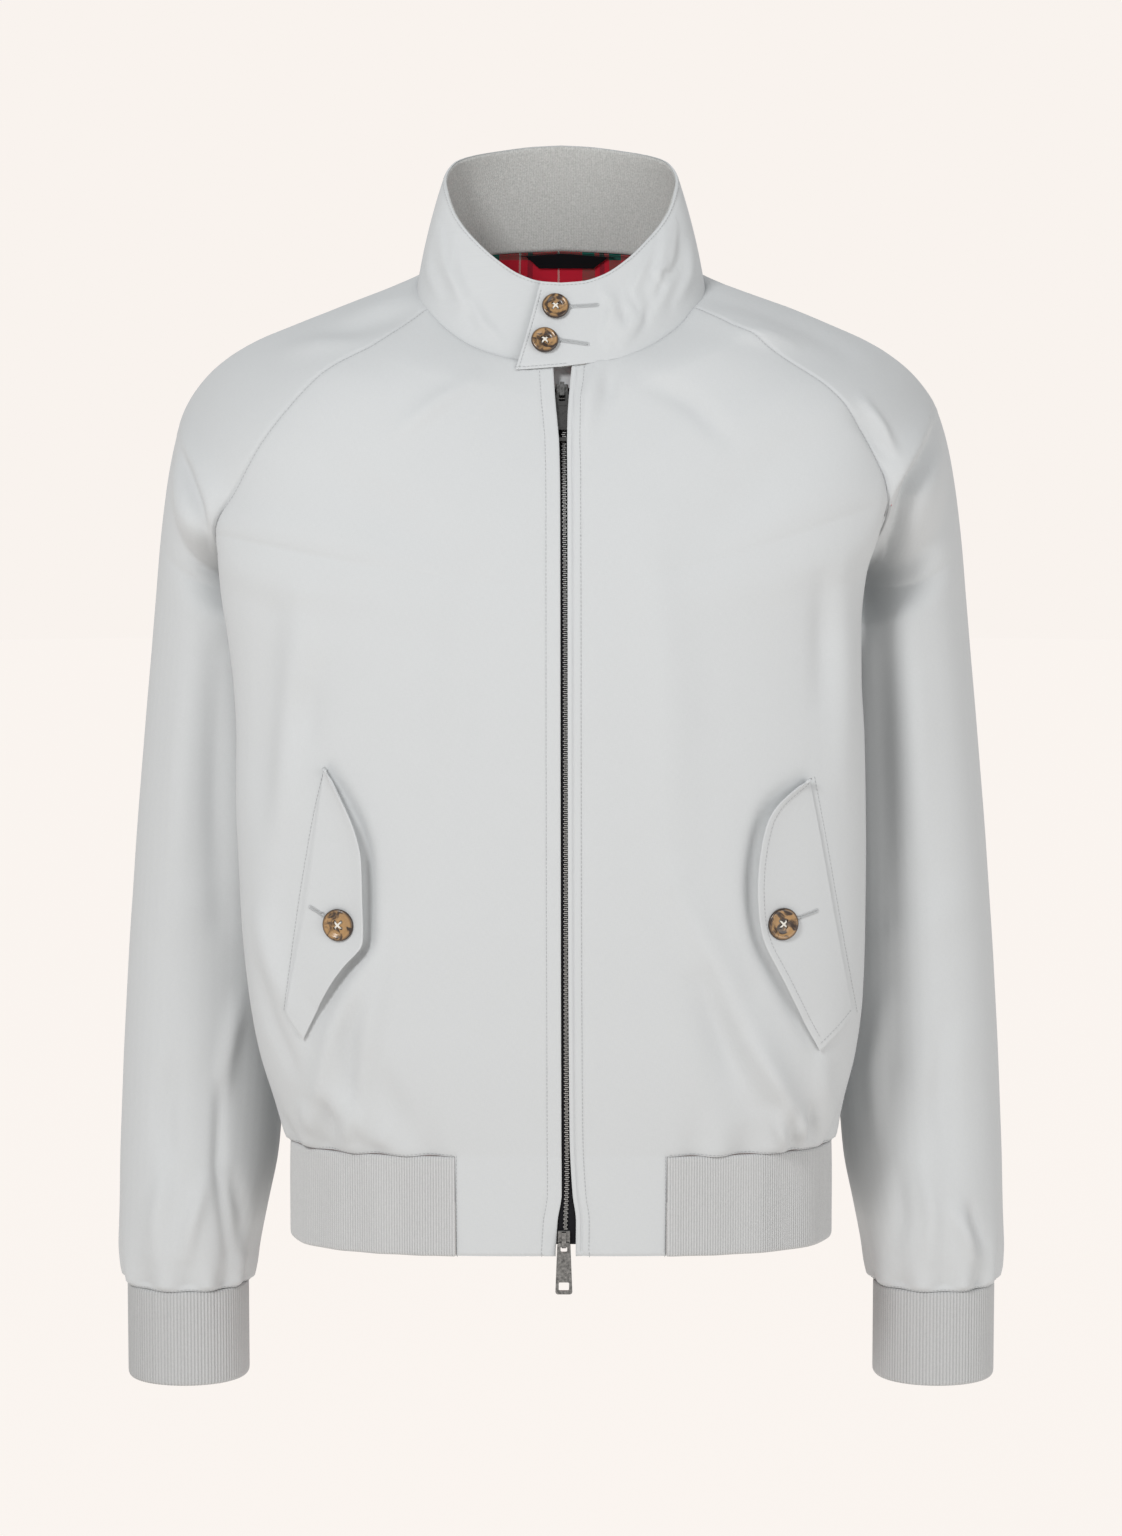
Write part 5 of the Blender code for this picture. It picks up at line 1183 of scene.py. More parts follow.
def wear_group():
    """Uneven tarnish and fine scratches for metal and horn."""
    group, given = surface_group("Wear", ("Mask", "Height"), Scale=500.0, Scratches=6.0)
    cloud = noise(group, given["Vector"], given["Scale"], 4.0, Roughness=0.6)
    way = result(group, "ShaderNodeCombineXYZ", {"X": given["Scratches"], "Y": 1.0, "Z": 1.0})
    fine = noise(group, stretched(group, given["Vector"], way), 1500.0, 2.0)
    node(group, "NodeGroupOutput", {"Mask": widened(group, cloud, 0.35, 0.7), "Height": fine})


def group_node(tree, name, inputs):
    return node(tree, "ShaderNodeGroup", inputs, node_tree=bpy.data.node_groups[name]).outputs


def flat_place(tree):
    """The place on the flat cloth."""
    return node(tree, "ShaderNodeTexCoord").outputs["UV"]


def own_place(tree):
    """The place in the object's own frame."""
    return node(tree, "ShaderNodeTexCoord").outputs["Object"]


def blend_colours(tree, share, first, second):
    mix = node(tree, "ShaderNodeMix", {"Factor": share}, data_type="RGBA")
    for socket, value in ((mix.inputs[6], first), (mix.inputs[7], second)):
        if isinstance(value, bpy.types.NodeSocket):
            tree.links.new(value, socket)
        else:
            socket.default_value = (*value[:3], 1)
    return mix.outputs[2]


def new_material(name, roughness, **fixed):
    """A material's tree and shader, whose other fixed inputs are named with _ for each space."""
    made = bpy.data.materials.new(name)
    made.use_nodes = True
    shader = made.node_tree.nodes["Principled BSDF"]
    shader.inputs["Roughness"].default_value = roughness
    for label, value in fixed.items():
        shader.inputs[label.replace("_", " ")].default_value = value
    return made.node_tree, shader


def paint(tree, shader, share, first, second):
    """Colour a material: the first colour where the share is 0, the second where it is 1."""
    tree.links.new(blend_colours(tree, share, first, second), shader.inputs["Base Color"])


def bump(tree, shader, height, strength, distance):
    inputs = {"Height": height, "Strength": strength, "Distance": distance}
    tree.links.new(result(tree, "ShaderNodeBump", inputs), shader.inputs["Normal"])


def darker(colour, share):
    return tuple(c * share for c in colour)


def woven_material(
    name, colour, threads=2600.0, depth=0.00012, contrast=0.06, roughness=0.82, sheen=0.08, gloss=0.25
):
    """Plainly woven cloth or thread. Threads run to the metre, and depth is in metres."""
    tree, shader = new_material(
        name, roughness, Sheen_Weight=sheen, Sheen_Roughness=0.5, Specular_IOR_Level=gloss
    )
    weave = group_node(tree, "Woven cloth", {"Vector": flat_place(tree), "Threads": threads})
    paint(tree, shader, weave["Shade"], darker(colour, 1 - contrast), darker(colour, 1 + contrast))
    bump(tree, shader, weave["Height"], 0.35, depth)


def knit_material(name, colour, pitch, mottle=0.25):
    """Rib knit, darker between its ribs in painted shade, and mottled by its loops."""
    tree, shader = new_material(
        name, 0.92, Sheen_Weight=0.15, Sheen_Roughness=0.6, Specular_IOR_Level=0.15
    )
    knit = group_node(tree, "Knit loops", {"Vector": flat_place(tree), "Rib": pitch})
    speckle = widened(tree, noise(tree, own_place(tree), 900.0, 2.0), 0.3, 0.7)
    shown = result(tree, "ShaderNodeMix", {0: mottle, 2: knit["Shade"], 3: speckle}, data_type="FLOAT")
    # painted shade between the ribs, blended with a random speckle
    paint(tree, shader, shown, darker(colour, 0.72), darker(colour, 1.06))
    bump(tree, shader, knit["Height"], 0.5, 0.00025)


TARTAN_REPEAT = 0.084
TARTAN_TWILL = 0.0011
TARTAN_STRIPES = (  # where each stripe starts, as a share of the repeat
    (0.0, "red"), (0.17, "green"), (0.27, "red"), (0.31, "maroon"), (0.35, "red"), (0.39, "green"),
    (0.49, "red"), (0.66, "cream"), (0.675, "red"), (0.73, "maroon"), (0.77, "red"), (0.97, "cream"),
    (0.985, "red"),
)


def tartan_material(name, looks):
    """Warp and weft of the same uneven stripes, in a twill that shows half of each."""
    tree, shader = new_material(name, 0.7, Sheen_Weight=0.2, Specular_IOR_Level=0.25)
    split = node(tree, "ShaderNodeSeparateXYZ", {0: flat_place(tree)}).outputs
    stripes = [(start, (*getattr(looks, colour), 1)) for start, colour in TARTAN_STRIPES]
    ways = []
    for axis in ("X", "Y"):
        repeats = maths(tree, "ADD", maths(tree, "DIVIDE", split[axis], TARTAN_REPEAT), 10.0)
        ramp = node(tree, "ShaderNodeValToRGB", {"Fac": maths(tree, "FRACT", repeats)})
        ramp.color_ramp.interpolation = "CONSTANT"
        ends = ramp.color_ramp.elements
        for end, (position, colour) in zip(ends, stripes):
            end.position, end.color = position, colour
        for position, colour in stripes[2:]:
            ends.new(position).color = colour
        ways.append(ramp.outputs[0])
    twill = maths(tree, "DIVIDE", maths(tree, "ADD", split["X"], split["Y"]), TARTAN_TWILL)
    over = maths(tree, "GREATER_THAN", maths(tree, "FRACT", twill), 0.5)
    paint(tree, shader, over, *ways)
    bump(tree, shader, group_node(tree, "Woven cloth", {"Vector": flat_place(tree)})["Height"], 0.3, 0.0001)


def horn_material(name, amber, brown):
    """Polished horn: amber with dark clouds and a dark rim, under a clear gloss."""
    tree, shader = new_material(name, 0.34, Coat_Weight=0.3, Coat_Roughness=0.15)
    place = own_place(tree)
    cloud = noise(tree, place, 110.0, 3.0, Roughness=0.55, Distortion=1.6)
    clouded = widened(tree, cloud, 0.44, 0.6, interpolation_type="SMOOTHSTEP")
    away = node(tree, "ShaderNodeVectorMath", {0: flat_place(tree)}, operation="LENGTH").outputs["Value"]
    paint(tree, shader, maths(tree, "MAXIMUM", clouded, widened(tree, away, 0.8, 0.97)), amber, brown)
    wear = group_node(tree, "Wear", {"Vector": place, "Scale": 900.0})
    bump(tree, shader, wear["Height"], 0.06, 0.0001)


def metal_material(name, bright, dull):
    """Antique silver, darker where it has tarnished."""
    tree, shader = new_material(name, 0.35, Metallic=1.0)
    wear = group_node(tree, "Wear", {"Vector": own_place(tree)})
    paint(tree, shader, wear["Mask"], bright, dull)
    rough = result(tree, "ShaderNodeMapRange", {"Value": wear["Mask"], "To Min": 0.26, "To Max": 0.48})
    tree.links.new(rough, shader.inputs["Roughness"])
    bump(tree, shader, wear["Height"], 0.1, 0.0001)


def make_materials(looks):
    for name, build in (("Woven cloth", weave_group), ("Knit loops", knit_group), ("Wear", wear_group)):
        if name not in bpy.data.node_groups:
            build()
    shell, knit, black, silver = (tuple(getattr(looks, c)) for c in ("shell", "knit", "black", "silver"))
    woven_material("shell_cloth", shell)
    woven_material("edge_piping", tuple(looks.piping), contrast=0.03)
    woven_material("sleeve_lining", darker(shell, 0.8), threads=3000.0)
    woven_material("zip_tape_black", black, 1400.0, 0.0002, contrast=0.3, sheen=0.0, gloss=0.08)
    woven_material("label_black", black, 2000.0, contrast=0.25, roughness=0.7, sheen=0.0, gloss=0.08)
    # painted shade: the running stitches are darker than the shell, for the shade where they sink into the
    # cloth
    woven_material("thread", darker(shell, 0.74), threads=5000.0, contrast=0.1)
    woven_material("hole_thread", darker(shell, 0.96), threads=5000.0, contrast=0.12)
    # painted shade for the buttonhole slits
    woven_material("slit_shadow", darker(shell, 0.78), contrast=0.1)
    woven_material("button_thread", (0.72, 0.70, 0.64), threads=5000.0, contrast=0.15)
    knit_material("hem_knit", knit, 0.00176)
    knit_material("cuff_knit", darker(knit, 0.94), 0.0022)
    knit_material("collar_knit", tuple(looks.facing), 0.0015, 0.75)
    tartan_material("tartan_lining", looks)
    horn_material("horn", tuple(looks.amber), tuple(looks.brown))
    # painted light: the third silver is a brighter copy for the zip teeth, which get little light deep in
    # their slot
    for name, bright, dull in (
        # painted shade: the second silver is a darker copy for the upper pull, which lies in the shade
        # between the fronts
        ("antique_silver", 0.62, 0.2), ("dark_silver", 0.24, 0.12), ("bright_silver", 1.5, 1.0),
    ):
        metal_material(name, darker(silver, bright), darker(silver, dull))


def mat(name):
    return bpy.data.materials[name]


# ---------------------------------------------------------------- body panels and sleeves


def sampled(last):
    """The places of the rows of points from the neck to a row of the tables."""
    low, high = FINE_ROWS
    fine = np.linspace(low, high, round((high - low) * ROW_STEPS * 2) + 1)
    even = np.linspace(0, last, last * ROW_STEPS + 1)
    return np.unique(np.round(np.concatenate([even, fine[fine < last]]), 6))


def row_flats(grid, start=0.0, sign=1.0):
    """Places on the flat cloth: across by length along the row, down by height."""
    across = np.array([start + sign * lengths(row) for row in grid])
    return np.stack([across, grid[:, :, 2]], 2)


def front_cloth(side):
    """A front: the main grid, the plain cloth below it, and the turn to the side seam."""
    cloth = Cloth("front_" + side, "body", turned=side == "right")
    rows = sampled(HEM_ROW)
    line = front_row(side, HEM_ROW, np.linspace(0, 1, 400))
    panel = np.interp(HEM_PANEL_HALF, line[:200, 0], np.linspace(0, 1, 400)[:200])
    width = lengths(line)[-1] * panel
    inner = places(width, PLACKET_PLACES, EDGE_PLACES[:3], FRONT_COLUMNS // 3) * panel
    outer = np.linspace(panel, 1, FRONT_COLUMNS * 2 // 3)
    shares = np.concatenate([inner, outer[1:]])
    grid = np.array([to_body(side, front_row(side, row, shares)) for row in rows])
    flats = row_flats(grid)
    cloth.add(grid, flats)
    hem = to_body(side, grid[-1][: len(inner)])
    below = [to_body(side, hem)]
    for step in places(HEM_HEIGHT, EDGE_PLACES[:3], EDGE_PLACES, 20)[1:]:
        row = hem + np.array([0, HEM_TURN, -HEM_HEIGHT]) * step
        shift = zip_edge(side, row[0][2]) - hem[0][0]
        inward = (HEM_PANEL_HALF - hem[:, 0]) / (HEM_PANEL_HALF - hem[0][0])
        row[:, 0] = hem[:, 0] + shift * inward
        below.append(to_body(side, row))
    below = np.array(below)
    cloth.add(below, row_flats(below))
    turned_rows = rows[rows >= TURN_ROW]
    turn = np.array([
        to_body(side, side_row(side, row, np.linspace(0, 1, SIDE_COLUMNS + 1))) for row in turned_rows
    ])
    ends = flats[rows >= TURN_ROW][:, -1, 0]
    cloth.add(turn, row_flats(turn) + np.stack([ends, 0 * ends], 1)[:, None])
    return cloth.close()


def back_cloth(name="back", last=HEM_ROW):
    """The back, or a piece of its form from the neck to a row of the tables."""
    cloth = Cloth(name, "body", turned=True)
    length = lengths(back_row(12, np.linspace(0, 1, 60)))[-1]
    shares = places(length, EDGE_PLACES, (), BACK_COLUMNS)
    grid = np.array([whole_back_row(row, shares) for row in sampled(last)])
    flats = row_flats(grid)
    flats[:, :, 0] -= flats[:, len(shares) - 1, 0][:, None]
    cloth.add(grid, flats)
    return cloth.close()


def sleeve_cloth(side, face):
    """The front or the back half of a sleeve."""
    cloth = Cloth("sleeve_%s_%s" % (side, face), "sleeve", turned=(side == "right") == (face == "front"))
    shares = places(120.0, EDGE_PLACES, EDGE_PLACES[:3], SLEEVE_COLUMNS[face])
    grid = np.array([to_body(side, sleeve_row(side, face, row, shares)) for row in sampled(CUFF_ROW)])
    cloth.add(grid, row_flats(grid))
    return cloth.close()


def is_zip_edge(middle):
    return (np.abs(middle[:, 0]) < 12) & (middle[:, 1] < 0)


def shape_front(cloth):
    """Let a front give way under the free edge of its flap, and press it along its zip edge."""
    side = cloth.name.split("_")[1]
    UNDER_FLAPS[side] = copy.copy(cloth)
    free = rounded(xz(FLAP_FREE[side])) + np.array([-SIDES[side] * FLAP_HOLLOW_AT, 0])
    off, share = off_line(cloth.points[:, [0, 2]], free)
    hollow = (cloth.points[:, 1] < 0) * np.sin(math.pi * np.clip(share, 0.03, 0.97)) ** 0.5
    dip(cloth, off, FLAP_HOLLOW * hollow, FLAP_HOLLOW_WIDTH)
    edge = cloth.from_rim(is_zip_edge)
    dip(cloth, edge, STITCH_DIP, STITCH_DIP_WIDTH, PLACKET_STITCH)
    dip(cloth, edge, 0.5, EDGE_DIP_WIDTH)
    if side == "left":
        dip(cloth, edge, 0.9, EDGE_DIP_WIDTH, PLACKET_LIP)


def build_panels():
    """The shell: two fronts, the back and the four halves of the sleeves, all sewn together."""
    cloths = [front_cloth("right"), front_cloth("left"), back_cloth()]
    cloths += [sleeve_cloth(s, f) for s in SIDES for f in ("front", "back")]
    share_normals(cloths)
    for cloth in cloths:
        fold(cloth)
        dip(cloth, cloth.from_rim(lambda m: ~is_zip_edge(m)), SEAM_DIP, SEAM_DIP_WIDTH)
        if cloth.name.startswith("front"):
            shape_front(cloth)
        cloth.find_normals()
    share_normals(cloths)
    for cloth in cloths:
        slots = [mat("shell_cloth"), mat("tartan_lining" if cloth.kind == "body" else "sleeve_lining")]
        rim = (mat("edge_piping"), is_zip_edge) if cloth.name.startswith("front") else ()
        place_sheet(wall(cloth, SHELL, slots, *rim), cloth)
        sew_panel(cloth)


def sew_panel(cloth):
    """The rows of stitches that show on a panel."""
    grid, normals = cloth.shape()
    if cloth.name.startswith("front"):
        low, low_normals = cloth.shape(1)
        line, outs = beside(grid, normals, PLACKET_STITCH)
        low_line, low_outs = beside(low, low_normals, PLACKET_STITCH)
        sew(np.concatenate([line, low_line[1:]]), np.concatenate([outs, low_outs[1:]]))
        sew(*beside(low, low_normals, SEAM_STITCH, from_end=True))
        knit = np.abs(grid[-1, :, 0]) >= HEM_PANEL_HALF
        sew(*along(grid[:, knit], normals[:, knit], SEAM_STITCH, from_end=True))
        upper = slice(0, len(sampled(UNDERARM - 1)))
        sew(*beside(grid[upper], normals[upper], RAGLAN_STITCH, from_end=True))
        turn, turn_normals = cloth.shape(2)
        sew(*along(turn[8:], turn_normals[8:], SEAM_STITCH, from_end=True))
        return
    sew(*along(grid, normals, SEAM_STITCH, from_end=True))
    if cloth.name == "back":
        upper = slice(0, len(sampled(UNDERARM)))
        sew(*beside(grid[upper], normals[upper], RAGLAN_STITCH))
        sew(*beside(grid[upper], normals[upper], RAGLAN_STITCH, from_end=True))


# ---------------------------------------------------------------- placing


def place(made, name):
    """Put a piece on the body in the stead of its solid."""
    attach(made, BODY)
    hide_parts(name)


def add(made):
    """Put a piece without a solid on the body."""
    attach(made, BODY)


def declare(made, name, width, length, area=math.inf):
    """Work out a piece's area as a sheet of cloth from the size it was cut to, in millimetres; the result
    is not kept.
    """
    area = min(area, width * length) * MM * MM


def place_sheet(made, cloth):
    PANELS[cloth.name] = cloth
    place(made, cloth.name)
    declare(made, cloth.name, *cloth.cut(), cloth.area)


# ---------------------------------------------------------------- laying pieces on a sheet


IN_FRONT = -400.0  # a y in front of all cloth


class Surface:
    """A finished sheet, on which other pieces are laid."""

    def __init__(self, cloth):
        self.cloth = cloth
        faces = [list(dict.fromkeys(f)) for f in cloth.faces.tolist()]
        self.tree = BVHTree.FromPolygons([Vector(p) for p in cloth.points], faces)

    def at(self, x, z):
        """The point behind x and z, seen from the front, with the normal there."""
        spot, _, face, _ = self.tree.ray_cast(Vector((x, IN_FRONT, z)), Vector((0, 1, 0)))
        corners = self.cloth.faces[face]
        weight = 1 / (np.linalg.norm(self.cloth.points[corners] - np.array(spot), axis=1) + 0.3)
        return np.array(spot), unit(weight @ self.cloth.normals[corners])


def rounded(line, times=3):
    """A line with its corners cut again and again."""
    for _ in range(times):
        cut = np.stack([line[:-1] * 0.75 + line[1:] * 0.25, line[:-1] * 0.25 + line[1:] * 0.75], 1)
        line = np.concatenate([line[:1], cut.reshape(-1, line.shape[1]), line[-1:]])
    return line


def eased(grid, times):
    """Even out a grid of points, apart from its edges."""
    for _ in range(times):
        middle = grid[1:-1, 1:-1]
        round_it = grid[:-2, 1:-1] + grid[2:, 1:-1] + grid[1:-1, :-2] + grid[1:-1, 2:]
        grid[1:-1, 1:-1] = middle * 0.5 + round_it * 0.125
    return grid


def xz(source):
    """The points of an outline seen straight on."""
    return np.stack([source["x"], source["z"]], 1)


# ---------------------------------------------------------------- collar


def lap(angle):
    """How far the collar stands off its middle ring: out at the left end, in at the right end."""
    return COLLAR_LAP * (ease((50 - angle) / 30) - ease((angle - 310) / 30))


def collar_point(angle, height, depth=0.0):
    """A point of the collar at a share of its height, depth below its outer face."""
    past = max(0.0, -angle) / -TAB_ANGLE
    at = angle + TAB_SLANT * past * height
    half = at % 360 if at % 360 < 180 else 360 - at % 360
    turn = math.radians(at)
    foot = neck_point(half)
    foot[0] = NECK_WIDTH / 2 * math.sin(turn)
    back = math.cos(turn) < 0
    top = np.array([
        COLLAR_TOP_WIDTH / 2 * math.sin(turn),
        COLLAR_TOP_MIDDLE_Y - (COLLAR_TOP_BACK if back else COLLAR_TOP_FRONT) * math.cos(turn),
        smooth(COLLAR_EDGE["angle"], COLLAR_EDGE["z"], half),
    ])
    out = unit(np.array([math.sin(turn) / NECK_WIDTH, -math.cos(turn) / (NECK_FRONT * 2), 0]))
    bulge = COLLAR_BULGE * 4 * height * (1 - height) * (1 - abs(lap(at)) / COLLAR_LAP)
    stand = lap(at) + TAB_STAND * past * (1 - height)
    foot[2] -= TAB_DROP * past
    return foot * (1 - height) + top * height + out * (bulge + stand - depth), out


def collar_angles():
    """Even steps round the collar, with closer ones beside both ends."""
    step = np.array(EDGE_PLACES) / COLLAR_DEGREE
    even = np.linspace(TAB_ANGLE + step[-1], UNDERLAP_ANGLE - step[-1], COLLAR_COLUMNS)
    angles = np.concatenate([[TAB_ANGLE], TAB_ANGLE + step[:-1], even, UNDERLAP_ANGLE - step[:-1]])
    return np.unique(np.append(angles, UNDERLAP_ANGLE))


def build_collar():
    """The outer collar, with its wrinkles and its stitched edge."""
    cloth = Cloth("collar_outer", "collar", turned=False)
    shares = places(COLLAR_HEIGHT, EDGE_PLACES, EDGE_PLACES[:4], COLLAR_ROWS)
    heights = shares[::-1] * (1 + COLLAR_TUCK) - COLLAR_TUCK
    angles = collar_angles()
    grid = np.array([[collar_point(a, h)[0] for a in angles] for h in heights])
    cloth.add(grid, row_flats(grid))
    cloth.close()
    level = cloth.normals * (1, 1, 0)
    height = fold_height("collar", cloth.points, cloth.normals)
    cloth.points = cloth.points + level * height[:, None]
    edge = cloth.from_rim(on_free_edge)
    cloth.normals = units(level)
    dip(cloth, edge, 0.45, EDGE_DIP_WIDTH)
    dip(cloth, edge, STITCH_DIP, STITCH_DIP_WIDTH, COLLAR_STITCH)
    made = wall(cloth, COLLAR_CLOTH, [mat("shell_cloth")])
    cloth.find_normals()
    place_sheet(made, cloth)
    grid, normals = cloth.shape()
    sew(*along(grid, normals, COLLAR_STITCH))
    sew(*beside(grid[6:], normals[6:], COLLAR_STITCH))
    tab = angles < 2
    sew(*along(grid[:, tab], normals[:, tab], COLLAR_STITCH, from_end=True))


def on_free_edge(middle):
    """Whether a place on the collar's rim is on its top edge or round its tab, not on the neck seam."""
    out, forward = middle[:, 0] / NECK_WIDTH, (NECK_MIDDLE_Y - middle[:, 1]) / NECK_FRONT / 2
    angle = np.degrees(np.arctan2(out, forward))
    neck = np.array([neck_point(a)[2] for a in np.abs(angle)])
    return (middle[:, 2] > neck + 3) | ((middle[:, 1] < -70) & (middle[:, 0] < 5))


# ---------------------------------------------------------------- knit bands

# How far below its seam each row near an edge of a band lies, and how far in from its face.
BAND_EDGES = {
    "hem": ((0, 1.1), (0.5, 0.5), (1.2, 0.15), (2.5, 0), (61.5, 0), (63.2, 0.15), (64.3, 0.6), (65, 1.3)),
    "cuff": ((0, 1.2), (0.5, 0.6), (1.2, 0.2), (2.5, 0), (60.5, 0), (62.2, 0.15), (63.3, 0.6), (64, 1.3)),
}
BAND_STEP = 13.0  # between rows of points on the plain height of a band
RIB_AT_RIM = 0.4  # the share of its height that a rib keeps on the top row
COLLAR_RIB_HEIGHTS = (0.99, 0.96, 0.88, 0.7, 0.5, 0.3, 0.12, 0.0, -0.035)  # as shares of the collar's
COLLAR_RIB_THIN = 0.35  # how much thinner the facing is at its two edges


def level_normals(line, closed=False):
    """Level directions square to a line, to its left as it runs."""
    before, after = np.roll(line, 1, 0), np.roll(line, -1, 0)
    if not closed:
        before[0], after[-1] = line[0], line[-1]
    way = after - before
    return units(np.stack([way[:, 1], -way[:, 0], np.zeros(len(line))], 1))


def band_rows(kind):
    """The rows down a band: how far below its seam, and how far in from its face."""
    edges = BAND_EDGES[kind]
    top, foot = edges[3][0], edges[4][0]
    plain = [(drop, 0.0) for drop in np.arange(top + BAND_STEP, foot - BAND_STEP / 2, BAND_STEP)]
    return list(edges[:4]) + plain + list(edges[4:])


def band_faces(count, across, closed, length, drop):
    """The faces of a knit wall of some rows of points, outer ones first, and their corners laid flat."""
    wide, shift = across if closed else across - 1, count * across
    number = np.arange(shift).reshape(count, across)
    i, j = (n.ravel() for n in np.meshgrid(np.arange(count - 1), np.arange(wide), indexing="ij"))
    k = (j + 1) % across
    quads = np.stack([number[i, j], number[i + 1, j], number[i + 1, k], number[i, k]], 1)
    corners = ((j, i), (j, i + 1), (j + 1, i + 1), (j + 1, i))
    flats = np.stack([np.stack([length[a], drop[b]], 1) for a, b in corners], 1)
    j = np.arange(wide)
    k = (j + 1) % across
    top = np.stack([number[0, k], number[0, k] + shift, number[0, j] + shift, number[0, j]], 1)
    foot = np.stack([number[-1, j], number[-1, j] + shift, number[-1, k] + shift, number[-1, k]], 1)
    faces = [quads, quads[:, ::-1] + shift, top, foot]
    laid = [flats, flats[:, ::-1], flats[:wide][:, [3, 3, 0, 0]], flats[-wide:][:, [1, 1, 2, 2]]]
    for column, way in () if closed else ((0, 1), (across - 1, -1)):
        upper, lower = number[:-1, column], number[1:, column]
        faces.append(np.stack([upper, upper + shift, lower + shift, lower], 1)[:, ::way])
        edge = np.stack([length[[column] * (count - 1)], drop[:-1]], 1)
        laid.append(np.repeat(edge[:, None], 4, 1))
    return np.concatenate(faces), np.concatenate(laid)


def knit_band(name, rows, outs, pitch, relief, thickness, material, closed=False, inward=False):
    """Build a knit wall in the stead of its solid.

    Its outer rows are given evenly spaced, with the directions in which its ribs rise. An inward wall
    has its ribs on its inner side.
    """
    rows, outs = np.array(rows), np.array(outs)
    count, across = rows.shape[:2]
    inner = rows - outs * thickness
    inner[:, :, 2] = rows[:, :, 2]
    length = lengths(np.concatenate([rows[0], rows[0][:1]]) if closed else rows[0])
    faces, laid = band_faces(count, across, closed, length, rows[0, 0, 2] - rows[:, 0, 2])
    if inward:
        faces, laid = faces[:, ::-1], laid[:, ::-1]
    points = np.concatenate([rows.reshape(-1, 3), inner.reshape(-1, 3)])
    source = plain_object(name + "_source", points, faces)
    source.data.uv_layers.new(name="flat").data.foreach_set("uv", laid.reshape(-1) * MM)
    set_attribute(source.data, "around", np.tile(length[:across], count * 2) * MM)
    rise = np.zeros((count * across * 2, 3))
    rise[:count * across] = outs.reshape(-1, 3)
    rise[:across] *= RIB_AT_RIM
    set_attribute(source.data, "out", rise)
    made = grow(
        source, name, "Knit ribs", rib_tree,
        Pitch=length[-1] * MM / round(length[-1] / pitch), Relief=relief * MM,
        Fullness=COLLAR_RIB_FULLNESS if inward else RIB_FULLNESS, Material=mat(material),
    )
    place(made, name)
    return made


def rib_shares(line, pitch):
    """Even shares of a line's length, a few for each rib."""
    return np.linspace(0, 1, round(lengths(line)[-1] / pitch) * RIB_COLUMNS + 1)


def even_line(line, outs, shares):
    """A line's points at the given shares of its length, and the directions there."""
    length = lengths(line)
    outs = np.stack([np.interp(shares * length[-1], length, c) for c in outs.T], 1)
    return spread(line, shares), units(outs)


def sway(line, outs, size, pitch, seed):
    """Let a knit band wave in and out a little, unevenly."""
    place = lengths(line)
    wave = np.sin(2 * math.pi * place / pitch + 1.7 * np.sin(place / (pitch * 1.3) + seed) + seed)
    ends = np.clip(np.minimum(place, place[-1] - place) / 12, 0, 1)
    return line + outs * (wave * ends * size)[:, None]


def hem_line():
    """The hem seam from the left end of the knit round the back to its right end."""
    shares = np.linspace(0, 1, 200)
    ends = {}
    for side in SIDES:
        front = front_row(side, HEM_ROW, shares)
        panel = np.interp(HEM_PANEL_HALF, front[:100, 0], shares[:100])
        front = front_row(side, HEM_ROW, np.linspace(panel, 1, 120))
        turn = side_row(side, HEM_ROW, np.linspace(0, 1, 60))[1:]
        ends[side] = to_body(side, np.concatenate([front, turn]))
    back = whole_back_row(HEM_ROW, np.linspace(0, 1, 120))
    return np.concatenate([ends["left"], back[::-1][1:-1], ends["right"][::-1]])


def build_hem(sizes):
    """The knit hem, from the plain panel of one front round the back to the other."""
    pitch = sizes.hem_rib / MM
    line = hem_line()
    out = level_normals(line)
    out[0] = out[-1] = (0, -1, 0)
    line, out = even_line(line, out, rib_shares(line, pitch))
    rows = [
        sway(line, out, HEM_SWAY * min(1, drop / HEM_SWAY_START), HEM_SWAY_PITCH, HEM_SWAY_SEED)
        - out * (inset + HEM_RELIEF) - (0, 0, drop)
        for drop, inset in band_rows("hem")
    ]
    made = knit_band("hem_rib", rows, [out] * len(rows), pitch, HEM_RELIEF, HEM_KNIT, "hem_knit")
    declare(made, "hem_rib", lengths(line)[-1], HEM_HEIGHT)


def build_cuff(side, sizes):
    """A knit cuff, closed all round."""
    pitch = sizes.cuff_rib / MM
    shares = np.linspace(0, 1, 90)
    front, back = (to_body(side, sleeve_row(side, face, CUFF_ROW, shares)) for face in ("front", "back"))
    ring = np.concatenate([front, back[::-1][1:]])
    ring = ring[::-1] if side == "right" else ring
    out = level_normals(ring[:-1], closed=True)
    ring, out = even_line(ring, np.concatenate([out, out[:1]]), rib_shares(ring, pitch))
    ring, out = ring[:-1], out[:-1]
    rows = [ring - out * (inset + CUFF_RELIEF) - (0, 0, drop) for drop, inset in band_rows("cuff")]
    made = knit_band(
        "cuff_" + side, rows, [out] * len(rows), pitch, CUFF_RELIEF, CUFF_KNIT, "cuff_knit", closed=True
    )
    declare(made, "cuff_" + side, lengths(ring)[-1], CUFF_HEIGHT)


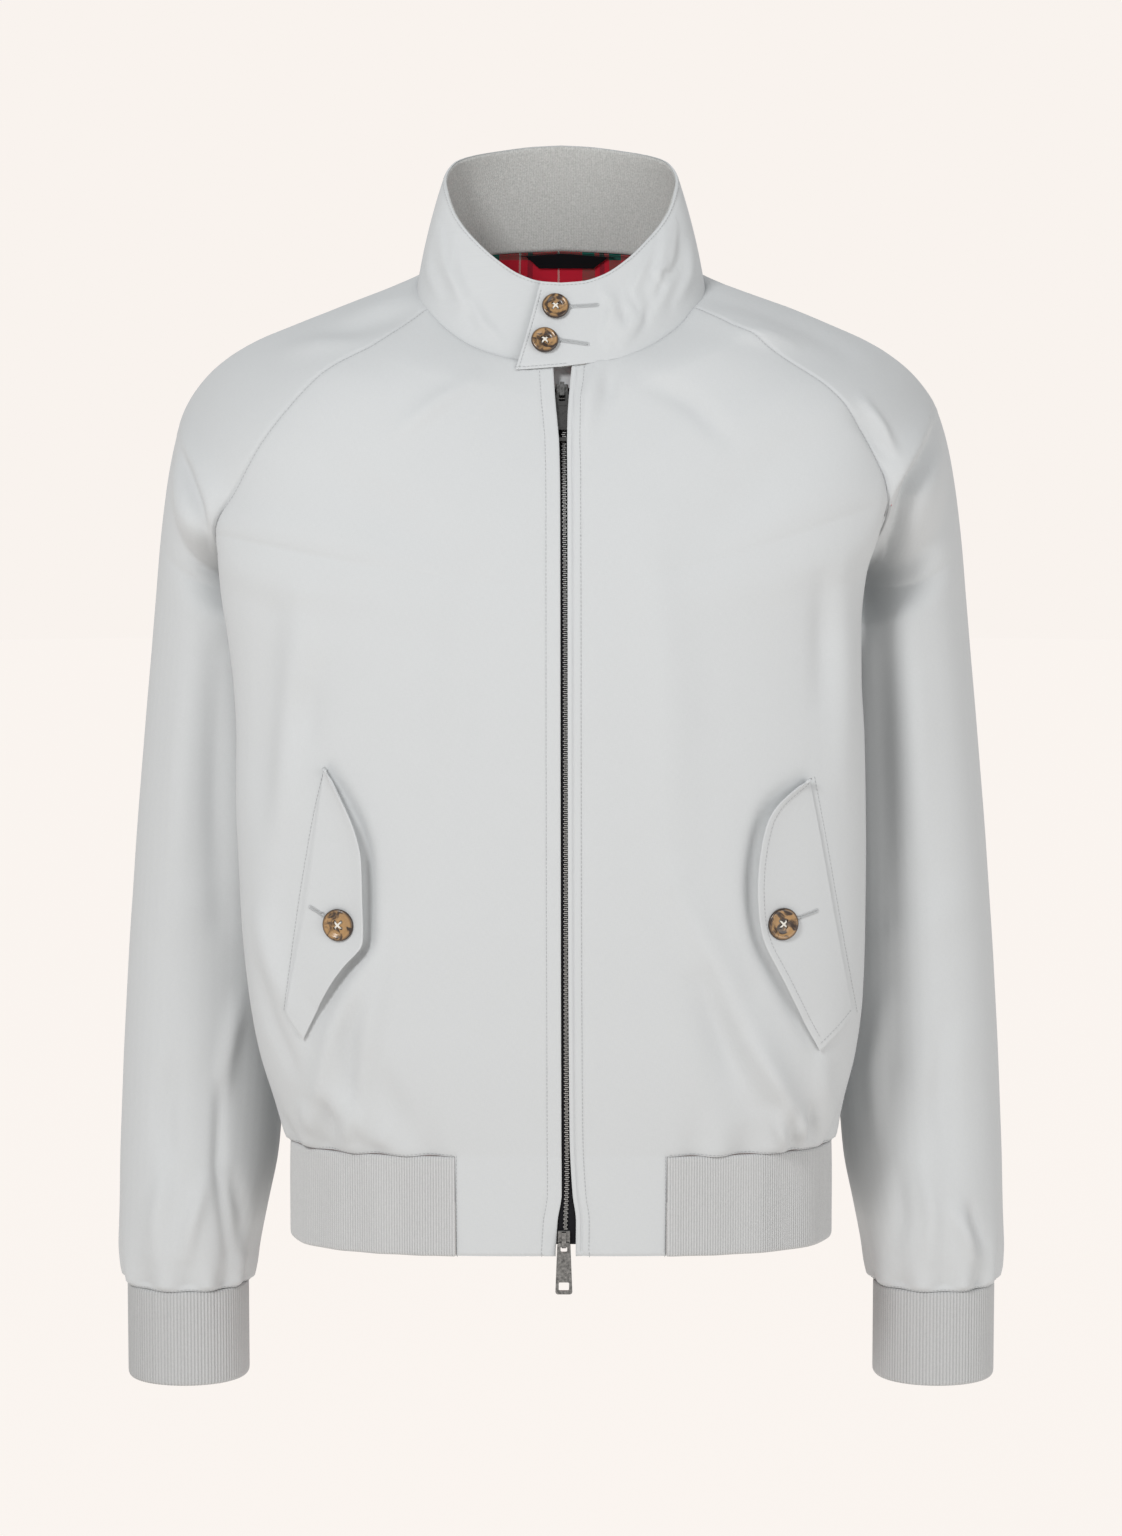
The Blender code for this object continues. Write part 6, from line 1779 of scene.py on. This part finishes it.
def build_collar_rib(sizes):
    """The knit facing inside the collar. It stops where the tab begins."""
    pitch = sizes.collar_rib / MM
    rows, outs, shares = [], [], None
    for height in COLLAR_RIB_HEIGHTS:
        pairs = [
            collar_point(a, height, COLLAR_CLOTH + COLLAR_FACING_GAP) for a in np.linspace(*RIB_ANGLES, 260)
        ]
        line, into = (np.array(column) for column in zip(*pairs))
        shares = rib_shares(line, pitch) if shares is None else shares
        line, into = even_line(line, -into, shares)
        thin = COLLAR_RIB_THIN if height in (COLLAR_RIB_HEIGHTS[0], COLLAR_RIB_HEIGHTS[-1]) else 0.0
        rows.append(line + into * (COLLAR_FACING - thin))
        outs.append(into)
    made = knit_band(
        "collar_rib", rows, outs, pitch, COLLAR_RELIEF, COLLAR_FACING, "collar_knit", inward=True
    )
    wide, high = lengths(rows[-1])[-1], np.linalg.norm(rows[0] - rows[-1], axis=1)
    declare(made, "collar_rib", wide, high.max(), wide * high.mean())


# ---------------------------------------------------------------- lining and label


def build_lining():
    """The part of the lining that shows below the collar, close inside the back."""
    cloth = back_cloth("back_lining", LINING_ROWS)
    source = PANELS["back"]
    index = source.index[0][:len(cloth.index[0])]
    spots = source.points[index] - source.normals[index] * (SHELL + LIFT)
    cloth.points[cloth.index[0].ravel()] = spots.reshape(-1, 3)
    cloth.normals[cloth.index[0].ravel()] = source.normals[index].reshape(-1, 3)
    place_sheet(wall(cloth, LINING, [mat("tartan_lining")]), cloth)


def build_label():
    """The bare label, sewn under the collar at the middle of the back."""
    surface = Surface(PANELS["back_lining"])
    top_edge = PANELS["back_lining"].shape()[0][0]
    top_edge = top_edge[np.argsort(top_edge[:, 0])]
    cloth = Cloth("label", "label", turned=False)
    grid = []
    for share in np.linspace(0, 1, LABEL_ROWS):
        left, right, z = (1 - share) * np.array(LABEL_TOP) + share * np.array(LABEL_FOOT)
        row = []
        for x in np.linspace(left, right, LABEL_COLUMNS):
            seam = np.interp(x, top_edge[:, 0], top_edge[:, 2])
            spot, normal = surface.at(x, min(z, seam - 1.0))
            row.append(spot - normal * (LINING + LIFT + LABEL_CLOTH))
        grid.append(row)
    grid = eased(np.array(grid), 6)
    cloth.add(grid, row_flats(grid))
    made = wall(cloth.close(), LABEL_CLOTH, [mat("label_black")])
    place(made, cloth.name)
    middle = len(grid[0]) // 2
    declare(made, cloth.name, cloth.cut()[0], lengths(grid[:, middle])[-1], cloth.area)


# ---------------------------------------------------------------- pockets


def flap_lift(side, x, z, share, down):
    """How far a point of a flap stands off the front, from its shares of the way across and down."""
    button_x, button_z = POCKET_BUTTONS[side]
    held = math.exp(-((x - button_x) ** 2 + (z - button_z) ** 2) / FLAP_HELD ** 2)
    stand = FLAP_STAND * share ** 3 * math.sin(math.pi * min(1, down + 0.12)) ** 0.6 * (1 - held)
    puff = FLAP_PUFF * math.sin(math.pi * share)
    return LIFT + FLAP_CLOTH - HINGE_SINK[side] * (1 - ease(share * 8)) + puff + stand


def flap_cloth(side, surface, sewn, free, shares):
    """The sheet of a flap, from its sewn edge to its free one."""
    cloth = Cloth("flap_" + side, "flap", turned=side == "left")
    across = places(FLAP_WIDTH, EDGE_PLACES[:3], EDGE_PLACES, FLAP_COLUMNS)
    grid = np.empty((len(shares), len(across), 3))
    raised = np.empty_like(grid)
    for i, (a, b, down) in enumerate(zip(sewn, free, shares)):
        for j, share in enumerate(across):
            x, z = a + (b - a) * share
            grid[i, j], normal = surface.at(x, z)
            raised[i, j] = flap_lift(side, x, z, share, down) * normal
    grid = eased(grid, 10) + raised
    cloth.add(grid, row_flats(grid))
    return cloth.close()


def build_flap(side):
    """A slanting pocket's flap, sewn along its outer edge and buttoned at the free one."""
    surface = Surface(UNDER_FLAPS[side])
    shares = places(FLAP_LENGTH, EDGE_PLACES, EDGE_PLACES, FLAP_ROWS)
    sewn = spread(rounded(xz(FLAP_SEWN[side]), 2), shares)
    free = spread(rounded(xz(FLAP_FREE[side])), shares)
    free[0] = sewn[0]
    cloth = flap_cloth(side, surface, sewn, free, shares)

    def free_edge(middle):
        hinge = np.interp(-middle[:, 2], -FLAP_SEWN[side]["z"], FLAP_SEWN[side]["x"])
        return (np.abs(middle[:, 0] - hinge) > 2.5) | (middle[:, 2] < FLAP_SEWN[side]["z"][-1] - 1)

    edge = cloth.from_rim(free_edge)
    dip(cloth, edge, 0.4, EDGE_DIP_WIDTH)
    if side == "left":
        dip(cloth, edge, STITCH_DIP * 0.5, STITCH_DIP_WIDTH, FLAP_STITCH)
    cloth.find_normals()
    place_sheet(wall(cloth, FLAP_CLOTH, [mat("shell_cloth")]), cloth)
    shaped, normals = cloth.shape()
    if side == "left":
        sew(*beside(shaped[:-8], normals[:-8], FLAP_STITCH, from_end=True))
        sew(*along(shaped[:, 3:-6], normals[:, 3:-6], FLAP_STITCH, from_end=True))
    way = np.gradient(sewn, axis=0)
    off = units(np.stack([way[:, 1], -way[:, 0]], 1)) * HINGE_STITCH[side]
    outside = sewn + (off if np.sign(off[:, 0].mean()) == SIDES[side] else -off)
    spots, outs = zip(*(surface.at(x, z) for x, z in outside))
    sew(np.array(spots), np.array(outs))


# ---------------------------------------------------------------- buttons


def tube(path, radius, sides=6):
    """Points and faces of a closed tube along a path."""
    points, faces = [], []
    way = units(np.gradient(path, axis=0))
    for i, (spot, along_it) in enumerate(zip(path, way)):
        side = unit(np.cross(along_it, (0.3, 0.2, 1)))
        other = np.cross(along_it, side)
        for turn in np.arange(sides) * 2 * math.pi / sides:
            points.append(spot + radius * (side * math.cos(turn) + other * math.sin(turn)))
        if i:
            a = (i - 1) * sides
            for k in range(sides):
                m = (k + 1) % sides
                faces.append((a + k, a + m, a + m + sides, a + k + sides))
    faces += [tuple(range(sides))[::-1], tuple(range(len(points) - sides, len(points)))]
    return points, faces


def merged(pieces):
    """Several pairs of points and faces as one."""
    points, faces = [], []
    for some, theirs in pieces:
        faces += [tuple(n + len(points) for n in face) for face in theirs]
        points += list(some)
    return points, faces


def turned_mesh(name, profile):
    """A round solid about Z from a profile of radius and height, from its top pole to its lower one."""
    steps = BUTTON_LATHE
    turns = np.arange(steps) * 2 * math.pi / steps
    points, faces = [(0, 0, profile[0][1])], []
    for radius, height in profile[1:-1]:
        points += [(radius * math.cos(t), radius * math.sin(t), height) for t in turns]
    points.append((0, 0, profile[-1][1]))
    rings = len(profile) - 2
    for k in range(steps):
        m = (k + 1) % steps
        faces.append((0, 1 + k, 1 + m))
        for ring in range(rings - 1):
            a, b = 1 + ring * steps, 1 + (ring + 1) * steps
            faces.append((a + k, b + k, b + m, a + m))
        last = 1 + (rings - 1) * steps
        faces.append((last + k, len(points) - 1, last + m))
    return plain_object(name, points, faces)


def drill(made, cutters):
    """Cut pieces out of one and keep the outcome as a plain mesh."""
    for cutter in cutters:
        step = made.modifiers.new("hole", "BOOLEAN")
        step.operation, step.solver, step.object = "DIFFERENCE", "EXACT", cutter
    mesh = as_evaluated(made)
    made.modifiers.clear()
    made.data = mesh
    for cutter in cutters:
        bpy.data.objects.remove(cutter)


def standing(normal, spot):
    """The matrix that puts a piece made about Z on a spot, with Z along the normal."""
    turn = Vector(normal).to_track_quat("Z", "Y").to_matrix().to_4x4()
    turn.translation = Vector(spot) * MM
    return turn


# A button's profile from its top pole to its foot, as shares of its radius and its thickness.
BUTTON_PROFILE = (
    (0, 0.5), (0.3, 0.5), (0.52, 0.53), (0.62, 0.66), (0.7, 0.86), (0.78, 0.97), (0.86, 1),
    (0.93, 0.93), (0.98, 0.76), (1, 0.55), (0.98, 0.32), (0.9, 0.12), (0.7, 0), (0, 0),
)
HOLE_AWAY = 0.2  # how far a button's holes lie from its middle in x and y, as a share of its radius
HOLE_RADIUS = 0.105  # also as a share of the button's radius
STRAND_RADIUS = 0.24
STRAND_STEP = 0.42  # between two strands of one bundle


def button_thread(name, away):
    """Two crossed bundles of three strands each, which dive into a button's holes."""
    strands = []
    shares = np.linspace(-1, 1, 9)
    for turn, top in ((45, 0.75), (-45, 0.95)):
        way = np.array([math.cos(math.radians(turn)), math.sin(math.radians(turn)), 0])
        side = np.array([-way[1], way[0], 0])
        rise = BUTTON_THICKNESS * 0.5 + top * (1 - shares ** 4) - 0.9 * (np.abs(shares) > 0.99)
        for shift in (-STRAND_STEP, 0.0, STRAND_STEP):
            path = shares[:, None] * way * away * 1.5 + side * shift * (1 - 0.4 * np.abs(shares[:, None]))
            strands.append(tube(path + np.outer(rise, (0, 0, 1)), STRAND_RADIUS))
    points, faces = merged(strands)
    thread = plain_object(name, points, faces)
    thread.data.materials.append(mat("button_thread"))
    lay_flat(thread.data, np.array(points)[:, :2])
    return thread


def build_button(name, diameter, spot, normal):
    """A button with a raised rim, a dished middle and four holes, sewn on with a cross of thread."""
    radius = diameter / 2
    made = turned_mesh(name, [(radius * r, BUTTON_THICKNESS * t) for r, t in BUTTON_PROFILE])
    away = radius * HOLE_AWAY
    cutters = []
    for x, y in ((1, 1), (-1, 1), (-1, -1), (1, -1)):
        path = np.array([(x * away, y * away, h) for h in (-1.0, BUTTON_THICKNESS + 1.0)])
        cutters.append(plain_object("hole", *tube(path, radius * HOLE_RADIUS, 14)))
    drill(made, cutters)
    mesh = made.data
    spots = np.empty(len(mesh.vertices) * 3)
    mesh.vertices.foreach_get("co", spots)
    lay_flat(mesh, spots.reshape(-1, 3)[:, :2], 1 / (radius * MM))
    mesh.materials.clear()
    mesh.materials.append(mat("horn"))
    set_smooth(mesh, True)
    mesh.set_sharp_from_angle(angle=math.radians(50))
    seat = standing(normal, spot + normal * LIFT)
    mesh.transform(seat)
    place(made, name)
    thread = button_thread(name + "_thread", away)
    thread.data.transform(seat)
    add(thread)


HOLE_HALF = 0.75  # half a buttonhole's width
EYE_RADIUS = 1.25
HOLE_STITCH_LIFT = 0.22
SLIT_RADIUS = 0.1
SLIT_SUNK = 0.02
HOLE_STITCH = (0.0006, 0.0016, 0.0005)  # pitch, length and thickness, in metres


def buttonhole(surface, start, end):
    """A worked buttonhole from its eye beside the button to its far end, with the slit it closes as a thin
    tube in painted shade.
    """
    start, end = np.array(start, float), np.array(end, float)
    way, length = unit(end - start), np.linalg.norm(end - start)
    side = np.array([-way[1], way[0]])
    round_eye, round_end = np.linspace(-2.3, 2.3, 15), np.linspace(1.2, -1.2, 7)
    outline = [start + EYE_RADIUS * (math.cos(a) * -way + math.sin(a) * side) for a in round_eye]
    outline += [start + way * t + side * HOLE_HALF for t in np.linspace(1.6, length, 16)]
    outline += [end + HOLE_HALF * (math.cos(a) * way + math.sin(a) * side) for a in round_end]
    outline += [start + way * t - side * HOLE_HALF for t in np.linspace(length, 1.6, 16)]
    outline = np.array(outline + outline[:1])
    middle = start + way * np.clip((outline - start) @ way, 0, length)[:, None]
    stitches = []
    for where, off in zip(outline, outline - middle):
        spot, normal = surface.at(*where)
        flat = np.array([off[0], 0, off[1]])
        stitches.append((spot + normal * HOLE_STITCH_LIFT, normal, unit(flat - normal * (flat @ normal))))
    HOLE_LINES.append(tuple(np.array(column) for column in zip(*stitches)))
    # the slit is a thin tube in painted shade, standing for the shade in the closed slit
    slit = [surface.at(*(start + way * t)) for t in np.linspace(-0.6, length - 0.2, 14)]
    return tube(np.array([spot - normal * SLIT_SUNK for spot, normal in slit]), SLIT_RADIUS)


def build_pockets():
    for side in SIDES:
        build_flap(side)
        surface = Surface(PANELS["flap_" + side])
        spot, normal = surface.at(*POCKET_BUTTONS[side])
        build_button("button_pocket_" + side, BUTTON_POCKET, spot, normal)


def build_collar_buttons():
    surface = Surface(PANELS["collar_outer"])
    for which, spot in COLLAR_BUTTONS.items():
        spot, normal = surface.at(*spot)
        build_button("button_collar_" + which, BUTTON_COLLAR, spot, normal)


def build_buttonholes():
    """The worked holes beside the buttons, and the slits between their stitches, drawn in painted shade."""
    slits = []
    for carrier, holes in BUTTONHOLES.items():
        surface = Surface(PANELS[carrier])
        slits += [buttonhole(surface, start, end) for start, end in holes]
    points, faces = merged(slits)
    made = plain_object("buttonhole_slits", points, faces)
    made.data.materials.append(mat("slit_shadow"))
    lay_flat(made.data, np.array(points)[:, [0, 2]])
    add(made)


# ---------------------------------------------------------------- the zip


def front_y(z):
    """How far back the middle of the closed fronts lies at a height."""
    return smooth(-FRONT_MIDDLE["z"], FRONT_MIDDLE["y"], -z)


def zip_point(z, depth):
    """A point on the middle line of the zip, depth behind the fronts, and the fronts' normal there."""
    y = front_y(z) + HEM_TURN * np.clip((FRONT_MIDDLE["z"][-1] - z) / HEM_HEIGHT, 0, 1)
    normal = unit(np.array([0, -8, front_y(z + 4) - front_y(z - 4)]))
    return np.array([smooth(-ZIP_MIDDLE["z"], ZIP_MIDDLE["x"], -z), y, z]) - normal * depth, normal


def tape_depth(z):
    """How far behind the fronts a tape lies: deeper at the neck, where the upper pull hides."""
    return TAPE_DEPTH + TAPE_SUNK * ease((z + 150) / 40)


def build_tape(side):
    """One tape of the zip, from near the middle to behind its front."""
    front = PANELS["front_" + side]
    cloth = Cloth("zip_tape_" + side, "tape", turned=side == "right")
    rows = []
    for number in (0, 1):
        grid, normals = front.shape(number)
        last = int(np.searchsorted(lengths(grid[0]), TAPE_REACH))
        for row, outs in zip(grid[number:], normals[number:]):
            z = row[0][2]
            if z > TAPE_TOP or z < TAPE_FOOT:
                continue
            inner = zip_point(z, tape_depth(z))[0] + np.array([SIDES[side] * TAPE_GAP, 0, 0])
            outer = row[last] - outs[last] * tape_depth(z)
            rows.append([inner + (outer - inner) * t for t in (0, 0.08, 0.2, 0.35, 0.5, 0.65, 0.8, 1)])
    grid = np.array(rows)
    cloth.add(grid, row_flats(grid))
    place_sheet(wall(cloth.close(), TAPE_CLOTH, [mat("zip_tape_black")]), cloth)


def build_facing():
    """The end of the inner facing, which shows above the upper slider."""
    cloth = Cloth("inner_facing", "tape", turned=False)
    grid = []
    for z in np.linspace(FACING_TOP, FACING_FOOT, 13):
        middle, _ = zip_point(z, tape_depth(z) + TAPE_CLOTH + LIFT)
        grid.append([middle + (x, 0.02 * x * x, 0) for x in np.linspace(*FACING_ENDS, 15)])
    cloth.add(grid, row_flats(np.array(grid)))
    made = wall(cloth.close(), TAPE_CLOTH, [mat("shell_cloth")])
    add(made)
    declare(made, cloth.name, *cloth.cut(), cloth.area)


# Half the outline of a tooth seen along the zip, from its clasp to its nose.
TOOTH_OUTLINE = ((-1.0, 0.20), (-0.7, 0.32), (-0.1, 0.20), (0.4, 0.3), (1.3, 0.3), (1.55, 0.2))


def tooth_object():
    """One tooth of the zip: it clasps its own tape and reaches past the middle between two others."""
    outline = TOOTH_OUTLINE + tuple((x, -y) for x, y in TOOTH_OUTLINE[::-1])
    points = [(x, y, z) for z in (-1.1, 0.85) for x, y in outline]
    points += [(x * 0.92 + 0.06, y * 0.7, 1.15) for x, y in outline]
    size = len(outline)
    faces = [tuple(range(size))[::-1], tuple(range(2 * size, 3 * size))]
    for layer in (0, size):
        for k in range(size):
            m = (k + 1) % size
            faces.append((layer + k, layer + m, layer + m + size, layer + k + size))
    made = plain_object("tooth", points, faces)
    set_smooth(made.data, False)
    return made


def build_teeth(sizes):
    """The closed chain of teeth between the two sliders."""
    heights = np.linspace(TEETH_TOP, TEETH_FOOT, 260)
    pairs = [zip_point(z, tape_depth(z) - TEETH_DEPTH) for z in heights]
    points, outs = (np.array(column) for column in zip(*pairs))
    across = np.repeat([[-1.0, 0, 0]], len(points), 0)
    source = stitch_mesh("zip_line", [(points + (TEETH_SHIFT, 0, 0), outs, across)])
    tooth = tooth_object()
    # painted light: the teeth take a brighter copy of the silver, for light that hardly reaches them in
    # their slot
    made = grow(
        source, "zip_teeth", "Zip teeth", teeth_tree,
        Pitch=sizes.tooth_pitch, Tooth=tooth, Material=mat("bright_silver"),
    )
    bpy.data.objects.remove(tooth)
    add(made)


def finish_hardware():
    """The sliders and pulls keep their solids, in antique silver; the upper pull, which lies in the shade
    between the fronts, takes a darker copy in painted shade.
    """
    for name in ("slider_upper", "pull_upper", "slider_lower", "pull_lower"):
        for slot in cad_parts[name].material_slots:
            slot.material = mat("dark_silver" if name == "pull_upper" else "antique_silver")


# ---------------------------------------------------------------- sewing


def build_sewing(sizes):
    """All running stitches as one piece, and all the stitches round the buttonholes as another."""
    running = (sizes.stitch_pitch, sizes.stitch_length, sizes.thread)
    for name, lines, (pitch, length, thickness), yarn in (
        ("running_stitches", STITCH_LINES, running, "thread"),
        ("buttonhole_stitches", HOLE_LINES, HOLE_STITCH, "hole_thread"),
    ):
        made = grow(
            stitch_mesh(name + "_lines", lines), name, "Sewn stitches", stitch_tree,
            Pitch=pitch, Length=length, Thickness=thickness, Material=mat(yarn),
        )
        add(made)


# ---------------------------------------------------------------- the stage


# In metres, as seen from the front: where the camera and the lamps stand and what they face.
CAMERA_SPOT = (0, -2.8, -0.02)
CAMERA_TARGET = (0, 0, -0.321)
CAMERA_LENS = 100
LAMP_TARGET = (0, 0, -0.32)
LAMPS = (  # name, spot, diameter and the setting of its strength
    ("key", (-1.7, -2.9, 1.7), 1.0, "key"),
    ("fill", (2.4, -2.6, 0.2), 2.4, "fill"),
    ("back", (0.6, 2.4, 1.6), 2.0, "rear"),
)
FLOOR_RADIUS = 12
FLOOR_Z = -1.15


def aim(made, target):
    """Turn a camera or a lamp towards a place."""
    made.rotation_euler = (Vector(target) - made.location).to_track_quat("-Z", "Y").to_euler()


def build_floor(looks):
    """A pale ground below the jacket."""
    mesh = bpy.data.meshes.new("floor")
    shape = bmesh.new()
    bmesh.ops.create_circle(shape, cap_ends=True, radius=FLOOR_RADIUS, segments=96)
    bmesh.ops.translate(shape, vec=(0, 0, FLOOR_Z), verts=shape.verts)
    shape.to_mesh(mesh)
    shape.free()
    _, shader = new_material("pale_floor", 1.0, Emission_Strength=1.0, Specular_IOR_Level=0.0)
    shader.inputs["Base Color"].default_value = (0.02, 0.02, 0.02, 1)
    shader.inputs["Emission Color"].default_value = (*looks.backdrop, 1)
    mesh.materials.append(mat("pale_floor"))
    linked("floor", mesh)


def build_world(looks):
    """The backdrop that is seen, and the plain light that it casts."""
    world = bpy.data.worlds.new("studio")
    bpy.context.scene.world = world
    world.use_nodes = True
    tree = world.node_tree
    tree.nodes.clear()
    seen = result(tree, "ShaderNodeBackground", {"Color": (*looks.backdrop, 1), "Strength": 1.0})
    cast = result(tree, "ShaderNodeBackground", {"Color": (1, 1, 1, 1), "Strength": looks.ambient})
    ray = node(tree, "ShaderNodeLightPath").outputs["Is Camera Ray"]
    mix = result(tree, "ShaderNodeMixShader", {0: ray, 1: cast, 2: seen})
    node(tree, "ShaderNodeOutputWorld", {"Surface": mix})


def build_stage(looks):
    """The ground, the backdrop, the camera and three lamps."""
    scene = bpy.context.scene
    build_floor(looks)
    build_world(looks)
    camera = linked("camera", bpy.data.cameras.new("camera"))
    camera.data.sensor_width = 36
    camera.data.lens = CAMERA_LENS
    camera.location = CAMERA_SPOT
    aim(camera, CAMERA_TARGET)
    scene.camera = camera
    for name, spot, size, strength in LAMPS:
        data = bpy.data.lights.new(name, "AREA")
        data.shape, data.size, data.energy = "DISK", size, getattr(looks, strength)
        light = linked(name, data)
        light.location = spot
        aim(light, LAMP_TARGET)
    scene.view_settings.view_transform = "Standard"


# ---------------------------------------------------------------- settings


def colour_property(name, description, default):
    return bpy.props.FloatVectorProperty(
        name=name, description=description, default=default, subtype="COLOR", size=3, min=0, max=1
    )


def length_property(name, description, default):
    return bpy.props.FloatProperty(
        name=name, description=description, default=default, subtype="DISTANCE", unit="LENGTH",
        min=0, precision=5,
    )


class JacketSizes(bpy.types.PropertyGroup):
    """Sizes of what is sewn, knitted and set along the jacket."""

    stitch_pitch: length_property("Stitch pitch", "From one stitch to the next", 0.0026)
    stitch_length: length_property("Stitch length", "How much of a stitch shows", 0.0021)
    thread: length_property("Thread", "Thickness of the sewing thread", 0.00042)
    hem_rib: length_property("Hem rib", "From one rib of the hem to the next", 0.00176)
    cuff_rib: length_property("Cuff rib", "From one rib of a cuff to the next", 0.0022)
    collar_rib: length_property("Collar rib", "From one rib inside the collar to the next", 0.0015)
    tooth_pitch: length_property("Tooth pitch", "From one zip tooth to the next one facing it", 0.0013)


class JacketLooks(bpy.types.PropertyGroup):
    """Colours of the jacket and the light on it."""

    shell: colour_property("Shell", "Outer cloth", (0.535, 0.552, 0.56))
    knit: colour_property("Knit", "Cuffs and hem", (0.51, 0.518, 0.52))
    facing: colour_property("Facing", "Knit inside the collar", (0.50, 0.505, 0.49))
    piping: colour_property("Piping", "Folded edge along the zip", (0.62, 0.56, 0.42))
    black: colour_property("Black", "Zip tape and label", (0.012, 0.012, 0.014))
    red: colour_property("Red", "Ground of the tartan", (0.80, 0.012, 0.045))
    green: colour_property("Green", "Wide stripe of the tartan", (0.0, 0.16, 0.12))
    maroon: colour_property("Maroon", "Narrow stripe of the tartan", (0.10, 0.012, 0.03))
    cream: colour_property("Cream", "Thin line of the tartan", (0.75, 0.70, 0.66))
    amber: colour_property("Amber", "Light part of the buttons", (0.36, 0.21, 0.085))
    brown: colour_property("Brown", "Dark part of the buttons", (0.03, 0.015, 0.008))
    silver: colour_property("Silver", "Zip", (0.50, 0.50, 0.49))
    backdrop: colour_property("Backdrop", "Floor and studio", (0.947, 0.896, 0.855))
    ambient: bpy.props.FloatProperty(name="Ambient", description="Light from all round", default=0.5, min=0)
    key: bpy.props.FloatProperty(name="Key", description="Light from the front left", default=76, min=0)
    fill: bpy.props.FloatProperty(name="Fill", description="Light from the front right", default=31, min=0)
    rear: bpy.props.FloatProperty(name="Rear", description="Light from behind", default=8, min=0)


class JACKET_OT_materials(bpy.types.Operator):
    """Make the cloths, knits, horn and metal"""

    bl_idname = "jacket.materials"
    bl_label = "Materials"

    def execute(self, context):
        make_materials(context.scene.jacket_looks)
        return {"FINISHED"}


class JACKET_OT_panels(bpy.types.Operator):
    """Build the fronts, the back and the sleeves"""

    bl_idname = "jacket.panels"
    bl_label = "Shell panels"

    def execute(self, context):
        build_panels()
        return {"FINISHED"}


class JACKET_OT_collar(bpy.types.Operator):
    """Build the collar, its knit facing, the lining below it and the bare label"""

    bl_idname = "jacket.collar"
    bl_label = "Collar"

    def execute(self, context):
        build_collar()
        build_collar_rib(context.scene.jacket_sizes)
        build_lining()
        build_label()
        return {"FINISHED"}


class JACKET_OT_knit(bpy.types.Operator):
    """Build the rib-knit hem and cuffs"""

    bl_idname = "jacket.knit"
    bl_label = "Hem and cuffs"

    def execute(self, context):
        build_hem(context.scene.jacket_sizes)
        for side in SIDES:
            build_cuff(side, context.scene.jacket_sizes)
        return {"FINISHED"}


class JACKET_OT_pockets(bpy.types.Operator):
    """Build the pocket flaps and their buttons"""

    bl_idname = "jacket.pockets"
    bl_label = "Pockets"

    def execute(self, context):
        build_pockets()
        return {"FINISHED"}


class JACKET_OT_fastenings(bpy.types.Operator):
    """Build the collar's buttons and all the buttonholes"""

    bl_idname = "jacket.fastenings"
    bl_label = "Buttons and buttonholes"

    def execute(self, context):
        build_collar_buttons()
        build_buttonholes()
        return {"FINISHED"}


class JACKET_OT_zip(bpy.types.Operator):
    """Build the zip's tapes and teeth and finish its sliders"""

    bl_idname = "jacket.zip"
    bl_label = "Zip"

    def execute(self, context):
        for side in SIDES:
            build_tape(side)
        build_facing()
        build_teeth(context.scene.jacket_sizes)
        finish_hardware()
        return {"FINISHED"}


class JACKET_OT_sewing(bpy.types.Operator):
    """Sew along every seam and edge and round the buttonholes"""

    bl_idname = "jacket.sewing"
    bl_label = "Sewing"

    def execute(self, context):
        build_sewing(context.scene.jacket_sizes)
        return {"FINISHED"}


class JACKET_OT_stage(bpy.types.Operator):
    """Set the floor, the light and the camera"""

    bl_idname = "jacket.stage"
    bl_label = "Stage"

    def execute(self, context):
        build_stage(context.scene.jacket_looks)
        return {"FINISHED"}


OPERATORS = (
    JACKET_OT_stage, JACKET_OT_materials, JACKET_OT_panels, JACKET_OT_collar, JACKET_OT_knit,
    JACKET_OT_pockets, JACKET_OT_fastenings, JACKET_OT_zip, JACKET_OT_sewing,
)


class JACKET_PT_panel(bpy.types.Panel):
    """Lists the steps that build the jacket"""

    bl_label = "Harrington jacket"
    bl_idname = "JACKET_PT_panel"
    bl_space_type = "VIEW_3D"
    bl_region_type = "UI"
    bl_category = "Jacket"

    def draw(self, context):
        for operator in OPERATORS:
            self.layout.operator(operator.bl_idname)


CLASSES = (JacketSizes, JacketLooks, *OPERATORS, JACKET_PT_panel)


def register():
    for cls in CLASSES:
        bpy.utils.register_class(cls)
    bpy.types.Scene.jacket_sizes = bpy.props.PointerProperty(type=JacketSizes)
    bpy.types.Scene.jacket_looks = bpy.props.PointerProperty(type=JacketLooks)


def unregister():
    del bpy.types.Scene.jacket_looks
    del bpy.types.Scene.jacket_sizes
    for cls in reversed(CLASSES):
        bpy.utils.unregister_class(cls)


def main():
    register()
    for operator in OPERATORS:
        family, name = operator.bl_idname.split(".")
        getattr(getattr(bpy.ops, family), name)()


if __name__ == "__main__":
    main()
